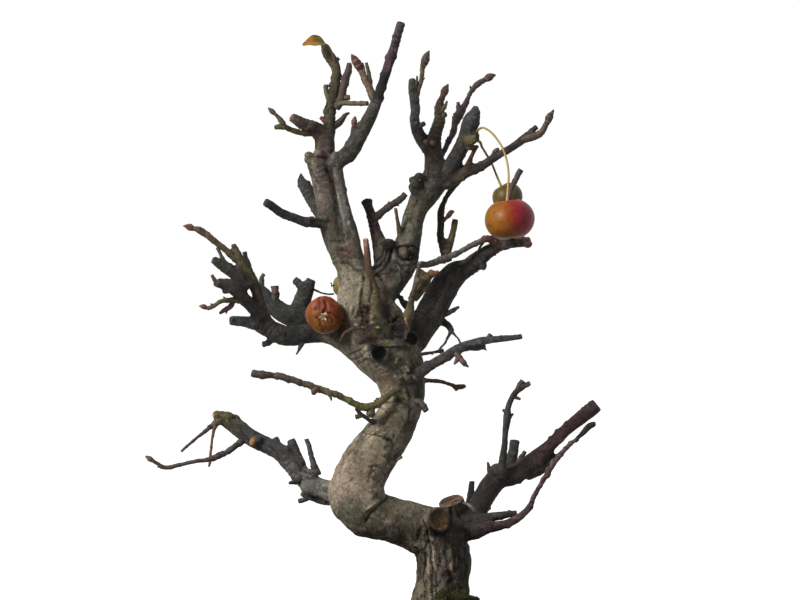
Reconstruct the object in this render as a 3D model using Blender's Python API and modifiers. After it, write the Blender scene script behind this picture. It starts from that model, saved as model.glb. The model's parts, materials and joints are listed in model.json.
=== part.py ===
"""Crabapple bonsai in a brown stoneware tray, in metres, +Z up, the viewer on the -Y side."""

import math

import bmesh
import bpy
from mathutils import Vector

# Driving sizes
TREE_HEIGHT = 0.296
POT_LENGTH = 0.200
POT_WIDTH = 0.150
POT_HEIGHT = 0.055
SOIL_HEIGHT = 0.050
GAP = 0.0003
VIEW_DISTANCE = 12.0

# The limbs are noted on a drawing of squares: column from the left, row from the top.
SOIL_ROW = 612
TOP_ROW = 20
POT_COLUMN = 372.5
EYE_COLUMN = 400
EYE_ROW = 300
SQUARE = TREE_HEIGHT / (SOIL_ROW - TOP_ROW)
MILLIMETRE = 0.001
WELD = 1e-6
HOLE_ROOM = 0.0004

# Each limb: kind, then its stations as (column, row, depth in millimetres, half thickness in squares).
# Depth is positive behind the trunk's plane and negative toward the viewer.
LIMBS = {
    "trunk": ("trunk", [
        (441, 636, 0, 31), (441, 612, 0, 32), (441, 596, 0, 29.5), (442, 575, 0, 26.5), (443, 553, 0, 26.5),
        (433, 536, -1, 26), (411, 526, -4, 24), (389, 519.5, -8, 22.5), (369, 512.5, -10, 26),
        (357, 498, -11, 28.5), (359, 480, -10, 26.5), (368, 463, -8, 26), (380, 446, -5, 24),
        (392, 428, -3, 22.3), (400, 411, 0, 22), (403, 396, 1, 22), (401, 380, 0, 24.5), (394, 360, -2, 28),
        (381, 338, -3, 31), (370, 315, -2, 29.5), (363, 295, 0, 26), (357, 278, 2, 20), (351, 263, 3, 16)]),
    "root_left": ("trunk", [
        (432, 600, -2, 15), (415, 610, -6, 9.5), (399, 615, -9, 7), (385, 622, -12, 5.5),
        (374, 632, -14, 4)]),
    "root_right": ("trunk", [
        (452, 600, 0, 15), (468, 610, -3, 9.5), (484, 615, -6, 7), (498, 624, -9, 5.5), (506, 634, -10, 4)]),
    "root_front": ("trunk", [
        (441, 598, -7, 15), (437, 609, -19, 9), (433, 616, -28, 6.5), (430, 627, -36, 4.5)]),
    "root_front_right": ("trunk", [
        (452, 600, -6, 13), (462, 612, -15, 8), (471, 619, -23, 6), (477, 630, -28, 4)]),
    "root_back": ("trunk", [
        (440, 598, 7, 15), (435, 609, 19, 9), (429, 616, 28, 6.5), (425, 627, 35, 4.5)]),
    "root_back_right": ("trunk", [
        (452, 600, 6, 13), (464, 611, 15, 8), (475, 618, 23, 6), (482, 629, 28, 4)]),
    "web_left": ("trunk", [
        (396, 384, 0, 13), (384, 372, 0, 14), (368, 359, 0, 13.5), (350, 344, 0, 12.5), (330, 334, 2, 9)]),
    "fork": ("bough", [(438, 545, 0, 20), (450, 530, 2, 20), (461, 518, 3, 15), (468, 512, 3, 12)]),
    "fork_stub_front": ("sawn", [(447, 528, -4, 13), (441, 519, -13, 12), (438, 518, -17, 11.5)]),
    "fork_stub_top": ("sawn", [
        (452, 522, 2, 12), (450, 511, -3, 11), (452, 502, -7, 10), (455, 497, -9, 7.5)]),
    "low_left": ("bough", [
        (348, 494, -6, 11), (330, 491, 3, 10.5), (318, 487.5, 8, 10), (305, 479.5, 12, 10),
        (293, 465, 15, 9.7), (279.5, 452, 18, 8.8), (265, 444.5, 20, 8.3), (250, 437, 22, 8.8),
        (237.5, 427.5, 24, 9), (227, 420, 25, 8), (218, 417, 25, 5)]),
    "low_left_lower_twig": ("brown", [
        (246, 438, 22, 3.5), (237, 445, 20, 3.2), (228, 451, 18, 3), (218, 456, 17, 3), (209, 459, 15, 2.4),
        (196, 461, 14, 2), (183, 464, 13, 2.1), (168, 468, 12, 2.2), (158, 464, 11, 2.1),
        (153, 461, 10, 1.8)]),
    "low_left_tip_twig": ("purple", [
        (221, 419, 25, 3), (212, 425.5, 25, 2.4), (197, 437.5, 22, 1.6), (181.5, 451, 18, 1.5)]),
    "low_left_red_twig": ("red", [
        (218, 421, 24, 3), (214, 430, 23, 1.8), (212, 444, 21, 1.3), (210, 462, 19, 1.4),
        (209.3, 467, 18, 0.8)]),
    "low_left_stub_a": ("bough", [
        (318, 475, 10, 4), (312, 460, 11, 3), (308.5, 446, 11, 2.4), (306.8, 438.5, 11, 2.3)]),
    "low_left_stub_b": ("bough", [(301, 466, 14, 6), (296, 453, 17, 5), (291, 440, 19, 4.6)]),
    "low_left_stub_c": ("bough", [(281, 449, 18, 4), (274.5, 438, 19, 3.2)]),
    "low_left_under": ("bough", [
        (336, 501, 4, 5), (325, 502, 9, 4), (314, 499, 12, 3.2), (307, 496.5, 13, 3), (301, 493, 14, 3.2)]),
    "low_left_under_b": ("bough", [(309, 498, 13, 2.5), (298.5, 501, 15, 2.3)]),
    "low_left_thorn": ("bough", [(300, 480, 8, 4), (289, 483, 4, 1.6)]),
    "low_left_orange_bud": ("red", [(254, 438, 18, 3), (252.5, 444, 16, 2.6), (251.5, 448, 15, 1)]),
    "thin_left": ("olive", [
        (402, 387, -8, 4), (392, 393, -12, 3.3), (384, 399, -15, 3.1), (375, 405, -17, 3.8),
        (366, 407.5, -18, 4.4), (356, 404, -19, 4), (340, 396, -21, 3.7), (320, 389.5, -23, 3.8),
        (301, 382.5, -25, 3.7), (286, 378, -27, 3.9), (271, 375, -28, 3.6), (260, 375, -30, 4.6),
        (251.5, 373, -31, 4.2)]),
    "thin_left_knob": ("olive", [(372, 405, -17, 4), (371, 413, -17, 4), (370.5, 418, -17, 3)]),
    "thin_left_low": ("olive", [
        (380, 424, -8, 3), (369, 420, -13, 2), (360, 413.5, -15, 2), (355.5, 408.5, -16, 1.6)]),
    "thin_left_low_b": ("olive", [(363, 415.5, -14.5, 1.8), (355.5, 417, -15, 2.6)]),
    "thin_left_nub": ("olive", [(384, 399, -15, 2), (376, 399.5, -16, 1.8)]),
    "thin_left_orange_scale": ("red", [
        (318, 388, -24, 2.5), (315, 391.5, -25, 3.2), (313.5, 395, -25, 1.6)]),
    "thin_left_spike": ("olive", [(327, 392, -23, 2.5), (330, 396.5, -23, 1.8), (331.5, 401, -23, 0.7)]),
    "mid_left": ("bough", [
        (362, 338, -2, 14), (346, 338, 0, 12.5), (325, 332.5, 3, 10.5), (305, 334, 2, 10),
        (287, 336, 0, 10.2), (273, 331, -3, 9.5), (260, 325, -6, 7.2), (245, 321.5, -10, 5.7),
        (230, 320.5, -13, 4.6)]),
    "mid_left_rise": ("bough", [
        (278, 334, -3, 8), (267, 325, -5, 8), (262, 315, -7, 7.5), (259, 302, -9, 6.2),
        (256, 289, -12, 6.2), (250, 277, -14, 6.6), (243, 266, -16, 6), (237.5, 255, -18, 4.4),
        (233.5, 244.5, -19, 2.9)]),
    "mid_left_long_twig": ("olive", [
        (243, 266, -16, 4.5), (234.5, 257.5, -18, 3.6), (225, 249.5, -20, 3.1), (216, 242, -22, 2.9),
        (207, 235, -24, 3.4), (199, 230.5, -25, 3.4), (193, 228.5, -26, 2.4)]),
    "mid_left_back_twig": ("bough", [(254, 284, -12, 3), (249.5, 269, -12, 2.6), (244.3, 252, -12, 2.4)]),
    "mid_left_fine_twig": ("olive", [
        (232, 272, -17, 3), (225, 263, -19, 2.1), (221.5, 256, -20, 1.8), (216.8, 247.5, -21, 1.7)]),
    "mid_left_grey_stub": ("bough", [
        (249, 286, -14, 7), (238, 276, -17, 7), (228, 269, -19, 6.2), (219, 263, -21, 5),
        (212.3, 259.5, -22, 3.8)]),
    "mid_left_low_limb": ("bough", [
        (261, 317, -8, 7.5), (254, 308, -11, 7.3), (246, 299, -15, 7.5), (237, 290, -19, 7.5),
        (229, 285, -22, 6.5), (221, 284, -24, 4.8), (215, 283.5, -26, 3.6)]),
    "mid_left_low_spur": ("red", [(219, 284, -25, 3), (214.5, 280, -26, 2), (212, 275.5, -26, 1.6)]),
    "mid_left_low_bump": ("bough", [(231, 288, -22, 5), (222.5, 292.5, -23, 2.4)]),
    "mid_left_low_twig": ("olive", [
        (240, 300, -16, 4), (229.5, 300, -19, 2.6), (219.5, 302.5, -22, 2.1), (210, 308, -24, 2.3),
        (206, 308, -24.5, 1.9)]),
    "mid_left_pink_twig": ("red", [
        (234, 300, -17, 2.5), (231, 306, -18, 2.4), (225, 309.5, -19, 2.4), (219, 313, -20, 1.6)]),
    "mid_left_knobs": ("bough", [(272, 338, -1, 5), (267, 343.5, 1, 3.4), (262, 344, 2, 3.2)]),
    "mid_left_thorn": ("bough", [(302, 342, 0, 4), (299.5, 349, -1, 1.8), (296.5, 355, -1, 0.8)]),
    "back_left": ("bough", [
        (362, 316, 5, 12), (345, 318, 9, 11.5), (322, 319, 14, 10.5), (300, 318, 18, 10.5),
        (285, 314, 20, 10), (274, 306, 22, 8.8), (265, 296, 24, 7.6), (258, 286, 25, 4.5)]),
    "back_left_bud_twig": ("bough", [(261, 289, 25, 3), (262, 279, 26, 2.4), (264, 274, 26, 1.8)]),
    "back_left_red_stub": ("red", [(275, 304, 21, 4.5), (275, 294, 21, 3.8), (275, 285.5, 21, 3.9)]),
    "back_left_fork": ("bough", [
        (297, 314, 20, 9), (303, 298, 22, 8.5), (307, 289, 23, 7.5), (311.5, 279.5, 23, 4.5)]),
    "back_left_fork_b": ("bough", [(306, 293, 22, 6), (300, 285, 23, 4.6), (293.8, 279, 24, 4.2)]),
    "back_left_thread": ("purple", [
        (308, 286, 23, 2), (318, 292, 21, 1), (327, 294, 20, 0.9), (333.5, 294, 19, 0.9)]),
    "crown_left_a": ("stem", [
        (357, 280, 2, 15), (347, 262, 3, 13.5), (338, 246, 3, 11.5), (331, 225, 2, 11),
        (326.5, 200, 0, 10.6), (321, 176, -2, 10.4), (318, 163, -3, 10.8), (317.5, 156, -3, 9)]),
    "crown_left_top": ("stem", [
        (319, 170, -2, 8.5), (323, 158, -2, 9.6), (325, 147, -2, 10), (323, 136, -2, 9.5),
        (315, 129, -4, 7.8), (304, 124.5, -8, 6.3), (296, 119.5, -11, 5.2), (291, 117, -12, 4.6)]),
    "crown_left_left_twig": ("olive", [
        (314, 133, -4, 3.4), (308, 134, -6, 2.7), (298, 132, -9, 2.7), (289, 129, -11, 2.6),
        (282, 126.5, -13, 3), (275, 127.8, -15, 2.3)]),
    "crown_left_left_spur": ("olive", [
        (284, 127.5, -13, 3), (282, 122, -14, 3), (278.5, 117, -15, 2), (274.5, 113.5, -16, 1.7)]),
    "crown_left_up": ("olive", [
        (323, 142, -1, 8), (329, 132, 0, 6.5), (329.5, 119, 1, 6.3), (331.5, 105, 2, 6.1),
        (334, 91, 3, 5.5), (335.8, 79, 4, 5), (336, 69, 5, 4.8), (332, 60, 6, 5.8), (327, 53, 6, 5.2),
        (323.5, 46, 6, 3), (321.8, 41.5, 6, 1.6)]),
    "crown_left_up_nub": ("olive", [(334, 62, 6, 3.5), (338.8, 57.5, 6, 1.8)]),
    "crown_left_side": ("olive", [
        (336, 108, 1, 4.5), (341, 100, 0, 4.2), (343, 89, 0, 4.2), (345.5, 79, 1, 4), (348, 72, 2, 3.3),
        (349.5, 62.5, 2, 2.6)]),
    "crown_left_side_knob": ("olive", [(342, 97, 0, 4), (350, 97, -1, 2.5)]),
    "crown_left_side_tip": ("olive", [(345, 82, 1, 3.2), (344.5, 75.5, 1.5, 2.6)]),
    "crown_left_bar": ("olive", [
        (339, 104, -1, 3.2), (346, 102.5, -3, 2.6), (356, 103, -6, 2.3), (367, 103.2, -9, 2.5)]),
    "crown_left_spur_a": ("olive", [(331, 103, 2, 3), (326.5, 93, 2, 2.5), (325.7, 84.5, 2, 2.3)]),
    "crown_left_bump_a": ("olive", [(330, 112, 1, 5), (325.3, 107.5, 0, 3.8)]),
    "crown_left_bump_b": ("red", [(328, 124, 0, 3.5), (320.6, 117.5, -1, 2)]),
    "crown_left_spur_b": ("olive", [
        (333, 126, 1, 4), (341, 120.5, 1, 3.2), (346, 115, 1, 2.2), (349.5, 113, 1, 1)]),
    "crown_left_b": ("stem", [
        (362, 285, 0, 14), (355, 262, -2, 11), (351, 241, -3, 9.2), (348, 225, -3, 7.8),
        (344, 208, -4, 6.4), (340.5, 190, -4, 6), (337.5, 174, -5, 6.4), (335.5, 161, -6, 7.3),
        (336, 155.5, -6, 5.5)]),
    "crown_mid_limb": ("purple", [
        (336, 166, -6, 6.5), (342, 158.5, -7, 8.2), (349, 153.5, -8, 9), (356, 142, -10, 8.6),
        (363, 130, -12, 7.6), (369.5, 118, -14, 7), (374.5, 107, -16, 6), (378, 97, -17, 4.6),
        (382.4, 84, -19, 4.6), (387, 69.4, -21, 4.4), (392.7, 52, -23, 4.2), (397.3, 37, -25, 4),
        (401.5, 22, -27, 4.6)]),
    "crown_mid_spur": ("olive", [
        (376, 107, -16, 4.5), (373, 97, -15, 4), (369.5, 87, -14, 3.6), (365, 78.5, -13, 3.5),
        (360.8, 70.5, -12, 3)]),
    "crown_mid_spur_b": ("olive", [(372, 94, -14, 2.8), (369.8, 78, -13, 2), (366.2, 62.5, -13, 1.8)]),
    "crown_mid_spur_c": ("olive", [(364.5, 76, -13, 2.2), (361.8, 63.5, -11, 1.5)]),
    "crown_mid_bud_spur": ("purple", [(358, 140, -10, 5), (353.2, 134, -11, 3), (354, 125, -12, 2.5)]),
    "crown_left_stub_back": ("bough", [
        (325, 222, 4, 7), (317, 210, 7, 7), (309, 196, 11, 6.2), (302, 182, 14, 5), (301, 174, 15, 2.2)]),
    "crown_left_stub_front": ("bough", [
        (330, 224, 0, 6), (313, 222.5, -4, 5), (304, 221.5, -7, 4.8), (293, 217.5, -10, 4.5),
        (282.5, 213.5, -12, 4.8), (273, 207, -15, 4.3), (265, 202, -17, 4)]),
    "centre_stub": ("purple", [
        (386, 274, 3, 12), (383, 256, 4, 10), (379, 242, 6, 7.8), (374.5, 228, 8, 5.8), (371, 214, 10, 5.2),
        (366.5, 200.5, 12, 6.2)]),
    "centre_stub_side": ("purple", [
        (374, 220, 9, 4.6), (380, 213.5, 9, 3.8), (391, 205.5, 9, 3.4), (398, 201, 9, 3.6),
        (406, 194, 9, 3)]),
    "front_orange_twig": ("orange", [
        (378, 322, -14, 6), (376, 308, -17, 5.2), (375, 292, -19, 5), (372.5, 279, -20, 4.4),
        (369.5, 266, -21, 4.1), (368.5, 250, -22, 4.2), (366.3, 237, -23, 4)]),
    "centre_back_twig": ("olive", [(402, 240, 6, 5), (398.5, 226, 3, 2.4), (395.5, 208, 0, 2)]),
    "crown_right": ("stem", [
        (372, 312, 0, 16), (381, 297, 2, 14.5), (391, 281, 4, 14.5), (402, 263, 6, 15.5), (407, 246, 8, 14),
        (411.5, 228, 9, 11), (416, 211, 10, 10.8), (423, 198, 11, 13), (431, 187, 12, 14),
        (436, 174, 11, 13), (434, 160, 10, 9.8), (432, 146, 8, 8.8), (432, 139, 8, 7.5)]),
    "crown_right_shoulder": ("bough", [(428, 195, 11, 12), (415, 187, 8, 7.5), (409.5, 181, 6, 4.4)]),
    "fan_a": ("bough", [
        (431, 152, 8, 7.5), (423, 141, 7, 6.8), (417, 130, 6, 6), (414.5, 120, 5, 5), (415.3, 110, 4, 5),
        (414.3, 100, 3, 5), (413, 89, 2, 4.8), (411.8, 78.5, 1, 3.4)]),
    "fan_a_spur": ("olive", [
        (416, 96, 3, 3.5), (418, 89, 2, 2.7), (420.8, 81, 1, 2.3), (422.2, 72.5, 0, 2.4),
        (423.2, 65, -1, 2.9)]),
    "fan_a_hook": ("purple", [(415.5, 88, 1, 1.8), (416.8, 76, 0, 1)]),
    "fan_a_nub": ("bough", [(416.5, 127, 5, 3.5), (424.2, 123, 3, 2.2)]),
    "fan_b": ("olive", [
        (434, 150, 8, 7.5), (434.5, 139, 6, 7), (436.5, 130, 4, 6.6), (440, 119, 2, 6), (439, 109, 0, 5),
        (440.5, 101.5, -1, 3.8), (443, 95.5, -2, 2.7)]),
    "fan_b_spur": ("olive", [(440.5, 113, 0, 3), (445, 106, -2, 1.9), (447.2, 101.5, -3, 1)]),
    "fan_b_knob": ("olive", [(440, 118, 1, 4), (445.8, 114.5, -1, 2.6)]),
    "fan_c": ("brown", [
        (437, 166, 12, 4.5), (442, 155, 14, 2.7), (448, 143, 16, 2.6), (453, 133, 18, 3),
        (456, 122, 20, 3.8), (460.5, 112.5, 21, 4.6), (465, 104.5, 22, 3), (469.5, 94.5, 23, 2.2),
        (474, 88.5, 24, 2.6), (480, 82.5, 25, 2.9), (485, 80, 26, 2.4)]),
    "fan_c_spur": ("brown", [(460, 113, 21, 3), (457.3, 102.5, 21, 1.7)]),
    "fan_d": ("bough", [
        (441, 181, 10, 9), (450, 168, 8, 8), (459.5, 151, 6, 7.5), (466, 136, 4, 7.8), (471, 122, 2, 9),
        (475, 113, 1, 6), (475.8, 106, 0.5, 2.5)]),
    "fan_d_spur": ("olive", [(466, 140, 1, 6), (473, 139.5, -3, 5.2), (478, 137, -5, 3.6)]),
    "fan_e": ("bough", [
        (440, 181, 11, 9.5), (452, 177, 10, 9), (465, 172.3, 8, 6.8), (480, 167, 5, 4.7),
        (493, 158.5, 1, 4.2), (508, 149.8, -4, 3.8), (521, 141, -8, 4), (530, 133.2, -11, 3.5),
        (537, 126.3, -12, 2.8)]),
    "fan_e_tip": ("red", [
        (522, 140, -8, 4), (531, 137.5, -11, 4.3), (538, 135, -12, 4), (543, 130, -13, 3.1),
        (547, 123, -14, 2.7)]),
    "fan_e_red_spur": ("red", [
        (467, 171, 7, 5), (470, 160, 5, 2.9), (474, 151.5, 4, 2.1), (478, 145.5, 2, 2)]),
    "fan_e_bud_spur": ("olive", [(490, 161, 2, 3), (495.5, 151, 0, 2.2), (499, 148.8, -1, 1.7)]),
    "fan_e_under": ("olive", [(456, 178, 8, 6), (465.5, 178.5, 6, 2.4)]),
    "knuckle_back_twig": ("olive", [
        (447, 262, 16, 5.5), (443.5, 247, 17, 5), (440.5, 237, 17, 3.9), (440.8, 224, 17, 3.6),
        (441, 211, 17, 3.5), (446, 198, 18, 2.8), (453, 188, 19, 2.9), (461, 179.5, 20, 2.5)]),
    "knuckle_back_stub": ("olive", [
        (446, 252, 16, 5), (450.5, 241, 17, 3.8), (453.3, 231, 18, 3), (455.2, 219.5, 19, 3.2)]),
    "knuckle_back_bud": ("red", [
        (441, 222, 17, 2.5), (446, 218.5, 15, 1.8), (450.5, 212.8, 14, 2.4), (454, 211, 13.5, 0.9)]),
    "right_bough": ("bough", [
        (392, 350, 0, 16), (409, 342, 6, 16), (423, 324, 12, 15), (435.5, 303, 18, 15), (447, 283, 21, 14),
        (458, 272, 22, 11.5), (467, 268, 21, 9.4), (477, 261, 20, 8.8), (487, 252.5, 18, 7),
        (498, 246.5, 15, 5.8), (511, 243, 12, 5), (522, 242.5, 10, 4.8), (530.5, 240.5, 9, 4.6)]),
    "right_bough_knob": ("bough", [(478, 263, 19, 5), (486, 268, 18, 3.6)]),
    "right_bough_red_knob": ("red", [(500, 246, 14, 5), (493, 240.5, 11, 4.6), (487.5, 238.5, 9, 3.4)]),
    "right_twig": ("olive", [
        (413, 264, 5, 4.5), (423, 265, 7, 3.2), (434, 262, 9, 3.6), (445, 258.5, 11, 3.6),
        (457, 253, 12, 3), (469, 247, 13, 2.8), (480, 241.5, 12, 3), (489, 238.5, 11, 3.4)]),
    "right_thin_link": ("olive", [(476, 258, 18, 2), (479, 250, 15.5, 1), (483, 243, 12.5, 1.6)]),
    "fruit_side_stub": ("purple", [
        (509, 243, 11, 4), (506, 228, -1, 3), (507, 208, -4, 2.6), (513, 186, -5, 2.7),
        (521.3, 169.5, -5, 3)]),
    "right_spur_knob": ("bough", [(436, 320, 17, 5), (447, 324, 15, 3.8), (452, 332, 13, 3.5)]),
    "right_spur_upper": ("bough", [(436, 316, 16, 4), (448, 313, 15, 2.6), (459.5, 307, 14, 1.6)]),
    "right_spur_thread_a": ("brown", [(451, 331, 13, 2), (445, 342, 10, 1.1), (438, 351, 7, 1.1)]),
    "right_spur_thread_b": ("brown", [(452, 332, 13, 2), (456, 336, 12, 1.1), (460, 343, 11, 1.1)]),
    "right_lower": ("bough", [
        (404, 380, -6, 7), (418, 374, -10, 6.2), (429, 366.5, -13, 5.4), (443, 357.8, -16, 5),
        (457, 349.8, -19, 5.2), (470, 344.2, -22, 4.8), (485, 340.4, -24, 3.8), (499, 339, -26, 3.3),
        (511, 337.8, -28, 3.2), (522.5, 336.5, -29, 2.8)]),
    "right_lower_stub": ("bough", [(463, 348, -20, 4), (474, 347.5, -20, 3.3), (486, 346, -20, 3)]),
    "right_lower_bump": ("bough", [(488, 340, -24, 3), (491, 334, -25, 2.6)]),
    "right_lower_scrap": ("brown", [
        (455, 350, -19, 3), (459, 357, -20, 3.4), (464, 362, -21, 2.8), (468.5, 367, -21, 0.9)]),
    "right_lower_scrap_b": ("brown", [
        (460, 357, -20, 2.8), (456, 361, -21, 2.4), (453.5, 364.5, -21, 0.8)]),
    "right_thin": ("brown", [
        (416, 356, 6, 3), (424, 353.8, 8, 1.6), (436, 352, 10, 1.6), (443.5, 350.5, 11, 2.1)]),
    "right_small": ("brown", [
        (404, 378, -4, 6), (413, 380, -3, 4.2), (424, 380.5, 0, 2.6), (438, 381.2, 3, 2.3),
        (450, 384.5, 5, 2.3), (458, 387, 6, 3), (466, 386, 7, 2.5)]),
    "right_small_bud": ("red", [(454, 386, 6, 2.2), (457.5, 391, 6, 1.9)]),
    "trunk_right_nub": ("bough", [(412, 400, -6, 4), (421, 403, -9, 2.8), (426.5, 411, -10, 3)]),
    "trunk_spur": ("pale", [(386, 468, -8, 4.5), (394, 462, -11, 2.2), (402.5, 457, -12, 1.4)]),
    "front_upright": ("olive", [
        (402, 326, -12, 8), (409, 314, -15, 5.8), (411, 303, -16, 3.6), (415, 286, -17, 2.7),
        (418, 271, -18, 2.5), (419.7, 261.5, -18, 2.4)]),
    "front_cut_stub": ("sawn", [(392, 345, -8, 12), (396, 337, -15, 10), (399, 328, -21, 8.6)]),
    "front_low_knuckle": ("stem", [(385, 345, -4, 13), (381, 352, -12, 11), (379.5, 354, -19, 9)]),
    "front_side_knuckle": ("stem", [(398, 347, -2, 12), (408, 341, -10, 9.5), (412, 338, -15, 7.5)]),
    "front_olive_spur": ("olive", [(378, 312, -15, 5), (383, 322, -18, 4.6), (389, 333, -20, 4.6)]),
    "front_spur_cluster": ("olive", [
        (414, 300, -14, 4), (421, 289, -12, 5), (425, 280, -10, 6.2), (429, 276, -9, 4.5),
        (435, 273.5, -9, 2.8), (439, 271, -9, 2.4)]),
    "front_left_spur": ("olive", [(366, 318, -12, 6), (361, 308, -17, 4.2), (358.5, 300, -19, 2.8)]),
    "front_left_spur_b": ("olive", [(368, 330, -13, 6), (361, 322, -17, 4.2), (357, 318, -19, 2.6)]),
    "gap_black_bud": ("bough", [(408, 306, 8, 5), (402, 301, 3, 3), (401.5, 296.5, 1, 3.4)]),
    "low_right": ("bough", [
        (455, 530, 1, 14), (467, 521, 2, 13), (477, 510, 4, 11.2), (483, 498.5, 6, 11),
        (490.5, 486, 7, 11.2), (500, 477, 8, 11), (512, 476, 8, 10.4), (524, 469.5, 8, 10),
        (535.5, 459.5, 8, 9), (549, 447.5, 8, 7.8), (563, 433.5, 9, 7.3), (577, 421, 9, 7.2),
        (589, 411.5, 10, 7.6), (597, 404.5, 10, 7)]),
    "low_right_second": ("bough", [
        (526, 473, 9, 8), (539, 469, 9, 6.5), (549, 462, 9, 4.6), (559, 454.5, 9, 3.8),
        (567.5, 444.5, 9, 2.8)]),
    "low_right_purple": ("purple", [
        (462, 531, -1, 11), (474, 531, -5, 9), (486, 527.5, -8, 6.8), (497, 526, -9, 5.2),
        (508, 523.3, -10, 4.2), (520, 516.5, -10, 3.8), (529, 507.5, -9, 3.5), (535, 494.5, -7, 3),
        (544, 479, -4, 2.8), (553.5, 464, -1, 2.7), (561.5, 453.5, 1, 2.7), (569, 445.5, 2, 2.6),
        (577, 438.5, 3, 2.4), (583.5, 432.5, 3, 3), (589, 426, 4, 3.4), (596, 423.8, 4, 3)]),
    "low_right_stub": ("bough", [
        (470, 523, 0, 10), (484, 519, -4, 6.2), (496, 516.3, -5, 4.6), (507, 514.5, -6, 3.6),
        (517, 513, -6, 2.8)]),
    "low_right_upright": ("bough", [
        (501, 477, 4, 6), (502.5, 462, 0, 4.2), (504.5, 445, -3, 3.5), (506, 428, -5, 3.5),
        (507.5, 417, -6, 4.2), (508.5, 407, -7, 3.1), (513, 396, -8, 3.4), (520, 388.5, -10, 3.3),
        (530.5, 383, -12, 2.9)]),
    "low_right_upright_nub": ("bough", [(517, 391, -9, 3), (519.5, 385, -9, 3), (523, 380.5, -9, 2.6)]),
    "low_right_upright_bud": ("red", [(513, 396, -8, 2.6), (520.3, 399.3, -8, 1.3)]),
    "low_right_upright_spur": ("bough", [(508, 419, -6, 2.8), (513.8, 413.5, -6, 1)]),
    "low_right_upright_left": ("bough", [(508, 413, -6, 2.6), (502.6, 409.5, -6, 1.5)]),
    "low_right_cut": ("bough", [
        (508, 475, 11, 8), (511, 463, 13, 6.2), (513.5, 451, 14, 5.2), (514.6, 440, 15, 5.3)]),
    "low_right_peg": ("bough", [(517, 468, 10, 4), (520, 460, 11, 2.4), (525, 451.3, 12, 2.2)]),
    "low_right_left_peg": ("bough", [
        (466, 514, 7, 5), (468.8, 502, 9, 3.5), (471, 491, 10, 3.4), (472, 481, 11, 2.9)]),
    "low_right_thorn": ("bough", [(490, 473, 7, 3), (487.6, 462, 6, 0.9)]),
}

# Pointed winter buds: stations as above, from the twig's end to the tip.
BUDS = {
    "bud_low_left": [
        (154, 461.5, 10, 1.7), (150, 459, 10, 2.8), (147.5, 457.3, 10, 1.9), (145, 456, 10, 0.5)],
    "bud_long_twig": [
        (194, 229, -26, 2.2), (190, 227.3, -26, 3.6), (186.5, 226.3, -27, 2.2), (183, 226, -27, 0.5)],
    "bud_low_twig": [(207, 308, -24, 1.8), (203.3, 306.6, -25, 2.6), (199, 306, -25, 0.5)],
    "bud_left_spur": [(275.5, 114.5, -16, 1.6), (272, 111.3, -16, 2.7), (268, 107.6, -17, 0.5)],
    "bud_mid_spur": [
        (361.5, 72, -12, 2.8), (357.5, 64, -12, 4.4), (354, 58.5, -12, 3.4), (351.3, 54, -12, 0.5)],
    "bud_mid_limb": [(354, 126, -12, 2.3), (354.3, 121, -12, 3), (355.3, 116, -12, 0.5)],
    "bud_fan_a": [(423, 66.5, -1, 2.8), (425.3, 60, -1, 4.3), (427, 55, -1, 3), (429.5, 50.6, -1, 0.5)],
    "bud_fan_b": [(442.5, 97, -2, 2.6), (444.8, 91, -2, 4), (446.6, 87, -3, 2.4), (448.5, 84, -3, 0.5)],
    "bud_fan_c": [(484, 80.4, 26, 2.4), (489, 77.4, 26, 4), (492.5, 75.8, 27, 2.6), (496, 75, 27, 0.5)],
    "bud_fan_e": [
        (546.5, 124.5, -14, 2.6), (549.3, 117.5, -14, 3.9), (551.5, 113.6, -14, 2.4), (554, 109.5, -14, 0.5)],
}

# The trunk's lowest stations and the roots stand in holes in the soil.
FOOT_STATIONS = 5
ROOTS = ("root_left", "root_right", "root_front", "root_front_right", "root_back", "root_back_right")

# Sides of a tube: a curve with bevel resolution n has 4 + 2n sides.
ROUNDNESS = ((20.5, 5), (13.5, 3), (9.6, 2), (4.3, 1), (0.0, 0))

# Tray
EDGE = 0.001
LIP_HEIGHT = 0.009
LIP_REACH = 0.0065
BELLY_REACH = 0.0125
BELLY_HEIGHT = 0.008
BASE_REACH = 0.019
FLOOR = 0.006
FLOOR_RADIUS = 0.070
WALL_FOOT = (0.077, 0.015)
WALL_TOP = (0.089, 0.054)
FOOT_HEIGHT = 0.006
FOOT_LENGTH = 0.030
FOOT_WIDTH = 0.012
FOOT_PLACES = ((0.046, 0.040), (-0.046, 0.040), (0.046, -0.040), (-0.046, -0.040))
FOOT_TURN = math.radians(24)
DRAIN_RADIUS = 0.007
DRAIN_PLACES = {"left": -0.034, "right": 0.034}
TRAY_STEPS = 44
DRILL_STEPS = 24
NET_SIZE = 0.020
NET_CELLS = 9
NET_THICKNESS = 0.001
SOIL_RELIEF = 0.0008
SOIL_ROOM = 0.0006
BROAD_SWELL = 0.006
NARROW_SWELL = 0.0035
SOIL_RINGS = (0.0, 0.2, 0.4, 0.6, 0.8, 0.95)
NET_ROOM = 0.0005

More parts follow.
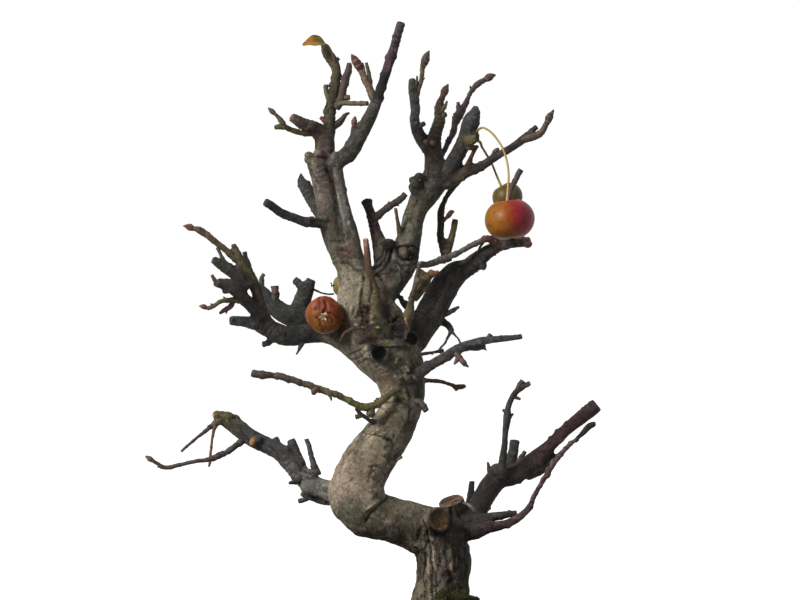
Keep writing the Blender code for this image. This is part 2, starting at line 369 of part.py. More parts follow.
# Fruits: centre on the drawing, direction toward the stalk, width and height in metres.
FRUITS = {
    "red_fruit": ((509.6, 219.3, -20), (-0.14, 0.0, 1.0), 0.0251, 0.0214, 0.0),
    "green_fruit": ((507.4, 197.0, 7), (-0.5, 0.0, 0.85), 0.0153, 0.0145, 0.0),
    "brown_fruit": ((325.0, 315.0, -11.0), (0.12, 1.0, 0.12), 0.0190, 0.0180, 0.05),
    "yellow_fruit": ((345.0, 286.0, 18.3), (1.0, 0.15, -0.05), 0.0118, 0.0130, 0.0),
}
FRUIT_STEPS = 16
FRUIT_RINGS = 11
STALK_HOLLOW = 0.12
CALYX_HOLLOW = 0.07
HOLLOW_WIDTH = 0.3
CALYX_WIDTH = 0.26
CALYX_THICKNESS = 0.0007
CALYX_POINTS = 5
CALYX_NOTCH = 0.5
WRINKLE_COUNT = 4
WRINKLE_TWIST = 260
WRINKLE_CLEAR = 0.25

# Stalks run from the spur or trunk to the hollow of the fruit.
STALKS = {
    "red_fruit_stalk": [
        (477, 132.4, -4.5, 1.5), (478, 130, -5.2, 1.2), (483, 127.7, -7, 1.1), (490.7, 132, -9.5, 1.1),
        (497.4, 139.7, -12, 1.1), (503, 149, -14.5, 1.1), (507, 161.7, -17, 1.1), (508.6, 175, -19, 1.1),
        (508, 188.4, -20, 1.2), (507.2, 202.4, -20, 1.6)],
    "green_fruit_stalk": [
        (480, 142.2, -4, 1.5), (482, 147, 0, 1.1), (485, 152, 5, 1.0), (491.7, 163.6, 8.5, 1.0),
        (496.4, 175, 8.5, 1.0), (501.3, 186.9, 7.1, 1.3)],
    "brown_fruit_stalk": [
        (327.6, 312.0, -3.2, 1.6), (328.5, 311, 1, 1.2), (328, 310.5, 5, 1.2), (327, 310.5, 8.0, 1.5)],
    "yellow_fruit_stalk": [
        (356.5, 287, 19.5, 1.2), (362, 290, 18, 1.0), (367, 295, 15.5, 1.2), (368, 298, 13.7, 1.6)],
}

STALK_ROUNDNESS = 1

# Leaf
LEAF_BASE = (325.5, 43.8, 2.2)
LEAF_TIP = (302.5, 45.0, -3.0)
LEAF_HALF_WIDTH = 0.0032
LEAF_FOLD = 0.45
LEAF_ARCH = 0.0016
LEAF_THICKNESS = 0.0007
LEAF_POINT = 0.0004
LEAF_FACING = (0.15, -0.75, 0.65)
LEAF_FULLEST = 0.85
LEAF_CELLS = (10, 4)
PETIOLE = [(334.5, 60, 1.9, 1.4), (331.5, 52, 1.4, 1.2), (327.5, 45.5, 1.8, 1.2), (323.0, 43.9, 1.6, 1.0)]

# Moss cushion at the front of the trunk's foot
MOSS_PLACE = (456, 610, -14)
MOSS_RADII = (0.0125, 0.010, 0.0125)
MOSS_SEGMENTS = (20, 12)
GROUND_DEPTH = 0.03


def clear_scene():
    """Remove whatever the new file holds."""
    for old in list(bpy.data.objects):
        bpy.data.objects.remove(old, do_unlink=True)


def new_collection(name):
    """Make a collection and link it to the scene."""
    collection = bpy.data.collections.new(name)
    bpy.context.scene.collection.children.link(collection)
    return collection


def new_material(name, colour, roughness):
    """Make a plain material with a colour (linear RGB) and a roughness."""
    material = bpy.data.materials.new(name)
    material.use_nodes = True
    shader = material.node_tree.nodes["Principled BSDF"]
    shader.inputs["Base Color"].default_value = (*colour, 1.0)
    shader.inputs["Roughness"].default_value = roughness
    shader.inputs["Metallic"].default_value = 0.0
    return material


def add_object(name, data, collection):
    """Put mesh or curve data into the scene as an object."""
    item = bpy.data.objects.new(name, data)
    collection.objects.link(item)
    return item


def dress(item, material):
    """Give an object one material."""
    item.data.materials.clear()
    item.data.materials.append(material)


def place(column, row, depth):
    """Turn a place on the drawing into metres; what lies farther back is larger than drawn."""
    spread = 1.0 + depth * MILLIMETRE / VIEW_DISTANCE
    across = (EYE_COLUMN - POT_COLUMN) + (column - EYE_COLUMN) * spread
    up = (SOIL_ROW - EYE_ROW) + (EYE_ROW - row) * spread
    return Vector((across * SQUARE, depth * MILLIMETRE, up * SQUARE + SOIL_HEIGHT))


def between(before, start, end, after, share):
    """Read a smooth curve through four stations, at a share of the way from start to end."""
    blend = []
    for a, b, c, d in zip(before, start, end, after):
        bend = (2 * a - 5 * b + 4 * c - d) * share ** 2 + (3 * b - a - 3 * c + d) * share ** 3
        blend.append(0.5 * (2 * b + (c - a) * share + bend))
    return blend


def smooth(stations, steps):
    """Refine a route into steps pieces between each two of its stations."""
    padded = [stations[0], *stations, stations[-1]]
    refined = []
    for index in range(1, len(padded) - 2):
        for step in range(steps):
            refined.append(between(*padded[index - 1:index + 3], step / steps))
    refined.append(stations[-1])
    return refined


def as_mesh(draft):
    """Replace an object by a plain mesh of what it shows."""
    name = draft.name
    collection = draft.users_collection[0]
    graph = bpy.context.evaluated_depsgraph_get()
    mesh = bpy.data.meshes.new_from_object(draft.evaluated_get(graph))
    solid = bpy.data.objects.new(name, mesh)
    solid.matrix_world = draft.matrix_world
    bpy.data.objects.remove(draft, do_unlink=True)
    solid.name = name
    collection.objects.link(solid)
    return solid


def weld(mesh):
    """Join the loose caps of a tube to its wall."""
    work = bmesh.new()
    work.from_mesh(mesh)
    bmesh.ops.remove_doubles(work, verts=work.verts, dist=WELD)
    bmesh.ops.recalc_face_normals(work, faces=work.faces)
    work.to_mesh(mesh)
    work.free()


def tube(name, stations, collection, roundness, extra=0.0):
    """Make a closed mesh tube along a route, thicker by extra metres."""
    curve = bpy.data.curves.new(name, "CURVE")
    curve.dimensions = "3D"
    curve.bevel_depth = 1.0
    curve.bevel_resolution = roundness
    curve.use_fill_caps = True
    spline = curve.splines.new("POLY")
    spline.points.add(len(stations) - 1)
    for point, (column, row, depth, half_width) in zip(spline.points, stations):
        point.co = (*place(column, row, depth), 1.0)
        point.radius = half_width * SQUARE + extra
    solid = as_mesh(add_object(name, curve, collection))
    weld(solid.data)
    return solid


def roundness_for(stations):
    """Choose how round a limb is made, from its widest station."""
    widest = max(station[3] for station in stations)
    return next(roundness for least, roundness in ROUNDNESS if widest >= least)


def combine(base, collection, operation, solver="EXACT"):
    """Join a collection's solids to the base, or cut them out of it, and remove them."""
    modifier = base.modifiers.new("combine", "BOOLEAN")
    modifier.operation = operation
    modifier.operand_type = "COLLECTION"
    modifier.collection = collection
    modifier.solver = solver
    graph = bpy.context.evaluated_depsgraph_get()
    mesh = bpy.data.meshes.new_from_object(base.evaluated_get(graph))
    base.modifiers.clear()
    base.data = mesh
    for item in list(collection.objects):
        bpy.data.objects.remove(item, do_unlink=True)
    bpy.data.collections.remove(collection)


def shells_of(work):
    """Split a mesh's vertices into its connected shells, the smallest first."""
    unseen = set(work.verts)
    shells = []
    while unseen:
        front = [unseen.pop()]
        shell = list(front)
        while front:
            vertex = front.pop()
            near = {edge.other_vert(vertex) for edge in vertex.link_edges} & unseen
            unseen -= near
            front.extend(near)
            shell.extend(near)
        shells.append(shell)
    return sorted(shells, key=len)


def keep_largest_shell(mesh):
    """Drop the hollows that joining seals and the scraps that cutting leaves."""
    work = bmesh.new()
    work.from_mesh(mesh)
    for shell in shells_of(work)[:-1]:
        bmesh.ops.delete(work, geom=shell, context="VERTS")
    work.to_mesh(mesh)
    work.free()


def make_tree(parts, material):
    """Grow the whole tree as one solid: trunk, roots, boughs, twigs and buds."""
    limbs = new_collection("limbs")
    for name, (_, stations) in LIMBS.items():
        if name != "trunk":
            tube(name, stations, limbs, roundness_for(stations))
    for name, stations in BUDS.items():
        tube(name, stations, limbs, roundness_for(stations))
    trunk = LIMBS["trunk"][1]
    tree = tube("tree", smooth(trunk, 2), parts, roundness_for(trunk))
    combine(tree, limbs, "UNION", "MANIFOLD")
    keep_largest_shell(tree.data)
    dress(tree, material)


def foot_cutters():
    """Make the tree's foot, a little thicker, to cut the holes that it stands in."""
    cutters = new_collection("foot_cutters")
    trunk = smooth(LIMBS["trunk"][1], 2)[:2 * FOOT_STATIONS]
    tube("trunk_hole", trunk, cutters, roundness_for(trunk), HOLE_ROOM)
    for name in ROOTS:
        stations = LIMBS[name][1]
        tube(f"{name}_hole", stations, cutters, roundness_for(stations), HOLE_ROOM)
    return cutters


def turned(name, profile, steps, collection):
    """Turn a profile of (radius, height) points about the Z axis, down its outer side."""
    mesh = bpy.data.meshes.new(name)
    mesh.from_pydata([(radius, 0.0, height) for radius, height in profile], [], [])
    mesh.edges.add(len(profile) - 1)
    for index, edge in enumerate(mesh.edges):
        edge.vertices = (index, index + 1)
    item = add_object(name, mesh, collection)
    modifier = item.modifiers.new("turn", "SCREW")
    modifier.steps = steps
    modifier.render_steps = steps
    modifier.use_merge_vertices = True
    modifier.merge_threshold = WELD
    return as_mesh(item)


def flatten(solid):
    """Squeeze a turned tray piece from round to oval."""
    for vertex in solid.data.vertices:
        vertex.co.y *= POT_WIDTH / POT_LENGTH


def box(name, size, centre, turn, collection):
    """Add a block of a given size."""
    mesh = bpy.data.meshes.new(name)
    work = bmesh.new()
    bmesh.ops.create_cube(work, size=1.0)
    bmesh.ops.scale(work, vec=size, verts=work.verts)
    work.to_mesh(mesh)
    work.free()
    item = add_object(name, mesh, collection)
    item.location = centre
    item.rotation_euler.z = turn
    return item


def wall_radius(height):
    """Radius of the tray's inner wall at a height."""
    share = (height - WALL_FOOT[1]) / (WALL_TOP[1] - WALL_FOOT[1])
    return WALL_FOOT[0] + share * (WALL_TOP[0] - WALL_FOOT[0])


def make_pot(parts, material):
    """Turn the tray, squeeze it oval, add its feet and drill its drainage holes."""
    rim = POT_LENGTH / 2
    under_lip = POT_HEIGHT - LIP_HEIGHT
    profile = [
        (0.0, FOOT_HEIGHT + FLOOR),
        (FLOOR_RADIUS, FOOT_HEIGHT + FLOOR),
        WALL_FOOT,
        WALL_TOP,
        (WALL_TOP[0] + EDGE, POT_HEIGHT),
        (rim - EDGE, POT_HEIGHT),
        (rim, POT_HEIGHT - EDGE),
        (rim, under_lip + EDGE),
        (rim - EDGE, under_lip),
        (rim - LIP_REACH, under_lip - EDGE),
        (rim - BELLY_REACH, FOOT_HEIGHT + BELLY_HEIGHT),
        (rim - BASE_REACH, FOOT_HEIGHT),
        (0.0, FOOT_HEIGHT),
    ]
    pot = turned("pot", profile, TRAY_STEPS, parts)
    flatten(pot)
    feet = new_collection("feet")
    foot_size = (FOOT_LENGTH, FOOT_WIDTH, FOOT_HEIGHT + FLOOR / 2)
    for index, (across, back) in enumerate(FOOT_PLACES):
        turn = -FOOT_TURN if across * back > 0 else FOOT_TURN
        box(f"foot_{index}", foot_size, (across, back, foot_size[2] / 2), turn, feet)
    combine(pot, feet, "UNION")
    drills = new_collection("drills")
    for side, across in DRAIN_PLACES.items():
        top = FOOT_HEIGHT + 2 * FLOOR
        profile = [(0.0, top), (DRAIN_RADIUS, top), (DRAIN_RADIUS, 0.0), (0.0, 0.0)]
        drill = turned(f"drill_{side}", profile, DRILL_STEPS, drills)
        drill.location.x = across
    combine(pot, drills, "DIFFERENCE")
    keep_largest_shell(pot.data)
    dress(pot, material)


def soil_top(across, back):
    """Height of the soil's gently uneven top: a broad swell with a narrower one across it."""
    broad = math.sin(across / BROAD_SWELL) * math.cos(back / BROAD_SWELL)
    narrow = math.sin((across - back) / NARROW_SWELL)
    return SOIL_HEIGHT + SOIL_RELIEF * (broad + narrow / 2)


def make_soil(parts, material):
    """Fill the tray with soil that leaves holes for the foot of the tree and room for the nets."""
    bottom = FOOT_HEIGHT + FLOOR + GAP
    edge_height = SOIL_HEIGHT - 2 * SOIL_RELIEF
    top_radius = wall_radius(edge_height) - SOIL_ROOM
    rings = [(top_radius * share, SOIL_HEIGHT) for share in SOIL_RINGS]
    profile = rings + [
        (top_radius, edge_height),
        (WALL_FOOT[0] - SOIL_ROOM, WALL_FOOT[1]),
        (FLOOR_RADIUS - SOIL_ROOM, bottom),
        (0.0, bottom),
    ]
    soil = turned("soil", profile, TRAY_STEPS, parts)
    flatten(soil)
    for vertex in soil.data.vertices:
        if vertex.co.z > SOIL_HEIGHT - SOIL_RELIEF:
            vertex.co.z = soil_top(vertex.co.x, vertex.co.y)
    combine(soil, foot_cutters(), "DIFFERENCE", "MANIFOLD")
    pockets = new_collection("pockets")
    room = (NET_SIZE + 2 * NET_ROOM, NET_SIZE + 2 * NET_ROOM, 2 * (NET_THICKNESS + NET_ROOM))
    for side_name, across in DRAIN_PLACES.items():
        box(f"pocket_{side_name}", room, (across, 0.0, bottom), 0.0, pockets)
    combine(soil, pockets, "DIFFERENCE", "MANIFOLD")
    keep_largest_shell(soil.data)
    dress(soil, material)


def make_moss(parts, material):
    """Seat a moss cushion on the soil against the trunk's foot."""
    mesh = bpy.data.meshes.new("moss_cushion")
    work = bmesh.new()
    around, upward = MOSS_SEGMENTS
    bmesh.ops.create_uvsphere(work, u_segments=around, v_segments=upward, radius=1.0)
    bmesh.ops.scale(work, vec=MOSS_RADII, verts=work.verts)
    bmesh.ops.translate(work, vec=place(*MOSS_PLACE), verts=work.verts)
    work.to_mesh(mesh)
    work.free()
    moss = add_object("moss_cushion", mesh, parts)
    combine(moss, foot_cutters(), "DIFFERENCE", "MANIFOLD")
    ground = new_collection("ground")
    level = SOIL_HEIGHT + 2 * SOIL_RELIEF - GROUND_DEPTH / 2
    box("ground_block", (POT_LENGTH, POT_WIDTH, GROUND_DEPTH), (0.0, 0.0, level), 0.0, ground)
    combine(moss, ground, "DIFFERENCE")
    keep_largest_shell(moss.data)
    dress(moss, material)


def make_net(side, across, parts, material):
    """Lay a plastic net over a drainage hole: a grid sheet with every other cell left open."""
    mesh = bpy.data.meshes.new(f"drainage_net_{side}")
    work = bmesh.new()
    bmesh.ops.create_grid(work, x_segments=NET_CELLS, y_segments=NET_CELLS, size=NET_SIZE / 2)
    cell = NET_SIZE / NET_CELLS
    holes = []
    for face in work.faces:
        centre = face.calc_center_median()
        column = round((centre.x + NET_SIZE / 2) / cell - 0.5)
        row = round((centre.y + NET_SIZE / 2) / cell - 0.5)
        if column % 2 and row % 2:
            holes.append(face)
    bmesh.ops.delete(work, geom=holes, context="FACES")
    work.to_mesh(mesh)
    work.free()
    net = add_object(f"drainage_net_{side}", mesh, parts)
    net.location = (across, 0.0, FOOT_HEIGHT + FLOOR + GAP)
    modifier = net.modifiers.new("thickness", "SOLIDIFY")
    modifier.thickness = NET_THICKNESS
    modifier.offset = 1.0
    dress(net, material)


def fruit_outline(width, height):
    """Profile of a fruit from the stalk's hollow down to the calyx's hollow."""
    profile = []
    for ring in range(FRUIT_RINGS + 1):
        angle = math.pi / 2 - math.pi * ring / FRUIT_RINGS
        radius = width / 2 * math.cos(angle)
        profile.append((max(radius, 0.0), fruit_height(radius, math.copysign(1.0, angle), width, height)))
    profile[0] = (0.0, profile[0][1])
    profile[-1] = (0.0, profile[-1][1])
    return profile


def fruit_height(radius, side, width, height):
    """Height of a fruit's skin at a radius, on its stalk side (1) or calyx side (-1)."""
    share = min(1.0, 2 * radius / width)
    dome = height / 2 * math.sqrt(max(0.0, 1.0 - share ** 2))
    depth = STALK_HOLLOW if side > 0 else CALYX_HOLLOW
    return side * (dome - height * depth * math.exp(-(share / HOLLOW_WIDTH) ** 2))


def make_fruit(name, parts, skin, calyx):
    """Turn one fruit with its hollows, wrinkle it where it is dry, and add its dried calyx."""
    centre, toward_stalk, width, height, wrinkle = FRUITS[name]
    fruit = turned(name, fruit_outline(width, height), FRUIT_STEPS, parts)
    for vertex in fruit.data.vertices:
        turn = math.atan2(vertex.co.y, vertex.co.x)
        ripple = math.cos(WRINKLE_COUNT * turn + WRINKLE_TWIST * vertex.co.z)
        share = min(1.0, vertex.co.xy.length / (WRINKLE_CLEAR * width))
        vertex.co.xy *= 1.0 + wrinkle * ripple * share
    pose = Vector(toward_stalk).to_track_quat("Z", "Y")
    fruit.rotation_mode = "QUATERNION"
    fruit.rotation_quaternion = pose
    fruit.location = place(*centre)
    dress(fruit, skin)
    reach = CALYX_WIDTH * width / 2
    outline = bpy.data.curves.new(f"{name}_calyx", "CURVE")
    outline.dimensions = "2D"
    outline.fill_mode = "BOTH"
    outline.extrude = CALYX_THICKNESS / 2
    spline = outline.splines.new("POLY")
    spline.points.add(2 * CALYX_POINTS - 1)
    for index, point in enumerate(spline.points):
        turn = math.pi * index / CALYX_POINTS
        radius = reach if index % 2 == 0 else reach * CALYX_NOTCH
        point.co = (radius * math.cos(turn), radius * math.sin(turn), 0.0, 1.0)
    spline.use_cyclic_u = True
    star = as_mesh(add_object(f"{name}_calyx", outline, parts))
    weld(star.data)
    low = fruit_height(reach, -1.0, width, height) - GAP - CALYX_THICKNESS / 2
    star.rotation_mode = "QUATERNION"
    star.rotation_quaternion = pose
    star.location = fruit.location + pose @ Vector((0.0, 0.0, low))
    dress(star, calyx)


def make_leaf(parts, material):
    """Fold the one small leaf along its rib and join it to its stalk."""
    mesh = bpy.data.meshes.new("leaf")
    work = bmesh.new()
    along_cells, across_cells = LEAF_CELLS
    bmesh.ops.create_grid(work, x_segments=along_cells, y_segments=across_cells, size=0.5)
    base = place(*LEAF_BASE)
    tip = place(*LEAF_TIP)
    along = (tip - base).normalized()
    across = Vector(LEAF_FACING).cross(along).normalized()
    up = along.cross(across)
    for vertex in work.verts:
        share = vertex.co.x + 0.5
        side = 2 * vertex.co.y
        width = LEAF_POINT + LEAF_HALF_WIDTH * math.sin(math.pi * min(1.0, share) ** LEAF_FULLEST)
        rise = LEAF_FOLD * width * abs(side) + LEAF_ARCH * math.sin(math.pi * share)
        vertex.co = base.lerp(tip, share) + across * side * width + up * rise
    work.to_mesh(mesh)
    work.free()
    leaf = add_object("leaf", mesh, parts)
    modifier = leaf.modifiers.new("thickness", "SOLIDIFY")
    modifier.thickness = LEAF_THICKNESS
    modifier.offset = 0.0
    leaf = as_mesh(leaf)
    weld(leaf.data)
    stalk = new_collection("leaf_stalk")
    tube("petiole", PETIOLE, stalk, STALK_ROUNDNESS)
    combine(leaf, stalk, "UNION")
    keep_largest_shell(leaf.data)
    dress(leaf, material)


def main():
    """Build the whole bonsai."""
    clear_scene()
    parts = new_collection("crabapple_bonsai")
    make_pot(parts, new_material("brown_stoneware", (0.10, 0.055, 0.035), 0.6))
    make_soil(parts, new_material("potting_soil", (0.055, 0.040, 0.028), 0.95))
    make_moss(parts, new_material("moss", (0.055, 0.075, 0.012), 0.9))
    net = new_material("net_plastic", (0.01, 0.01, 0.01), 0.5)
    for side, across in DRAIN_PLACES.items():
        make_net(side, across, parts, net)
    make_tree(parts, new_material("bark", (0.13, 0.11, 0.09), 0.85))
    calyx = new_material("dry_calyx", (0.10, 0.05, 0.02), 0.9)
    skins = {
        "red_fruit": new_material("red_skin", (0.42, 0.09, 0.03), 0.3),
        "green_fruit": new_material("olive_skin", (0.16, 0.12, 0.03), 0.35),
        "brown_fruit": new_material("withered_skin", (0.33, 0.09, 0.02), 0.5),
        "yellow_fruit": new_material("yellow_skin", (0.30, 0.22, 0.03), 0.35),
    }
    for name, skin in skins.items():
        make_fruit(name, parts, skin, calyx)
    stalk = new_material("fruit_stalk", (0.55, 0.42, 0.16), 0.5)
    for name, stations in STALKS.items():
        item = tube(name, stations, parts, STALK_ROUNDNESS)
        dress(item, stalk)
    make_leaf(parts, new_material("autumn_leaf", (0.40, 0.20, 0.04), 0.6))


main()
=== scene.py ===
"""Looks of the crabapple bonsai: bark, twigs, buds, fruits, leaf, moss, soil and tray."""

import json
import math

import bmesh
import bpy
import numpy as np
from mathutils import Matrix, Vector

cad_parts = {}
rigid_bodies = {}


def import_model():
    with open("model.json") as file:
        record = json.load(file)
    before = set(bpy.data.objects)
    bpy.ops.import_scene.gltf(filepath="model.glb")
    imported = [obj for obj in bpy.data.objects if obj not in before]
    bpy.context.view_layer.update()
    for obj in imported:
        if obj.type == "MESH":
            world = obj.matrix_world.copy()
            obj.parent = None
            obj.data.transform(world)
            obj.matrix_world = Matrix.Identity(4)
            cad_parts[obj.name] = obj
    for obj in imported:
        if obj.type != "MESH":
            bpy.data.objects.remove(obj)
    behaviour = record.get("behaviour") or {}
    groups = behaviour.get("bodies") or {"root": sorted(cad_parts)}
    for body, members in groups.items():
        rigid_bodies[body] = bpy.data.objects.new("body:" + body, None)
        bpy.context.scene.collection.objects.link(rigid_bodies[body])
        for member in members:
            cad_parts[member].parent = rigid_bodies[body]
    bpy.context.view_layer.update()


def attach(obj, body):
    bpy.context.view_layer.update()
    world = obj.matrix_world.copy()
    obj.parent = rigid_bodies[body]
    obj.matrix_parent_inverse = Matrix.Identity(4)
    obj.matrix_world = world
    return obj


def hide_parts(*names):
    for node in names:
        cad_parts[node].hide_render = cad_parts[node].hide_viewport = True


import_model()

# Driving sizes in metres, and the drawing of squares on which the limbs are noted
TREE_HEIGHT = 0.296
POT_LENGTH = 0.200
POT_WIDTH = 0.150
POT_HEIGHT = 0.055
SOIL_HEIGHT = 0.050
VIEW_DISTANCE = 12.0
SOIL_ROW = 612
TOP_ROW = 20
POT_COLUMN = 372.5
EYE_COLUMN = 400
EYE_ROW = 300
VIEW_COLUMNS = 800
SQUARE = TREE_HEIGHT / (SOIL_ROW - TOP_ROW)
MILLIMETRE = 0.001

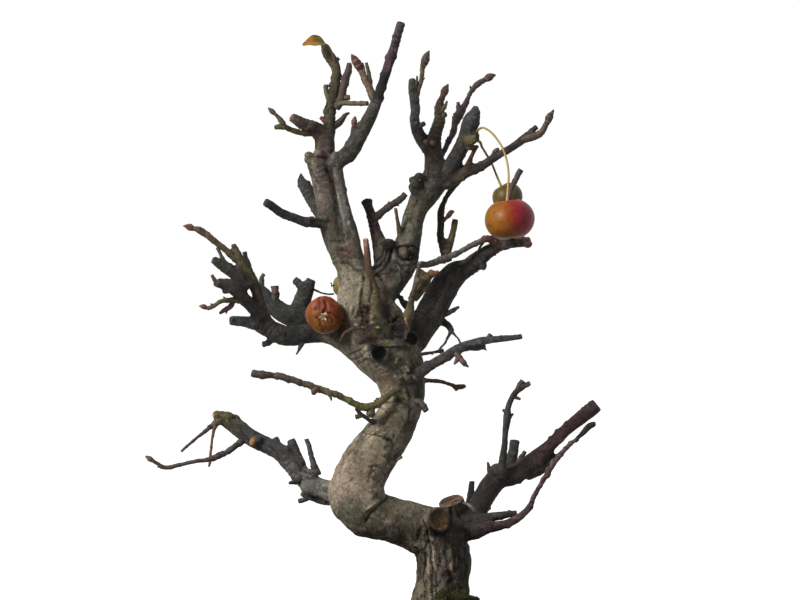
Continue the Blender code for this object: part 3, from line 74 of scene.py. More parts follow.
# Each limb: kind, then its stations as (column, row, depth in millimetres, half thickness in squares).
# Depth is positive behind the trunk's plane and negative toward the viewer.
LIMBS = {
    "trunk": ("trunk", [
        (441, 636, 0, 31), (441, 612, 0, 32), (441, 596, 0, 29.5), (442, 575, 0, 26.5), (443, 553, 0, 26.5),
        (433, 536, -1, 26), (411, 526, -4, 24), (389, 519.5, -8, 22.5), (369, 512.5, -10, 26),
        (357, 498, -11, 28.5), (359, 480, -10, 26.5), (368, 463, -8, 26), (380, 446, -5, 24),
        (392, 428, -3, 22.3), (400, 411, 0, 22), (403, 396, 1, 22), (401, 380, 0, 24.5), (394, 360, -2, 28),
        (381, 338, -3, 31), (370, 315, -2, 29.5), (363, 295, 0, 26), (357, 278, 2, 20), (351, 263, 3, 16)]),
    "root_left": ("trunk", [
        (432, 600, -2, 15), (415, 610, -6, 9.5), (399, 615, -9, 7), (385, 622, -12, 5.5),
        (374, 632, -14, 4)]),
    "root_right": ("trunk", [
        (452, 600, 0, 15), (468, 610, -3, 9.5), (484, 615, -6, 7), (498, 624, -9, 5.5),
        (506, 634, -10, 4)]),
    "root_front": ("trunk", [
        (441, 598, -7, 15), (437, 609, -19, 9), (433, 616, -28, 6.5), (430, 627, -36, 4.5)]),
    "root_front_right": ("trunk", [
        (452, 600, -6, 13), (462, 612, -15, 8), (471, 619, -23, 6), (477, 630, -28, 4)]),
    "root_back": ("trunk", [
        (440, 598, 7, 15), (435, 609, 19, 9), (429, 616, 28, 6.5), (425, 627, 35, 4.5)]),
    "root_back_right": ("trunk", [
        (452, 600, 6, 13), (464, 611, 15, 8), (475, 618, 23, 6), (482, 629, 28, 4)]),
    "web_left": ("trunk", [
        (396, 384, 0, 13), (384, 372, 0, 14), (368, 359, 0, 13.5), (350, 344, 0, 12.5), (330, 334, 2, 9)]),
    "fork": ("bough", [(438, 545, 0, 20), (450, 530, 2, 20), (461, 518, 3, 15), (468, 512, 3, 12)]),
    "fork_pale_twig": ("olive", [
        (463, 503, -13, 1.1), (467.5, 504.5, -16, 1.2), (472, 507.5, -18, 1.9), (475.5, 512, -18, 1.7)]),
    "fork_stub_front": ("sawn", [(428.5, 522, -8, 12), (434, 520.5, -15, 12.4), (440, 519, -20.5, 12.4)]),
    "fork_stub_top": ("sawn", [
        (457, 526, 4, 12), (455, 516, 2.5, 12.5), (453, 508, 0, 13), (450.5, 500.5, -1.8, 13)]),
    "low_left": ("bough", [
        (348, 494, -6, 11), (330, 491, 3, 10.5), (318, 487.5, 8, 10), (305, 479.5, 12, 10),
        (293, 465, 15, 9.7), (279.5, 452, 18, 8.8), (265, 444.5, 20, 8.3), (250, 437, 22, 8.8),
        (237.5, 427.5, 24, 9), (227, 420, 25, 8), (218, 417, 25, 5)]),
    "low_left_lower_twig": ("brown", [
        (246, 438, 22, 3.5), (237, 445, 20, 3.2), (228, 451, 18, 3), (218, 456, 17, 3), (209, 459, 15, 2.4),
        (196, 461, 14, 2), (183, 464, 13, 2.1), (168, 468, 12, 2.2), (158, 464, 11, 2.1),
        (153, 461, 10, 1.8)]),
    "low_left_tip_twig": ("purple", [
        (221, 419, 25, 3), (212, 425.5, 25, 2.4), (197, 437.5, 22, 1.6), (181.5, 451, 18, 1.5)]),
    "low_left_red_twig": ("red", [
        (218, 421, 24, 3), (214, 430, 23, 1.8), (212, 444, 21, 1.3), (210, 462, 19, 1.4),
        (209.3, 467, 18, 0.8)]),
    "low_left_stub_a": ("bough", [
        (318, 475, 10, 4), (312, 460, 11, 3), (308.5, 446, 11, 2.4), (306.8, 438.5, 11, 2.3)]),
    "low_left_stub_b": ("bough", [(301, 466, 14, 6), (296, 453, 17, 5), (291, 440, 19, 4.6)]),
    "low_left_stub_c": ("bough", [(281, 449, 18, 4), (274.5, 438, 19, 3.2)]),
    "low_left_under": ("bough", [
        (336, 501, 4, 5), (325, 502, 9, 4), (314, 499, 12, 3.2), (307, 496.5, 13, 3), (301, 493, 14, 3.2)]),
    "low_left_under_b": ("bough", [(309, 498, 13, 2.5), (298.5, 501, 15, 2.3)]),
    "low_left_thorn": ("bough", [(300, 480, 8, 4), (289, 483, 4, 1.6)]),
    "low_left_orange_bud": ("red", [(254, 438, 18, 2), (252.7, 442, 15, 2.9), (252, 445.5, 14, 2.2)]),
    "thin_left": ("olive", [
        (402, 387, -8, 4), (392, 393, -12, 3.3), (384, 399, -15, 3.1), (375, 405, -17, 3.8),
        (366, 407.5, -18, 4.2), (356, 404, -19, 3.6), (340, 396, -21, 3.2), (320, 389.5, -23, 3.3),
        (301, 382.5, -25, 3.2), (286, 378, -27, 3.4), (271, 375, -28, 3.2), (260, 375, -30, 4.2),
        (251.5, 373, -31, 3.9)]),
    "thin_left_knob": ("olive", [(372, 405, -17, 4), (371, 413, -17, 4), (370.5, 418, -17, 3)]),
    "thin_left_low": ("olive", [
        (380, 424, -8, 3), (369, 420, -13, 2), (360, 413.5, -15, 2), (355.5, 408.5, -16, 1.6)]),
    "thin_left_low_b": ("olive", [(363, 415.5, -14.5, 1.8), (355.5, 417, -15, 2.6)]),
    "thin_left_nub": ("olive", [(384, 399, -15, 2), (376, 399.5, -16, 1.8)]),
    "thin_left_orange_scale": ("red", [
        (318, 388, -24, 2.5), (315, 391.5, -25, 3.2), (313.5, 395, -25, 1.6)]),
    "thin_left_spike": ("olive", [(327, 392, -23, 2.5), (330, 396.5, -23, 1.8), (331.5, 401, -23, 0.7)]),
    "mid_left": ("bough", [
        (362, 338, -2, 14), (346, 338, 0, 12.5), (325, 332.5, 3, 10.5), (305, 334, 2, 10),
        (287, 336, 0, 10.2), (273, 331, -3, 9.5), (260, 325, -6, 7.2), (245, 321.5, -10, 5.7),
        (230, 320.5, -13, 4.6)]),
    "mid_left_rise": ("bough", [
        (278, 334, -3, 8), (268, 325, -5, 7.6), (263, 315, -7, 6.6), (259.5, 302, -9, 5.6),
        (256, 289, -12, 5.8), (250, 277, -14, 6.4), (243, 266, -16, 6), (237.5, 255, -18, 4.4),
        (233.5, 244.5, -19, 2.9)]),
    "mid_left_long_twig": ("olive", [
        (243, 266, -16, 4.5), (234.5, 257.5, -18, 3.6), (225, 249.5, -20, 3.1), (216, 242, -22, 2.9),
        (207, 235, -24, 3.4), (199, 230.5, -25, 3.4), (193, 228.5, -26, 2.4)]),
    "mid_left_back_twig": ("bough", [(254, 284, -12, 3), (249.5, 269, -12, 2.6), (244.3, 252, -12, 2.4)]),
    "mid_left_fine_twig": ("olive", [
        (232, 272, -17, 3), (225, 263, -19, 2.1), (221.5, 256, -20, 1.8), (216.8, 247.5, -21, 1.7)]),
    "mid_left_grey_stub": ("bough", [
        (249, 286, -14, 7), (238, 276, -17, 7), (228, 269, -19, 6.2), (219, 263, -21, 5),
        (212.3, 259.5, -22, 3.8)]),
    "mid_left_low_limb": ("bough", [
        (261, 317, -8, 7), (253, 308, -11, 6.4), (245, 299.5, -15, 6.4), (237, 291, -19, 7),
        (229, 285, -22, 6.5), (221, 284, -24, 4.8), (215, 283.5, -26, 3.6)]),
    "mid_left_low_spur": ("red", [(219, 284, -25, 3), (214.5, 280, -26, 2), (212, 275.5, -26, 1.6)]),
    "mid_left_low_bump": ("bough", [(231, 288, -22, 5), (222.5, 292.5, -23, 2.4)]),
    "mid_left_low_twig": ("olive", [
        (240, 300, -16, 4), (229.5, 300, -19, 2.6), (219.5, 302.5, -22, 2.1), (210, 308, -24, 2.3),
        (206, 308, -24.5, 1.9)]),
    "mid_left_pink_twig": ("red", [
        (234, 300, -17, 2.5), (231, 306, -18, 2.4), (225, 309.5, -19, 2.4), (219, 313, -20, 1.6)]),
    "mid_left_knobs": ("bough", [(272, 338, -1, 5), (267, 343.5, 1, 3.4), (262, 344, 2, 3.2)]),
    "mid_left_thorn": ("bough", [(302, 342, 0, 4), (299.5, 349, -1, 1.8), (296.5, 355, -1, 0.8)]),
    "back_left": ("bough", [
        (362, 316, 5, 12), (345, 318, 9, 11.5), (322, 319, 14, 10.5), (300, 318, 18, 10.5),
        (285, 314, 20, 10), (274, 306, 22, 8.8), (265, 296, 24, 7.6), (258, 286, 25, 4.5)]),
    "back_left_bud_twig": ("bough", [(261, 289, 25, 3), (262, 279, 26, 2.4), (264, 274, 26, 1.8)]),
    "back_left_red_stub": ("red", [(275, 304, 21, 4.5), (275, 294, 21, 3.8), (275, 285.5, 21, 3.9)]),
    "back_left_fork": ("bough", [
        (297, 314, 20, 9), (303, 298, 22, 8.5), (307, 289, 23, 7.5), (311.5, 279.5, 23, 4.5)]),
    "back_left_fork_b": ("bough", [(306, 293, 22, 6), (300, 285, 23, 4.6), (293.8, 279, 24, 4.2)]),
    "back_left_thread": ("purple", [
        (308, 286, 23, 2), (318, 292, 21, 1), (327, 294, 20, 0.9), (333.5, 294, 19, 0.9)]),
    "crown_left_a": ("stem", [
        (357, 280, 2, 15), (347, 262, 3, 13.5), (338, 246, 3, 11.5), (331, 225, 2, 11),
        (326.5, 200, 0, 10.6), (321, 176, -2, 10.4), (318, 163, -3, 10.8), (317.5, 156, -3, 9)]),
    "crown_left_top": ("stem", [
        (319, 170, -2, 8.5), (323, 158, -2, 9.6), (325, 147, -2, 10), (323, 136, -2, 9.5),
        (315, 129, -4, 7.8), (304, 124.5, -8, 6.3), (296, 119.5, -11, 5.2), (291, 117, -12, 4.6)]),
    "crown_left_left_twig": ("olive", [
        (314, 133, -4, 3.4), (308, 134, -6, 2.7), (298, 132, -9, 2.7), (289, 129, -11, 2.6),
        (282, 126.5, -13, 3), (275, 127.8, -15, 2.3)]),
    "crown_left_left_spur": ("olive", [
        (284, 127.5, -13, 3), (282, 122, -14, 3), (278.5, 117, -15, 2), (274.5, 113.5, -16, 1.7)]),
    "crown_left_up": ("olive", [
        (323, 142, -1, 8), (329, 132, 0, 6.5), (329.5, 119, 1, 6.3), (331.5, 105, 2, 6.1),
        (334, 91, 3, 5.5), (335.8, 79, 4, 5), (336, 69, 5, 4.8), (332, 60, 6, 5.8), (327, 53, 6, 5.2),
        (323.5, 46, 6, 3), (321.8, 41.5, 6, 1.6)]),
    "crown_left_up_nub": ("olive", [(334, 62, 6, 3.5), (338.8, 57.5, 6, 1.8)]),
    "crown_left_side": ("olive", [
        (336, 108, 1, 4.5), (341, 100, 0, 4.2), (343, 89, 0, 4.2), (345.5, 79, 1, 4), (348, 72, 2, 3.3),
        (349.5, 62.5, 2, 2.6)]),
    "crown_left_side_knob": ("olive", [(342, 97, 0, 4), (350, 97, -1, 2.5)]),
    "crown_left_side_tip": ("olive", [(345, 82, 1, 3.2), (344.5, 75.5, 1.5, 2.6)]),
    "crown_left_bar": ("olive", [
        (339, 104, -1, 3.2), (346, 102.5, -3, 2.6), (356, 103, -6, 2.3), (367, 103.2, -9, 2.5)]),
    "crown_left_spur_a": ("olive", [(331, 103, 2, 3), (326.5, 93, 2, 2.5), (325.7, 84.5, 2, 2.3)]),
    "crown_left_bump_a": ("olive", [(330, 112, 1, 5), (325.3, 107.5, 0, 3.8)]),
    "crown_left_bump_b": ("red", [(328, 124, 0, 3.5), (320.6, 117.5, -1, 2)]),
    "crown_left_spur_b": ("olive", [
        (333, 126, 1, 4), (341, 120.5, 1, 3.2), (346, 115, 1, 2.2), (349.5, 113, 1, 1)]),
    "crown_left_b": ("stem", [
        (362, 285, 0, 14), (355, 262, -2, 11), (351, 241, -3, 9.2), (348, 225, -3, 7.8),
        (344, 208, -4, 6.4), (340.5, 190, -4, 6), (337.5, 174, -5, 6.4), (335.5, 161, -6, 7.3),
        (336, 155.5, -6, 5.5)]),
    "crown_mid_limb": ("purple", [
        (336, 166, -6, 6.5), (342, 158.5, -7, 8.2), (349, 153.5, -8, 9), (356, 142, -10, 8.6),
        (363, 130, -12, 7.6), (369.5, 118, -14, 7), (374.5, 107, -16, 6), (378, 97, -17, 5),
        (382.4, 84, -19, 5), (387, 69.4, -21, 4.9), (392.7, 52, -23, 4.8), (397.3, 37, -25, 4.6),
        (401.5, 22, -27, 4.8)]),
    "crown_mid_spur": ("olive", [
        (376, 107, -16, 4.5), (373, 97, -15, 4), (369.5, 87, -14, 3.6), (365, 78.5, -13, 3.5),
        (360.8, 70.5, -12, 3)]),
    "crown_mid_spur_b": ("olive", [(372, 94, -14, 2.8), (369.8, 78, -13, 2), (366.2, 62.5, -13, 1.8)]),
    "crown_mid_spur_c": ("olive", [(364.5, 76, -13, 2.2), (361.8, 63.5, -11, 1.5)]),
    "crown_mid_bud_spur": ("purple", [(358, 140, -10, 5), (353.2, 134, -11, 3), (354, 125, -12, 2.5)]),
    "crown_left_stub_back": ("bough", [
        (325, 222, 4, 6), (314, 204, 9, 6), (307, 190, 13, 6.8), (302, 182, 15, 5), (301, 173, 16, 0.8)]),
    "crown_left_stub_front": ("bough", [
        (330, 224, 0, 6), (313, 222.5, -4, 5), (304, 221.5, -7, 4.8), (293, 217.5, -10, 4.5),
        (282.5, 213.5, -12, 4.8), (273, 207, -15, 4.3), (265, 202, -17, 4)]),
    "centre_stub": ("purple", [
        (386, 274, 3, 12), (383, 256, 4, 10), (379, 242, 6, 7.8), (374.5, 228, 8, 5.8), (371, 214, 10, 5),
        (368, 206, 11, 5), (366.5, 200.5, 12, 6.6)]),
    "centre_stub_side": ("purple", [
        (374, 220, 9, 4.6), (380, 213.5, 9, 3.8), (391, 205.5, 9, 3.4), (398, 201, 9, 3.6),
        (406, 194, 9, 3)]),
    "front_orange_twig": ("orange", [
        (378, 322, -14, 6), (376.5, 308, -17, 5.6), (375, 292, -19, 5.2), (371, 279, -20, 4.4),
        (368.4, 266, -21, 3.7), (367, 250, -22, 3.4), (365.4, 238, -23, 3.0)]),
    "centre_back_twig": ("olive", [(402, 240, 6, 5), (398.5, 226, 3, 2.4), (395.5, 208, 0, 2)]),
    "crown_right": ("stem", [
        (372, 312, 0, 16), (381, 297, 2, 14.5), (391, 281, 4, 14.5), (402, 263, 6, 15.5), (407, 246, 8, 14),
        (411.5, 228, 9, 11), (416, 211, 10, 10.8), (423, 198, 11, 13), (431, 187, 12, 14),
        (436, 174, 11, 13), (434, 160, 10, 9.8), (432, 146, 8, 8.8), (432, 139, 8, 7.5)]),
    "crown_right_shoulder": ("bough", [(428, 195, 11, 12), (418, 189, 8, 8.5), (412.5, 184, 6, 6)]),
    "fan_a": ("bough", [
        (431, 152, 8, 7.5), (423, 141, 7, 6.8), (417, 130, 6, 6), (414.5, 120, 5, 5), (415.3, 110, 4, 5),
        (414.3, 100, 3, 5), (413, 89, 2, 4.8), (411.8, 78.5, 1, 3.4)]),
    "fan_a_spur": ("olive", [
        (416, 96, 3, 3.5), (418, 89, 2, 2.7), (420.8, 81, 1, 2.3), (422.2, 72.5, 0, 2.4),
        (423.2, 65, -1, 2.9)]),
    "fan_a_hook": ("purple", [(415.5, 88, 1, 1.8), (416.8, 76, 0, 1)]),
    "fan_a_nub": ("bough", [(416.5, 127, 5, 3.5), (424.2, 123, 3, 2.2)]),
    "fan_b": ("olive", [
        (434, 150, 8, 7.5), (434.5, 139, 6, 7), (436.5, 130, 4, 6.6), (440, 119, 2, 6), (439, 109, 0, 5),
        (440.5, 101.5, -1, 3.8), (443, 95.5, -2, 2.7)]),
    "fan_b_spur": ("olive", [(440.5, 113, 0, 3), (445, 106, -2, 1.9), (447.2, 101.5, -3, 1)]),
    "fan_b_knob": ("olive", [(440, 118, 1, 4), (445.8, 114.5, -1, 2.6)]),
    "fan_c": ("brown", [
        (437, 166, 12, 4.5), (442, 155, 14, 2.7), (448, 143, 16, 2.6), (453, 133, 18, 3),
        (456, 122, 20, 3.8), (460.5, 112.5, 21, 4.6), (465, 104.5, 22, 3), (469.5, 94.5, 23, 2.2),
        (474, 88.5, 24, 2.6), (480, 82.5, 25, 2.9), (485, 80, 26, 2.4)]),
    "fan_c_spur": ("brown", [(460, 113, 21, 3), (457.3, 102.5, 21, 1.7)]),
    "fan_d": ("bough", [
        (441, 181, 10, 9), (450, 168, 8, 8), (459.5, 151, 6, 7.5), (466, 136, 4, 7.8), (471, 122, 2, 9),
        (475, 113, 1, 6), (475.8, 106, 0.5, 2.5)]),
    "fan_d_spur": ("olive", [(466, 140, 1, 6), (473, 139.5, -3, 5.2), (478, 137, -5, 3.6)]),
    "fan_e": ("bough", [
        (440, 181, 11, 9.5), (452, 177, 10, 9), (465, 172.3, 8, 6.8), (480, 167, 5, 4.7),
        (493, 158.5, 1, 4.2), (508, 149.8, -4, 3.8), (521, 141, -8, 4), (530, 133.2, -11, 3.5),
        (537, 126.3, -12, 2.8)]),
    "fan_e_tip": ("red", [
        (522, 140, -8, 4), (531, 137.5, -11, 4.3), (538, 135, -12, 4), (543, 130, -13, 3.1),
        (547, 123, -14, 2.7)]),
    "fan_e_red_spur": ("red", [
        (467, 171, 7, 5), (470, 160, 5, 2.9), (474, 151.5, 4, 2.1), (478, 145.5, 2, 2)]),
    "fan_e_bud_spur": ("olive", [(490, 161, 2, 3), (495.5, 151, 0, 2.2), (499, 148.8, -1, 1.7)]),
    "fan_e_under": ("olive", [(456, 178, 8, 6), (465.5, 178.5, 6, 2.4)]),
    "knuckle_back_twig": ("olive", [
        (447, 262, 16, 5.5), (443.5, 247, 17, 5), (440.5, 237, 17, 3.9), (440.8, 224, 17, 3.6),
        (441, 211, 17, 3.5), (446, 198, 18, 2.8), (453, 188, 19, 2.9), (461, 179.5, 20, 2.5)]),
    "knuckle_back_stub": ("olive", [
        (446, 252, 16, 5), (450.5, 241, 17, 3.8), (453.3, 231, 18, 3), (455.2, 219.5, 19, 3.2)]),
    "knuckle_back_bud": ("red", [
        (441, 222, 17, 2.5), (446, 218.5, 15, 1.8), (450.5, 212.8, 14, 2.4), (454, 211, 13.5, 0.9)]),
    "right_bough": ("bough", [
        (392, 350, 0, 16), (409, 342, 6, 16), (423, 324, 12, 15), (435.5, 303, 18, 15), (447, 283, 21, 14),
        (458, 272, 22, 11.5), (467, 268, 21, 9.4), (477, 261, 20, 8.8), (487, 252.5, 18, 7),
        (498, 246.5, 15, 5.8), (511, 243, 12, 5), (522, 242.5, 10, 4.8), (530.5, 240.5, 9, 4.6)]),
    "right_bough_knob": ("bough", [(478, 263, 19, 5), (486, 268, 18, 3.6)]),
    "right_bough_red_knob": ("red", [(500, 246, 14, 5), (493, 240.5, 11, 4.6), (487.5, 238.5, 9, 3.4)]),
    "right_twig": ("olive", [
        (413, 264, 5, 4.5), (423, 265, 7, 3.2), (434, 262, 9, 3.6), (445, 258.5, 11, 3.6),
        (457, 253, 12, 3), (469, 247, 13, 2.8), (480, 241.5, 12, 3), (489, 238.5, 11, 3.4)]),
    "right_thin_link": ("olive", [(476, 258, 18, 2), (479, 250, 15.5, 1), (483, 243, 12.5, 1.6)]),
    "fruit_side_stub": ("purple", [
        (509, 243, 11, 4), (506, 228, -1, 3), (507, 208, -4, 2.6), (513, 186, -5, 2.7),
        (521.3, 169.5, -5, 3)]),
    "right_spur_knob": ("bough", [(436, 320, 17, 5), (447, 324, 15, 3.8), (452, 332, 13, 3.5)]),
    "right_spur_upper": ("bough", [(436, 316, 16, 4), (448, 313, 15, 2.6), (459.5, 307, 14, 1.6)]),
    "right_spur_thread_a": ("brown", [(451, 331, 13, 2), (445, 342, 10, 1.1), (438, 351, 7, 1.1)]),
    "right_spur_thread_b": ("brown", [(452, 332, 13, 2), (456, 336, 12, 1.1), (460, 343, 11, 1.1)]),
    "right_lower": ("bough", [
        (404, 380, -6, 7), (418, 374, -10, 6.2), (429, 366.5, -13, 5.4), (443, 357.8, -16, 5),
        (457, 349.8, -19, 5.2), (470, 344.2, -22, 4.8), (485, 340.4, -24, 3.8), (499, 339, -26, 3.3),
        (511, 337.8, -28, 3.2), (522.5, 336.5, -29, 2.8)]),
    "right_lower_stub": ("bough", [(463, 348, -20, 4), (474, 347.5, -20, 3.3), (486, 346, -20, 3)]),
    "right_lower_bump": ("bough", [(488, 340, -24, 3), (491, 334, -25, 2.6)]),
    "right_lower_scrap": ("brown", [
        (455, 350, -19, 3), (459, 357, -20, 3.4), (464, 362, -21, 2.8), (468.5, 367, -21, 0.9)]),
    "right_lower_scrap_b": ("brown", [
        (460, 357, -20, 2.8), (456, 361, -21, 2.4), (453.5, 364.5, -21, 0.8)]),
    "right_thin": ("brown", [
        (416, 356, 6, 3), (424, 353.8, 8, 1.6), (436, 352, 10, 1.6), (443.5, 350.5, 11, 2.1)]),
    "right_small": ("brown", [
        (404, 378, -4, 6), (413, 380, -3, 4.2), (424, 380.5, 0, 2.6), (438, 381.2, 3, 2.3),
        (450, 384.5, 5, 2.3), (458, 387, 6, 3), (466, 386, 7, 2.5)]),
    "right_small_bud": ("red", [(454, 386, 6, 2.2), (457.5, 391, 6, 1.9)]),
    "trunk_right_nub": ("bough", [(412, 400, -6, 4), (421, 403, -9, 2.8), (426.5, 411, -10, 3)]),
    "trunk_spur": ("pale", [(386, 468, -8, 4.5), (394, 462, -11, 2.2), (402.5, 457, -12, 1.4)]),
    "front_upright": ("olive", [
        (402, 326, -12, 8), (409, 314, -15, 5.8), (411, 303, -16, 3.6), (415, 286, -17, 2.7),
        (418, 271, -18, 2.5), (419.7, 261.5, -18, 2.4)]),
    "front_cut_stub": ("sawn", [(392, 345, -8, 12), (396, 337, -15, 10), (399, 328, -21, 8.6)]),
    "front_low_knuckle": ("stem", [(385, 345, -4, 13), (381, 352, -12, 11), (379.5, 354, -19, 9)]),
    "front_side_knuckle": ("stem", [(398, 347, -2, 12), (408, 341, -10, 9.5), (412, 338, -15, 7.5)]),
    "front_olive_spur": ("olive", [(378, 312, -15, 5), (383, 322, -18, 4.6), (389, 333, -20, 4.6)]),
    "front_spur_cluster": ("olive", [
        (414, 300, -14, 4), (421, 289, -12, 5), (425, 280, -10, 6.2), (429, 276, -9, 4.5),
        (435, 273.5, -9, 2.8), (439, 271, -9, 2.4)]),
    "front_left_spur": ("olive", [(366, 318, -12, 6), (361, 308, -17, 4.2), (358.5, 300, -19, 2.8)]),
    "front_left_spur_b": ("olive", [(368, 330, -13, 6), (361, 322, -17, 4.2), (357, 318, -19, 2.6)]),
    "front_dry_curl": ("red", [
        (361, 328, -24, 1.6), (352, 329, -24, 1.7), (345, 333, -20, 1.3), (340, 341, -17, 0.7)]),
    "gap_black_bud": ("bough", [(408, 306, 8, 5), (402, 301, 3, 3), (401.5, 296.5, 1, 3.4)]),
    "low_right": ("bough", [
        (455, 530, 1, 14), (467, 521, 2, 13), (477, 510, 4, 11.2), (483, 498.5, 6, 11),
        (490.5, 486, 7, 11.2), (500, 477, 8, 11), (512, 475.5, 8, 10), (524, 468.5, 8, 9.4),
        (535.5, 458.5, 8, 8.3), (549, 446.5, 8, 7), (563, 432.5, 9, 6.4), (577, 420.5, 9, 6.6),
        (589, 411, 10, 7.4), (597, 404.5, 10, 7.2)]),
    "low_right_second": ("bough", [
        (526, 473, 9, 8), (539, 469, 9, 6.5), (549, 462.5, 9, 4), (559, 455.5, 9, 3.1),
        (567.5, 446.5, 9, 2.6)]),
    "low_right_purple": ("purple", [
        (462, 531, -1, 11), (474, 531, -5, 9), (486, 527.5, -8, 6.8), (497, 526, -9, 5.2),
        (508, 523.3, -10, 4.2), (520, 516.5, -10, 3.8), (529, 507.5, -9, 3.5), (535, 494.5, -7, 3),
        (544, 479, -4, 2.8), (553.5, 464, -1, 2.7), (561.5, 453.5, 1, 2.7), (569, 445.5, 2, 2.6),
        (577, 438.5, 3, 2.4), (583.5, 432.5, 3, 3), (589, 426, 4, 3.4), (596, 423.8, 4, 3)]),
    "low_right_stub": ("bough", [
        (470, 523, 0, 10), (484, 519, -4, 6.2), (496, 516.3, -5, 4.6), (507, 514.5, -6, 3.6),
        (517, 513, -6, 2.8)]),
    "low_right_upright": ("bough", [
        (501, 477, 4, 6), (502.5, 462, 0, 4.2), (504.5, 445, -3, 3.5), (506, 428, -5, 3.5),
        (507.5, 417, -6, 4.2), (508.5, 407, -7, 3.1), (513, 396, -8, 3.4), (520, 388.5, -10, 3.3),
        (530.5, 383, -12, 2.9)]),
    "low_right_upright_nub": ("bough", [(517, 391, -9, 3), (519.5, 385, -9, 3), (523, 380.5, -9, 2.6)]),
    "low_right_upright_bud": ("red", [(513, 396, -8, 2.6), (520.3, 399.3, -8, 1.3)]),
    "low_right_upright_spur": ("bough", [(508, 419, -6, 2.8), (513.8, 413.5, -6, 1)]),
    "low_right_upright_left": ("bough", [(508, 413, -6, 2.6), (502.6, 409.5, -6, 1.5)]),
    "low_right_cut": ("bough", [
        (508, 475, 11, 8), (511, 463, 13, 6.2), (513.5, 451, 14, 5.2), (514.6, 440, 15, 5.3)]),
    "low_right_peg": ("bough", [(517, 468, 10, 4), (520, 460, 11, 2.4), (525, 451.3, 12, 2.2)]),
    "low_right_left_peg": ("bough", [
        (466, 514, 7, 5), (468.8, 502, 9, 3.5), (471, 491, 10, 3.4), (472, 481, 11, 2.9)]),
    "low_right_thorn": ("bough", [(490, 473, 7, 3), (487.6, 462, 6, 0.9)]),
}

# Pointed winter buds: stations as above, from the twig's end to the tip.
BUDS = {
    "bud_low_left": [
        (154, 461.5, 10, 1.7), (150, 459, 10, 2.8), (147.5, 457.3, 10, 1.9), (145, 456, 10, 0.5)],
    "bud_long_twig": [
        (194, 229, -26, 2.2), (190, 227.3, -26, 3.6), (186.5, 226.3, -27, 2.2), (183, 226, -27, 0.5)],
    "bud_low_twig": [(207, 308, -24, 1.8), (203.3, 306.6, -25, 2.6), (199, 306, -25, 0.5)],
    "bud_left_spur": [(275.5, 114.5, -16, 1.6), (272, 111.3, -16, 2.7), (268, 107.6, -17, 0.5)],
    "bud_mid_spur": [
        (361.5, 72, -12, 2.8), (357.5, 64, -12, 4.4), (354, 58.5, -12, 3.4), (351.3, 54, -12, 0.5)],
    "bud_mid_limb": [(354, 126, -12, 2.3), (354.3, 121, -12, 3), (355.3, 116, -12, 0.5)],
    "bud_fan_a": [(423, 66.5, -1, 2.8), (425.3, 60, -1, 4.3), (427, 55, -1, 3), (429.5, 50.6, -1, 0.5)],
    "bud_fan_b": [(442.5, 97, -2, 2.6), (444.8, 91, -2, 4), (446.6, 87, -3, 2.4), (448.5, 84, -3, 0.5)],
    "bud_fan_c": [(484, 80.4, 26, 2.4), (489, 77.4, 26, 4), (492.5, 75.8, 27, 2.6), (496, 75, 27, 0.5)],
    "bud_fan_e": [
        (546.5, 124.5, -14, 2.6), (549.3, 117.5, -14, 3.9), (551.5, 113.6, -14, 2.4),
        (554, 109.5, -14, 0.5)],
}

# Tray
GAP = 0.0003
EDGE = 0.001
LIP_HEIGHT = 0.009
LIP_REACH = 0.0065
BELLY_REACH = 0.0125
BELLY_HEIGHT = 0.008
BASE_REACH = 0.019
FLOOR = 0.006
FLOOR_RADIUS = 0.070
WALL_FOOT = (0.077, 0.015)
WALL_TOP = (0.089, 0.054)
FOOT_HEIGHT = 0.006
FOOT_LENGTH = 0.030
FOOT_WIDTH = 0.012
FOOT_PLACES = ((0.046, 0.040), (-0.046, 0.040), (0.046, -0.040), (-0.046, -0.040))
FOOT_TURN = math.radians(24)
FOOT_BEVEL = 0.0012
DRAIN_RADIUS = 0.007
DRAIN_PLACES = {"left": -0.034, "right": 0.034}
SOIL_RELIEF = 0.0008
SOIL_ROOM = 0.0006
BROAD_SWELL = 0.006
NARROW_SWELL = 0.0035

# Fruits: centre on the drawing, direction toward the stalk, width and height in metres, and how withered
FRUITS = {
    "red_fruit": ((509.6, 219.3, -20), (-0.14, 0.0, 1.0), 0.0251, 0.0214, 0.0),
    "green_fruit": ((507.4, 197.0, 7), (-0.5, 0.0, 0.85), 0.0153, 0.0145, 0.0),
    "brown_fruit": ((325.0, 315.0, -11.0), (0.12, 1.0, 0.12), 0.0190, 0.0180, 0.05),
    "yellow_fruit": ((345.0, 286.0, 18.3), (1.0, 0.15, -0.05), 0.0118, 0.0130, 0.0),
}
STALK_HOLLOW = 0.12
CALYX_HOLLOW = 0.07
HOLLOW_WIDTH = 0.3
CALYX_WIDTH = 0.26
CALYX_POINTS = 5
WRINKLE_COUNT = 4
WRINKLE_TWIST = 260
WRINKLE_CLEAR = 0.25

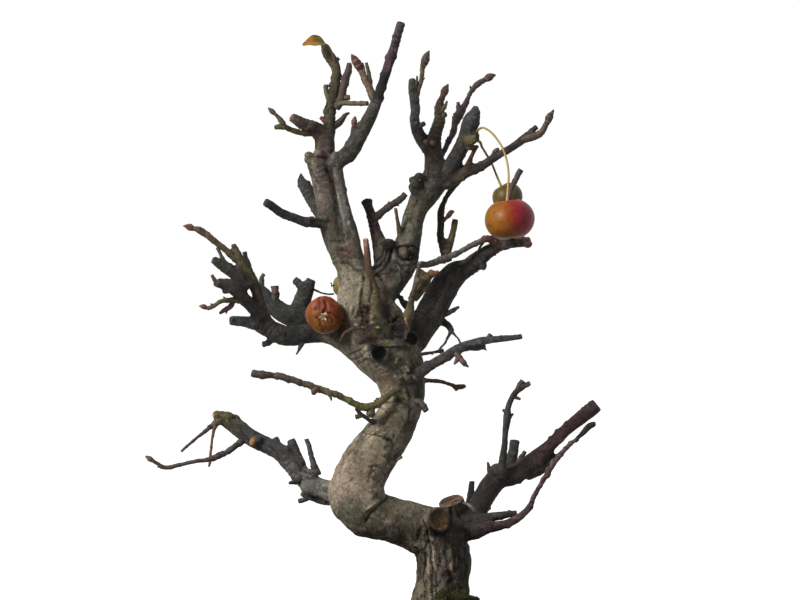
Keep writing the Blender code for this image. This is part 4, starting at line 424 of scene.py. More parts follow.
# Stalks run from the spur or trunk to the hollow of the fruit.
STALKS = {
    "red_fruit_stalk": [
        (477, 132.4, -4.5, 1.5), (478, 130, -5.2, 1.2), (483, 127.7, -7, 1.1), (490.7, 132, -9.5, 1.1),
        (497.4, 139.7, -12, 1.1), (503, 149, -14.5, 1.1), (507, 161.7, -17, 1.1), (508.6, 175, -19, 1.1),
        (508, 188.4, -20, 1.2), (507.2, 202.4, -20, 1.6)],
    "green_fruit_stalk": [
        (475, 139.5, -4, 1.6), (480, 142.2, -4, 1.5), (482, 147, 0, 1.25), (485, 152, 5, 1.2),
        (491.7, 163.6, 8.5, 1.15), (496.4, 175, 8.5, 1.15), (501.3, 186.9, 7.1, 1.4)],
    "brown_fruit_stalk": [
        (327.6, 312.0, -3.2, 1.6), (328.5, 311, 1, 1.2), (328, 310.5, 5, 1.2), (327, 310.5, 8.0, 1.5)],
    "yellow_fruit_stalk": [
        (356.5, 287, 19.5, 1.2), (362, 290, 18, 1.0), (367, 295, 15.5, 1.2), (368, 298, 13.7, 1.6)],
}

# Leaf
LEAF_BASE = (325.5, 43.8, 2.2)
LEAF_TIP = (302.5, 45.0, -3.0)
LEAF_HALF_WIDTH = 0.0032
LEAF_FOLD = 0.45
LEAF_ARCH = 0.0016
LEAF_POINT = 0.0004
LEAF_FACING = (0.15, -0.75, 0.65)
LEAF_FULLEST = 0.85
PETIOLE = [(334.5, 60, 1.9, 1.4), (331.5, 52, 1.4, 1.2), (327.5, 45.5, 1.8, 1.2), (323.0, 43.9, 1.6, 1.0)]

# Moss cushion at the front of the trunk's foot
MOSS_PLACE = (456, 610, -14)
MOSS_RADII = (0.0125, 0.010, 0.0125)
MOSS_BODY = (0.66, 0.72, 0.73)

# Bark colours by kind of limb, in 0 to 255 steps
KIND_TINTS = {
    "trunk": (138, 126, 106),
    "stem": (106, 98, 84),
    "bough": (62, 60, 56),
    "olive": (92, 84, 58),
    "brown": (92, 74, 62),
    "purple": (70, 58, 56),
    "red": (92, 62, 54),
    "orange": (118, 82, 50),
    "sawn": (96, 86, 72),
    "pale": (142, 130, 104),
}

# Limbs whose colour changes along their length: shares of the length and colours
BANDS = {
    "fork_pale_twig": ((0.0, (72, 66, 58)), (0.4, (116, 108, 98)), (1.0, (92, 80, 66))),
    "low_left_orange_bud": ((0.0, (120, 84, 44)), (1.0, (196, 146, 80))),
    "crown_left_left_twig": ((0.0, (76, 66, 46)), (0.5, (88, 78, 46)), (1.0, (98, 90, 46))),
    "front_dry_curl": ((0.0, (52, 36, 28)), (0.6, (84, 54, 40)), (1.0, (150, 92, 54))),
    "back_left_red_stub": (
        (0.0, (50, 46, 44)), (0.6, (58, 48, 46)), (0.75, (92, 56, 50)), (1.0, (84, 52, 46))),
    "crown_mid_spur_b": ((0.0, (84, 76, 52)), (1.0, (72, 60, 50))),
    "crown_mid_spur": ((0.0, (84, 74, 50)), (0.5, (96, 80, 58)), (1.0, (108, 84, 66))),
    "crown_left_spur_b": ((0.0, (56, 46, 38)), (1.0, (60, 48, 42))),
    "crown_left_side": ((0.0, (70, 60, 46)), (0.5, (66, 52, 44)), (1.0, (62, 48, 44))),
    "fan_d": ((0.0, (58, 54, 50)), (0.6, (64, 62, 60)), (1.0, (76, 78, 80))),
    "front_orange_twig": (
        (0.0, (66, 58, 42)), (0.45, (88, 80, 54)), (0.55, (84, 64, 46)), (0.85, (108, 76, 58)),
        (1.0, (146, 104, 84))),
    "thin_left": ((0.0, (84, 76, 52)), (0.3, (96, 88, 46)), (0.6, (88, 80, 58)), (1.0, (66, 62, 58))),
    "front_upright": (
        (0.0, (104, 80, 70)), (0.3, (84, 76, 50)), (0.7, (88, 80, 66)), (1.0, (100, 92, 84))),
    "crown_mid_limb": (
        (0.0, (76, 72, 64)), (0.47, (70, 66, 60)), (0.52, (30, 28, 28)), (0.66, (28, 26, 27)),
        (0.71, (78, 60, 62)), (1.0, (74, 64, 68))),
    "low_right": (
        (0.0, (44, 40, 38)), (0.5, (60, 50, 48)), (0.8, (78, 56, 54)), (0.95, (66, 54, 52)),
        (1.0, (46, 44, 42))),
    "low_right_purple": (
        (0.0, (56, 50, 46)), (0.3, (80, 62, 62)), (0.84, (100, 78, 78)), (0.88, (50, 46, 44)),
        (1.0, (46, 44, 42))),
    "low_left": (
        (0.0, (128, 122, 112)), (0.22, (104, 100, 94)), (0.5, (72, 70, 68)), (0.8, (60, 59, 58)),
        (0.92, (84, 76, 54)), (1.0, (92, 82, 56))),
    "low_left_lower_twig": ((0.0, (52, 48, 46)), (0.3, (70, 59, 54)), (1.0, (80, 64, 58))),
    "low_left_tip_twig": ((0.0, (62, 53, 50)), (1.0, (80, 60, 54))),
    "low_left_red_twig": ((0.0, (96, 63, 50)), (1.0, (112, 72, 50))),
    "mid_left": (
        (0.0, (92, 86, 76)), (0.2, (60, 58, 54)), (0.6, (66, 64, 60)), (0.85, (84, 84, 82)),
        (1.0, (80, 82, 84))),
    "mid_left_rise": (
        (0.0, (64, 60, 54)), (0.3, (76, 70, 58)), (0.6, (90, 82, 60)), (0.8, (98, 90, 60)),
        (1.0, (90, 78, 58))),
    "mid_left_long_twig": ((0.0, (78, 72, 58)), (0.6, (104, 90, 64)), (1.0, (110, 84, 66))),
    "back_left": ((0.0, (58, 56, 52)), (0.6, (54, 54, 52)), (1.0, (50, 50, 50))),
    "back_left_thread": ((0.0, (30, 28, 27)), (1.0, (34, 30, 28))),
    "crown_right": (
        (0.0, (100, 97, 84)), (0.5, (92, 90, 78)), (0.8, (72, 68, 60)), (1.0, (58, 54, 50))),
    "crown_left_a": (
        (0.0, (96, 84, 70)), (0.2, (94, 86, 70)), (0.5, (106, 100, 88)), (0.8, (114, 104, 94)),
        (1.0, (104, 94, 82))),
    "crown_left_b": (
        (0.0, (92, 84, 72)), (0.4, (100, 96, 88)), (0.8, (108, 104, 98)), (1.0, (104, 100, 94))),
    "crown_left_top": ((0.0, (84, 74, 66)), (0.5, (72, 64, 58)), (1.0, (86, 70, 58))),
    "crown_left_up": (
        (0.0, (74, 66, 56)), (0.4, (62, 58, 46)), (0.8, (84, 76, 56)), (1.0, (88, 78, 60))),
    "centre_stub": (
        (0.0, (74, 68, 60)), (0.35, (92, 78, 64)), (0.6, (74, 58, 58)), (1.0, (56, 48, 46))),
    "centre_stub_side": ((0.0, (66, 50, 50)), (1.0, (80, 66, 62))),
    "centre_back_twig": ((0.0, (84, 78, 52)), (1.0, (112, 84, 64))),
    "right_bough": ((0.0, (70, 66, 58)), (0.3, (66, 64, 58)), (0.7, (56, 54, 52)), (1.0, (80, 66, 58))),
    "right_twig": ((0.0, (52, 48, 38)), (0.5, (96, 90, 82)), (1.0, (84, 74, 68))),
    "right_lower": ((0.0, (84, 80, 72)), (0.4, (66, 64, 62)), (1.0, (62, 60, 60))),
    "fan_a": (
        (0.0, (66, 60, 56)), (0.35, (62, 58, 54)), (0.5, (90, 92, 92)), (0.7, (86, 88, 88)),
        (0.8, (84, 80, 64)), (1.0, (62, 60, 48))),
    "fan_b": ((0.0, (62, 52, 44)), (0.3, (70, 58, 50)), (0.6, (76, 70, 52)), (1.0, (94, 74, 64))),
    "fan_c": ((0.0, (56, 47, 42)), (0.5, (52, 41, 38)), (0.8, (66, 48, 44)), (1.0, (78, 64, 58))),
    "fan_e": ((0.0, (58, 54, 50)), (0.7, (56, 52, 48)), (1.0, (64, 56, 50))),
    "fan_e_tip": ((0.0, (84, 58, 54)), (0.5, (88, 70, 56)), (1.0, (92, 76, 60))),
    "knuckle_back_twig": ((0.0, (46, 44, 40)), (0.5, (56, 54, 40)), (1.0, (78, 74, 44))),
    "fruit_side_stub": ((0.0, (56, 50, 50)), (0.7, (74, 60, 60)), (1.0, (56, 52, 56))),
    "front_spur_cluster": ((0.0, (92, 82, 44)), (0.6, (78, 66, 42)), (1.0, (150, 96, 74))),
    "front_olive_spur": ((0.0, (88, 82, 56)), (1.0, (66, 60, 42))),
    "front_cut_stub": ((0.0, (84, 72, 56)), (0.6, (118, 106, 90)), (1.0, (132, 120, 104))),
    "front_side_knuckle": ((0.0, (84, 78, 68)), (1.0, (126, 120, 106))),
    "front_low_knuckle": ((0.0, (84, 76, 64)), (1.0, (104, 98, 84))),
    "crown_left_stub_front": ((0.0, (66, 56, 46)), (0.5, (60, 56, 54)), (1.0, (48, 44, 44))),
    "thin_left_low": ((0.0, (60, 58, 54)), (1.0, (52, 50, 48))),
    "trunk_spur": ((0.0, (146, 134, 108)), (0.85, (150, 140, 112)), (1.0, (70, 60, 48))),
    "fork": ((0.0, (64, 60, 54)), (1.0, (52, 50, 46))),
}

# Faces of cut ends; the other ends keep the dark default.
END_TINTS = {
    "fork_stub_front": (98, 74, 42),
    "crown_right_shoulder": (84, 78, 66),
    "fork_stub_top": (108, 82, 64),
    "front_cut_stub": (54, 42, 32),
    # The two hollow knuckles' near-black faces are painted shadow inside their holes.
    "front_low_knuckle": (10, 10, 12),
    "front_side_knuckle": (8, 8, 10),
    "low_right": (88, 62, 60),
    "low_right_upright": (205, 165, 130),
    "front_upright": (214, 168, 136),
    "front_orange_twig": (216, 172, 142),
    "centre_stub": (46, 38, 36),
    "crown_left_top": (112, 78, 62),
    "back_left_red_stub": (132, 72, 58),
    "right_bough": (190, 150, 112),
    "knuckle_back_stub": (96, 62, 58),
    "mid_left_grey_stub": (86, 80, 74),
    "low_left": (122, 92, 52),
    "thin_left": (170, 140, 100),
}
DARK_END = (50, 45, 42)
HOLLOW_ENDS = {
    "front_low_knuckle": 0.0036,
    "front_side_knuckle": 0.0024,
    "fork_stub_front": 0.0009,
    "front_cut_stub": 0.0013,
}

# Extra knobs of wood: place on the drawing, and half width, depth and height in squares
LUMPS = (
    ((227, 417, 23), (7.5, 7, 5.5)),
    ((219, 421, 23), (4.5, 5, 4.5)),
    ((234, 420, 25), (7, 7, 6)),
    ((222, 414, 27), (5, 5, 3.5)),
    ((258, 440, 16), (4, 4, 5)),
    ((309, 476, 8), (9, 8, 8)),
    ((283, 451, 17), (8, 7, 6)),
    ((403.5, 253, -6), (6, 4.5, 6)),
    ((412.5, 252, -3), (5.5, 4.5, 5.5)),
    ((388, 244, 3), (8, 7, 6)),
    ((311, 220, 1), (4.5, 6, 4)),
    ((309, 160, -5), (5, 5, 4)),
    ((411, 378, -9), (5.5, 5, 5)),
    ((414, 388, -8), (4, 4, 4)),
    ((367, 352, -12), (5, 5, 9)),
    ((392, 343, -14), (8, 5, 4)),
    ((356, 322, -12), (5, 5, 4)),
    ((372, 340, -14), (12, 6, 6)),
    ((428, 191, 8), (11, 9, 12)),
    ((415, 183, 3), (5, 5, 5)),
    ((462, 524, -2), (11, 9, 9)),
    ((466, 510, 2), (7, 6, 7)),
    ((458, 536, -5), (10, 8, 8)),
    ((344, 250, 1), (12, 9, 9)),
    ((498, 470, 4), (9, 8, 7)),
    ((521, 472, 8), (9, 8, 6)),
    ((513, 243, 11), (8, 5, 5)),
    ((256, 322, -8), (8, 6, 6)),
    ((239, 321, -12), (6, 5, 5)),
    ((266, 300, 23), (7, 7, 6)),
    ((232, 288, -18), (7, 6, 5)),
    ((446, 184, 9), (7, 7, 6)),
    ((413, 180, 4), (4.5, 5, 3.5)),
    ((419, 176, 5), (4.5, 5, 3.5)),
    ((426, 142, 1), (3, 3, 3.2)),
    ((433, 143, 0), (3.2, 3, 3.4)),
    ((312, 486, 8), (13, 10, 10)),
    ((522, 239, 9), (4, 4, 3.6)),
    ((528, 244, 8), (4.6, 4, 4)),
    ((485, 239, 9), (4.5, 4, 3.5)),
    ((217, 415, 24), (5, 5.5, 4.5)),
    ((215, 424, 24), (4, 4, 4)),
    ((475, 136, 1), (5, 5, 5.5)),
    ((470, 146, 2), (4, 4, 4.5)),
    ((421, 274, -10), (4.5, 4, 5)),
    ((427, 284, -9), (4, 4, 4)),
    ((431, 273, -9), (3.5, 3.5, 4)),
    ((419, 281, -12), (3.5, 3, 4)),
    ((309, 155, -4), (4.5, 5, 3.5)),
    ((318, 153, -8), (5, 4, 3.5)),
    ((336, 156, -9), (5, 4, 5)),
    ((307, 222, -7), (5, 5, 5.5)),
    ((362, 340, -22), (7, 4, 4)),
    ((352, 310, -18), (3, 3, 6)),
    ((360, 292, -20), (3, 3, 5)),
    ((469, 600, -8), (6, 6, 5)),
)

# Limbs at least this wide (half thickness in squares) melt into one body of wood.
WOOD_WIDTH = 5.0
WOOD_VOXEL = 0.0006
WOOD_SPACING = 0.0012
WOOD_SIDES = 20
WOOD_TRIANGLES = 192000
SOFTEN_ROUNDS = 6

# Crumbs of bark and dead moss in the fork: column, row, reach in squares and count
CRUMBS = (
    (362, 318, 12, 26),
    (378, 333, 16, 40),
    (392, 322, 8, 14),
    (408, 372, 9, 16),
    (392, 396, 9, 12),
    (389, 246, 9, 18),
)
# Crumbs start this far in front, in millimetres, and move back until they are this near the wood.
CRUMB_DEPTH = -40
SEAT_STEPS = 12
SEAT_GAP = 0.0002

TWIG_SPACING = 0.0005
TWIG_SIDES = 12
STALK_SPACING = 0.0004
STALK_SIDES = 14
PETIOLE_SIDES = 12
SCAR_SPACING = (0.0022, 0.0058)
SCAR_COUNT = 80
SIDE_BUD_SIDES = 8
SIDE_BUD_SHARE = 0.4
SIDE_BUD_TWIG = 2.2
LUMP_STEPS = 10
BURR_SPACING = 0.0034
BURR_LIMB = 6.5

# Darkest values that a colour may take, and the primes that scatter the repeatable noise
DARKEST = 0.003
DARKEST_BARK = 0.002
CELL_PRIMES = (73856093, 19349663, 83492791)
SEED_PRIME = 2654435761
MIX_PRIME = 1274126177


def clamp(values, low=0.0, high=1.0):
    """Keep values between two limits."""
    return np.minimum(np.maximum(values, low), high)


def fade(values, start, end):
    """Rise smoothly from 0 at start to 1 at end."""
    share = clamp((values - start) / (end - start))
    return share * share * (3 - 2 * share)


def blend(first, second, share):
    """Mix two colours by a share of the second."""
    return first + share * (second - first)


def bounded(colours, darkest=DARKEST):
    """Keep colours between nearly black and white."""
    return clamp(colours, darkest, 1.0)


def circle(sides):
    """Even turns round a circle."""
    return 2 * math.pi * np.arange(sides) / sides


def half_circle(steps):
    """Profile of a ball from one pole to the other, as (radius, height)."""
    turns = [math.pi * step / steps for step in range(steps + 1)]
    return [(math.sin(turn), math.cos(turn)) for turn in turns]


def inside(points, low, high):
    """Numbers of the points inside a box."""
    return np.where(np.all((points > low) & (points < high), axis=1))[0]


def ring_numbers(count, sides):
    """For each point of a swept tube, the number of its ring."""
    return np.concatenate([np.repeat(np.arange(count), sides), [0, count - 1]])


def tint(colour):
    """Turn a colour in 0 to 255 steps into linear values."""
    share = np.asarray(colour, float) / 255
    return np.where(share <= 0.04045, share / 12.92, ((share + 0.055) / 1.055) ** 2.4)


def lattice(cells, seed):
    """Repeatable random numbers from 0 to 1 for whole-number cells."""
    mixed = cells.astype(np.int64) @ np.array(CELL_PRIMES) + seed * SEED_PRIME
    mixed = (mixed ^ (mixed >> 13)) * MIX_PRIME
    return ((mixed ^ (mixed >> 16)) & 0xFFFFFF) / float(0x1000000)


def noise(points, size, seed):
    """Smooth noise from -1 to 1 at points, with bumps of a given size."""
    scaled = points / size
    base = np.floor(scaled)
    part = scaled - base
    part = part * part * (3 - 2 * part)
    total = np.zeros(len(points))
    for corner in np.ndindex(2, 2, 2):
        weight = np.prod(np.where(corner, part, 1 - part), axis=1)
        total += weight * lattice(base + np.array(corner), seed)
    return 2 * total - 1


def uneven(points, *layers):
    """Uneven brightness: 1 plus layers of noise, each given as (share, size, seed)."""
    total = 1
    for share, size, seed in layers:
        total = total + share * noise(points, size, seed)
    return total[:, None]


def place(column, row, depth):
    """Turn a place on the drawing into metres; what lies farther back is larger than drawn."""
    spread = 1.0 + depth * MILLIMETRE / VIEW_DISTANCE
    across = (EYE_COLUMN - POT_COLUMN) + (column - EYE_COLUMN) * spread
    up = (SOIL_ROW - EYE_ROW) + (EYE_ROW - row) * spread
    return np.array((across * SQUARE, depth * MILLIMETRE, up * SQUARE + SOIL_HEIGHT))


def drawn(points):
    """Turn points in metres into columns and rows of the drawing."""
    spread = 1.0 + points[:, 1] / VIEW_DISTANCE
    column = EYE_COLUMN + (points[:, 0] / SQUARE - (EYE_COLUMN - POT_COLUMN)) / spread
    row = EYE_ROW - ((points[:, 2] - SOIL_HEIGHT) / SQUARE - (SOIL_ROW - EYE_ROW)) / spread
    return np.stack([column, row], axis=1)


def smooth(stations, steps=8):
    """Refine a route into a smooth curve through its stations."""
    padded = np.array([stations[0], *stations, stations[-1]], float)
    refined = []
    for a, b, c, d in zip(padded, padded[1:], padded[2:], padded[3:]):
        for share in np.arange(steps) / steps:
            bend = (2 * a - 5 * b + 4 * c - d) * share ** 2 + (3 * b - a - 3 * c + d) * share ** 3
            refined.append(0.5 * (2 * b + (c - a) * share + bend))
    refined.append(padded[-1])
    return np.array(refined)


def route(stations, spacing):
    """Centres and radii in metres at even steps along a limb."""
    fine = smooth(stations)
    centres = np.array([place(*station[:3]) for station in fine])
    radii = fine[:, 3] * SQUARE
    lengths = np.concatenate([[0], np.cumsum(np.linalg.norm(np.diff(centres, axis=0), axis=1))])
    count = max(4, int(round(lengths[-1] / spacing)) + 1)
    even = np.linspace(0, lengths[-1], count)
    steady = np.stack([np.interp(even, lengths, centres[:, axis]) for axis in range(3)], axis=1)
    return steady, np.interp(even, lengths, radii), even


def directions(centres):
    """Tangents of a route, and two sideways directions that don't twist."""
    tangents = np.gradient(centres, axis=0)
    tangents /= np.linalg.norm(tangents, axis=1)[:, None]
    start = np.cross(tangents[0], (0.0, 1.0, 0.2))
    sideways = [start / np.linalg.norm(start)]
    for tangent in tangents[1:]:
        side = sideways[-1] - tangent * np.dot(sideways[-1], tangent)
        sideways.append(side / np.linalg.norm(side))
    sideways = np.array(sideways)
    return tangents, sideways, np.cross(tangents, sideways)


def sweep(centres, radii, sides):
    """Rings of points about a route, and the faces of the closed tube through them."""
    _, first, second = directions(centres)
    turns = circle(sides)[None, :, None]
    spokes = np.cos(turns) * first[:, None] + np.sin(turns) * second[:, None]
    if radii.ndim == 1:
        radii = radii[:, None]
    rings = centres[:, None] + spokes * radii[..., None]
    count = len(centres)
    points = np.concatenate([rings.reshape(-1, 3), centres[:1], centres[-1:]])
    faces = []
    for ring in range(count - 1):
        for side in range(sides):
            here = ring * sides + side
            beside = ring * sides + (side + 1) % sides
            faces.append((here, beside, beside + sides, here + sides))
    last = (count - 1) * sides
    for side in range(sides):
        beside = (side + 1) % sides
        faces.append((beside, side, count * sides))
        faces.append((last + side, last + beside, count * sides + 1))
    return points, faces


def join(parts):
    """Join lists of points, faces and colours into one."""
    points, faces, colours = [], [], []
    start = 0
    for part_points, part_faces, part_colours in parts:
        points.append(part_points)
        colours.append(part_colours)
        faces.extend(tuple(start + corner for corner in face) for face in part_faces)
        start += len(part_points)
    return np.concatenate(points), faces, np.concatenate(colours)


def make_mesh(name, points, faces, colours=None, shade_smooth=True):
    """Make an object from points and faces, with a colour for each point."""
    mesh = bpy.data.meshes.new(name)
    mesh.from_pydata(points.tolist(), [], faces)
    if colours is not None:
        paint(mesh, colours)
    if shade_smooth:
        mesh.shade_smooth()
    else:
        mesh.shade_flat()
    item = bpy.data.objects.new(name, mesh)
    bpy.context.scene.collection.objects.link(item)
    return item


def paint(mesh, colours):
    """Store a colour for each point of a mesh."""
    layer = mesh.color_attributes.new("tint", "FLOAT_COLOR", "POINT")
    full = np.concatenate([colours, np.ones((len(colours), 1))], axis=1)
    layer.data.foreach_set("color", full.astype(np.float32).ravel())


def points_of(mesh):
    """Read a mesh's points and normals."""
    points = np.empty(len(mesh.vertices) * 3)
    mesh.vertices.foreach_get("co", points)
    normals = np.empty(len(mesh.vertices) * 3)
    mesh.vertex_normals.foreach_get("vector", normals)
    return points.reshape(-1, 3), normals.reshape(-1, 3)


def set_points(mesh, points):
    """Write a mesh's points."""
    mesh.vertices.foreach_set("co", points.ravel())
    mesh.update()


def apply_modifiers(item):
    """Replace an object's mesh by what its modifiers make of it."""
    graph = bpy.context.evaluated_depsgraph_get()
    mesh = bpy.data.meshes.new_from_object(item.evaluated_get(graph))
    item.modifiers.clear()
    item.data = mesh


def finish_piece(item, material, slot, *nodes):
    """Give a piece its material and its body, and hide the nodes that it stands for; slot is not used."""
    item.data.materials.clear()
    item.data.materials.append(material)
    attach(item, "root")
    if nodes:
        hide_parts(*nodes)
    return item


class Shader:
    """A short way to write a node material."""

    def __init__(self, name, roughness, specular=0.3):
        self.material = bpy.data.materials.new(name)
        self.material.use_nodes = True
        self.tree = self.material.node_tree
        self.surface = self.tree.nodes["Principled BSDF"]
        self.surface.inputs["Roughness"].default_value = roughness
        self.surface.inputs["Specular IOR Level"].default_value = specular
        self.place = self.add("ShaderNodeTexCoord").outputs["Object"]

    def add(self, kind, **settings):
        """Add a node with its settings."""
        node = self.tree.nodes.new(kind)
        for key, value in settings.items():
            setattr(node, key, value)
        return node

    def link(self, source, target):
        """Join an output to an input."""
        self.tree.links.new(source, target)

    def noise(self, size, detail=4.0, rough=0.6, place=None):
        """Noise with bumps of a size in metres."""
        node = self.add("ShaderNodeTexNoise")
        node.inputs["Scale"].default_value = 1 / size
        node.inputs["Detail"].default_value = detail
        node.inputs["Roughness"].default_value = rough
        self.link(place or self.place, node.inputs["Vector"])
        return node.outputs["Fac"]

    def stretched(self, scale):
        """Places measured with a scale of their own along each axis."""
        node = self.add("ShaderNodeMapping")
        node.inputs["Scale"].default_value = scale
        self.link(self.place, node.inputs["Vector"])
        return node.outputs["Vector"]

    def height(self):
        """Height above the frame's floor in metres."""
        node = self.add("ShaderNodeSeparateXYZ")
        self.link(self.place, node.inputs["Vector"])
        return node.outputs["Z"]

    def cells(self, size, feature="F1"):
        """Distance to scattered points a size apart."""
        node = self.add("ShaderNodeTexVoronoi", feature=feature)
        node.inputs["Scale"].default_value = 1 / size
        self.link(self.place, node.inputs["Vector"])
        return node.outputs["Distance"]

    def ramp(self, source, *stops):
        """Turn a value into a colour or grey by stops of (place, colour)."""
        node = self.add("ShaderNodeValToRGB")
        elements = node.color_ramp.elements
        while len(elements) < len(stops):
            elements.new(0.5)
        for element, (position, colour) in zip(elements, stops):
            element.position = position
            grey = isinstance(colour, (int, float))
            element.color = (colour, colour, colour, 1.0) if grey else (*colour, 1.0)
        self.link(source, node.inputs["Fac"])
        return node.outputs["Color"]

    def mix(self, first, second, share, blend="MIX"):
        """Mix two colours; each may be an output or a colour, and the share an output or a number."""
        node = self.add("ShaderNodeMix", data_type="RGBA", blend_type=blend)
        for socket, value in zip((node.inputs[6], node.inputs[7], node.inputs[0]), (first, second, share)):
            if isinstance(value, bpy.types.NodeSocket):
                self.link(value, socket)
            elif isinstance(value, (int, float)):
                socket.default_value = value
            else:
                socket.default_value = (*value, 1.0)
        return node.outputs[2]

    def times(self, first, second, share=1.0):
        """Multiply one colour by another."""
        return self.mix(first, second, share, "MULTIPLY")

    def mottled(self, grain, dark, pale, share=0.9):
        """The colour stored on the mesh's points, mottled by the noise named in grain."""
        stored = self.add("ShaderNodeAttribute", attribute_name="tint").outputs["Color"]
        return self.times(stored, self.ramp(self.noise(*grain), dark, pale), share)

    def colour(self, source):
        """Feed the base colour."""
        self.link(source, self.surface.inputs["Base Color"])

    def relief(self, source, depth):
        """Add a bump of a depth in metres on top of earlier ones."""
        bump = self.add("ShaderNodeBump")
        bump.inputs["Distance"].default_value = depth
        bump.inputs["Strength"].default_value = 1.0
        self.link(source, bump.inputs["Height"])
        normal = self.surface.inputs["Normal"]
        if normal.is_linked:
            self.link(normal.links[0].from_socket, bump.inputs["Normal"])
        self.link(bump.outputs["Normal"], normal)


def bark_material():
    """Rough bark: stored colour, fine mottling, dark pores and cracks, and a grainy relief."""
    shader = Shader("bark", 0.78, 0.25)
    mottled = shader.mottled((0.0014, 6.0, 0.8), (0.32, 0.3), (0.66, 1.55))
    pores = shader.ramp(shader.cells(0.0030), (0.10, 0.15), (0.18, 1.0))
    pored = shader.times(mottled, pores, 0.65)
    crackle = shader.ramp(shader.cells(0.0052, "DISTANCE_TO_EDGE"), (0.012, 0.3), (0.06, 1.0))
    shown = shader.ramp(shader.noise(0.011, 3.0), (0.48, 0.0), (0.64, 0.7))
    crackled = shader.mix(pored, shader.times(pored, crackle), shown)
    tall = shader.stretched((1.0, 1.0, 0.3))
    fissure = shader.ramp(shader.noise(0.0034, 5.0, 0.6, tall), (0.46, 1.0), (0.5, 0.12), (0.54, 1.0))
    low = shader.ramp(shader.height(), (0.084, 1.0), (0.100, 0.0))
    split = shader.mix(crackled, shader.times(crackled, fissure), low)
    pointiness = shader.add("ShaderNodeNewGeometry").outputs["Pointiness"]
    # Pointiness darkens the hollows as painted shade and lightens the ridges, partly edge wear and partly
    # painted light.
    hollow_shade_and_edge_wear = shader.ramp(pointiness, (0.44, 0.45), (0.5, 1.0), (0.56, 1.5))
    shader.colour(shader.times(split, hollow_shade_and_edge_wear))
    shader.relief(shader.noise(0.0012, 6.0, 0.8), 0.0011)
    shader.relief(pores, 0.0003)
    shader.relief(shader.mix((1.0, 1.0, 1.0), fissure, low), 0.0006)
    return shader.material


def twig_material():
    """Younger bark: stored colour with fine mottling and small pale pores."""
    shader = Shader("young_bark", 0.62, 0.35)
    mottled = shader.mottled((0.0009, 5.0, 0.7), (0.32, 0.4), (0.66, 1.35), 0.85)
    pores = shader.ramp(shader.cells(0.0022), (0.08, 0.4), (0.14, 0.0))
    shader.colour(shader.mix(mottled, tint((140, 124, 98)), pores))
    shader.relief(shader.noise(0.0006, 5.0, 0.7), 0.0003)
    return shader.material


def bands_of(name, kind):
    """Shares of a limb's length and the colours there."""
    bands = BANDS.get(name, ((0.0, KIND_TINTS[kind]), (1.0, KIND_TINTS[kind])))
    return np.array([share for share, _ in bands]), np.array([tint(colour) for _, colour in bands])


def banded(limb, along):
    """Colour of a limb at distances along it."""
    shares, colours = limb["bands"]
    share = along / limb["lengths"][-1]
    return np.stack([np.interp(share, shares, colours[:, channel]) for channel in range(3)], axis=1)


def limb_list():
    """All limbs with their routes, widest station, colour and end colour."""
    limbs = []
    for name, (kind, stations) in LIMBS.items():
        widest = max(station[3] for station in stations)
        centres, radii, lengths = route(stations, WOOD_SPACING)
        limbs.append({
            "name": name, "kind": kind, "stations": stations, "widest": widest, "centres": centres,
            "radii": radii, "lengths": lengths, "bands": bands_of(name, kind),
            "end": tint(END_TINTS.get(name, DARK_END)),
        })
    return limbs


def excess(points, limb):
    """How far points lie outside a limb, how far along it, its radius there and its centre there."""
    centres = limb["centres"]
    best = np.full(len(points), np.inf)
    along = np.zeros(len(points))
    radius = np.zeros(len(points))
    nearest = np.zeros((len(points), 3))
    steps = np.diff(centres, axis=0)
    squares = np.sum(steps * steps, axis=1)
    for index, (start, step) in enumerate(zip(centres[:-1], steps)):
        share = clamp((points - start) @ step / squares[index])
        foot = start + share[:, None] * step
        thick = limb["radii"][index] * (1 - share) + limb["radii"][index + 1] * share
        gap = np.linalg.norm(points - foot, axis=1) - thick
        better = gap < best
        best[better] = gap[better]
        radius[better] = thick[better]
        nearest[better] = foot[better]
        length = limb["lengths"][index + 1] - limb["lengths"][index]
        along[better] = limb["lengths"][index] + share[better] * length
    return best, along, radius, nearest


# The limbs' colours run into each other over this width, and a limb colours the wood this far out.
BLEND_WIDTH = 0.0013
REACH = 0.006


def own_limbs(points, limbs):
    """Blend the limbs' colours at each point, and find the limb, place, radius and centre it belongs to."""
    colours = np.zeros((len(points), 3))
    weights = np.full(len(points), 1e-9)
    least = np.full(len(points), np.inf)
    owner = np.zeros(len(points), int)
    along = np.zeros(len(points))
    radius = np.full(len(points), 0.001)
    centre = points.copy()
    for index, limb in enumerate(limbs):
        room = limb["radii"].max() + REACH
        low = limb["centres"].min(axis=0) - room
        high = limb["centres"].max(axis=0) + room
        near = inside(points, low, high)
        if len(near) == 0:
            continue
        gap, place_along, thick, nearest = excess(points[near], limb)
        weight = np.exp(-(np.maximum(gap, 0) / BLEND_WIDTH) ** 2)
        colours[near] += weight[:, None] * banded(limb, place_along)
        weights[near] += weight
        better = gap < least[near]
        chosen = near[better]
        least[chosen] = gap[better]
        owner[chosen] = index
        along[chosen] = place_along[better]
        radius[chosen] = thick[better]
        centre[chosen] = nearest[better]
    colours /= weights[:, None]
    return colours, owner, along, radius, centre
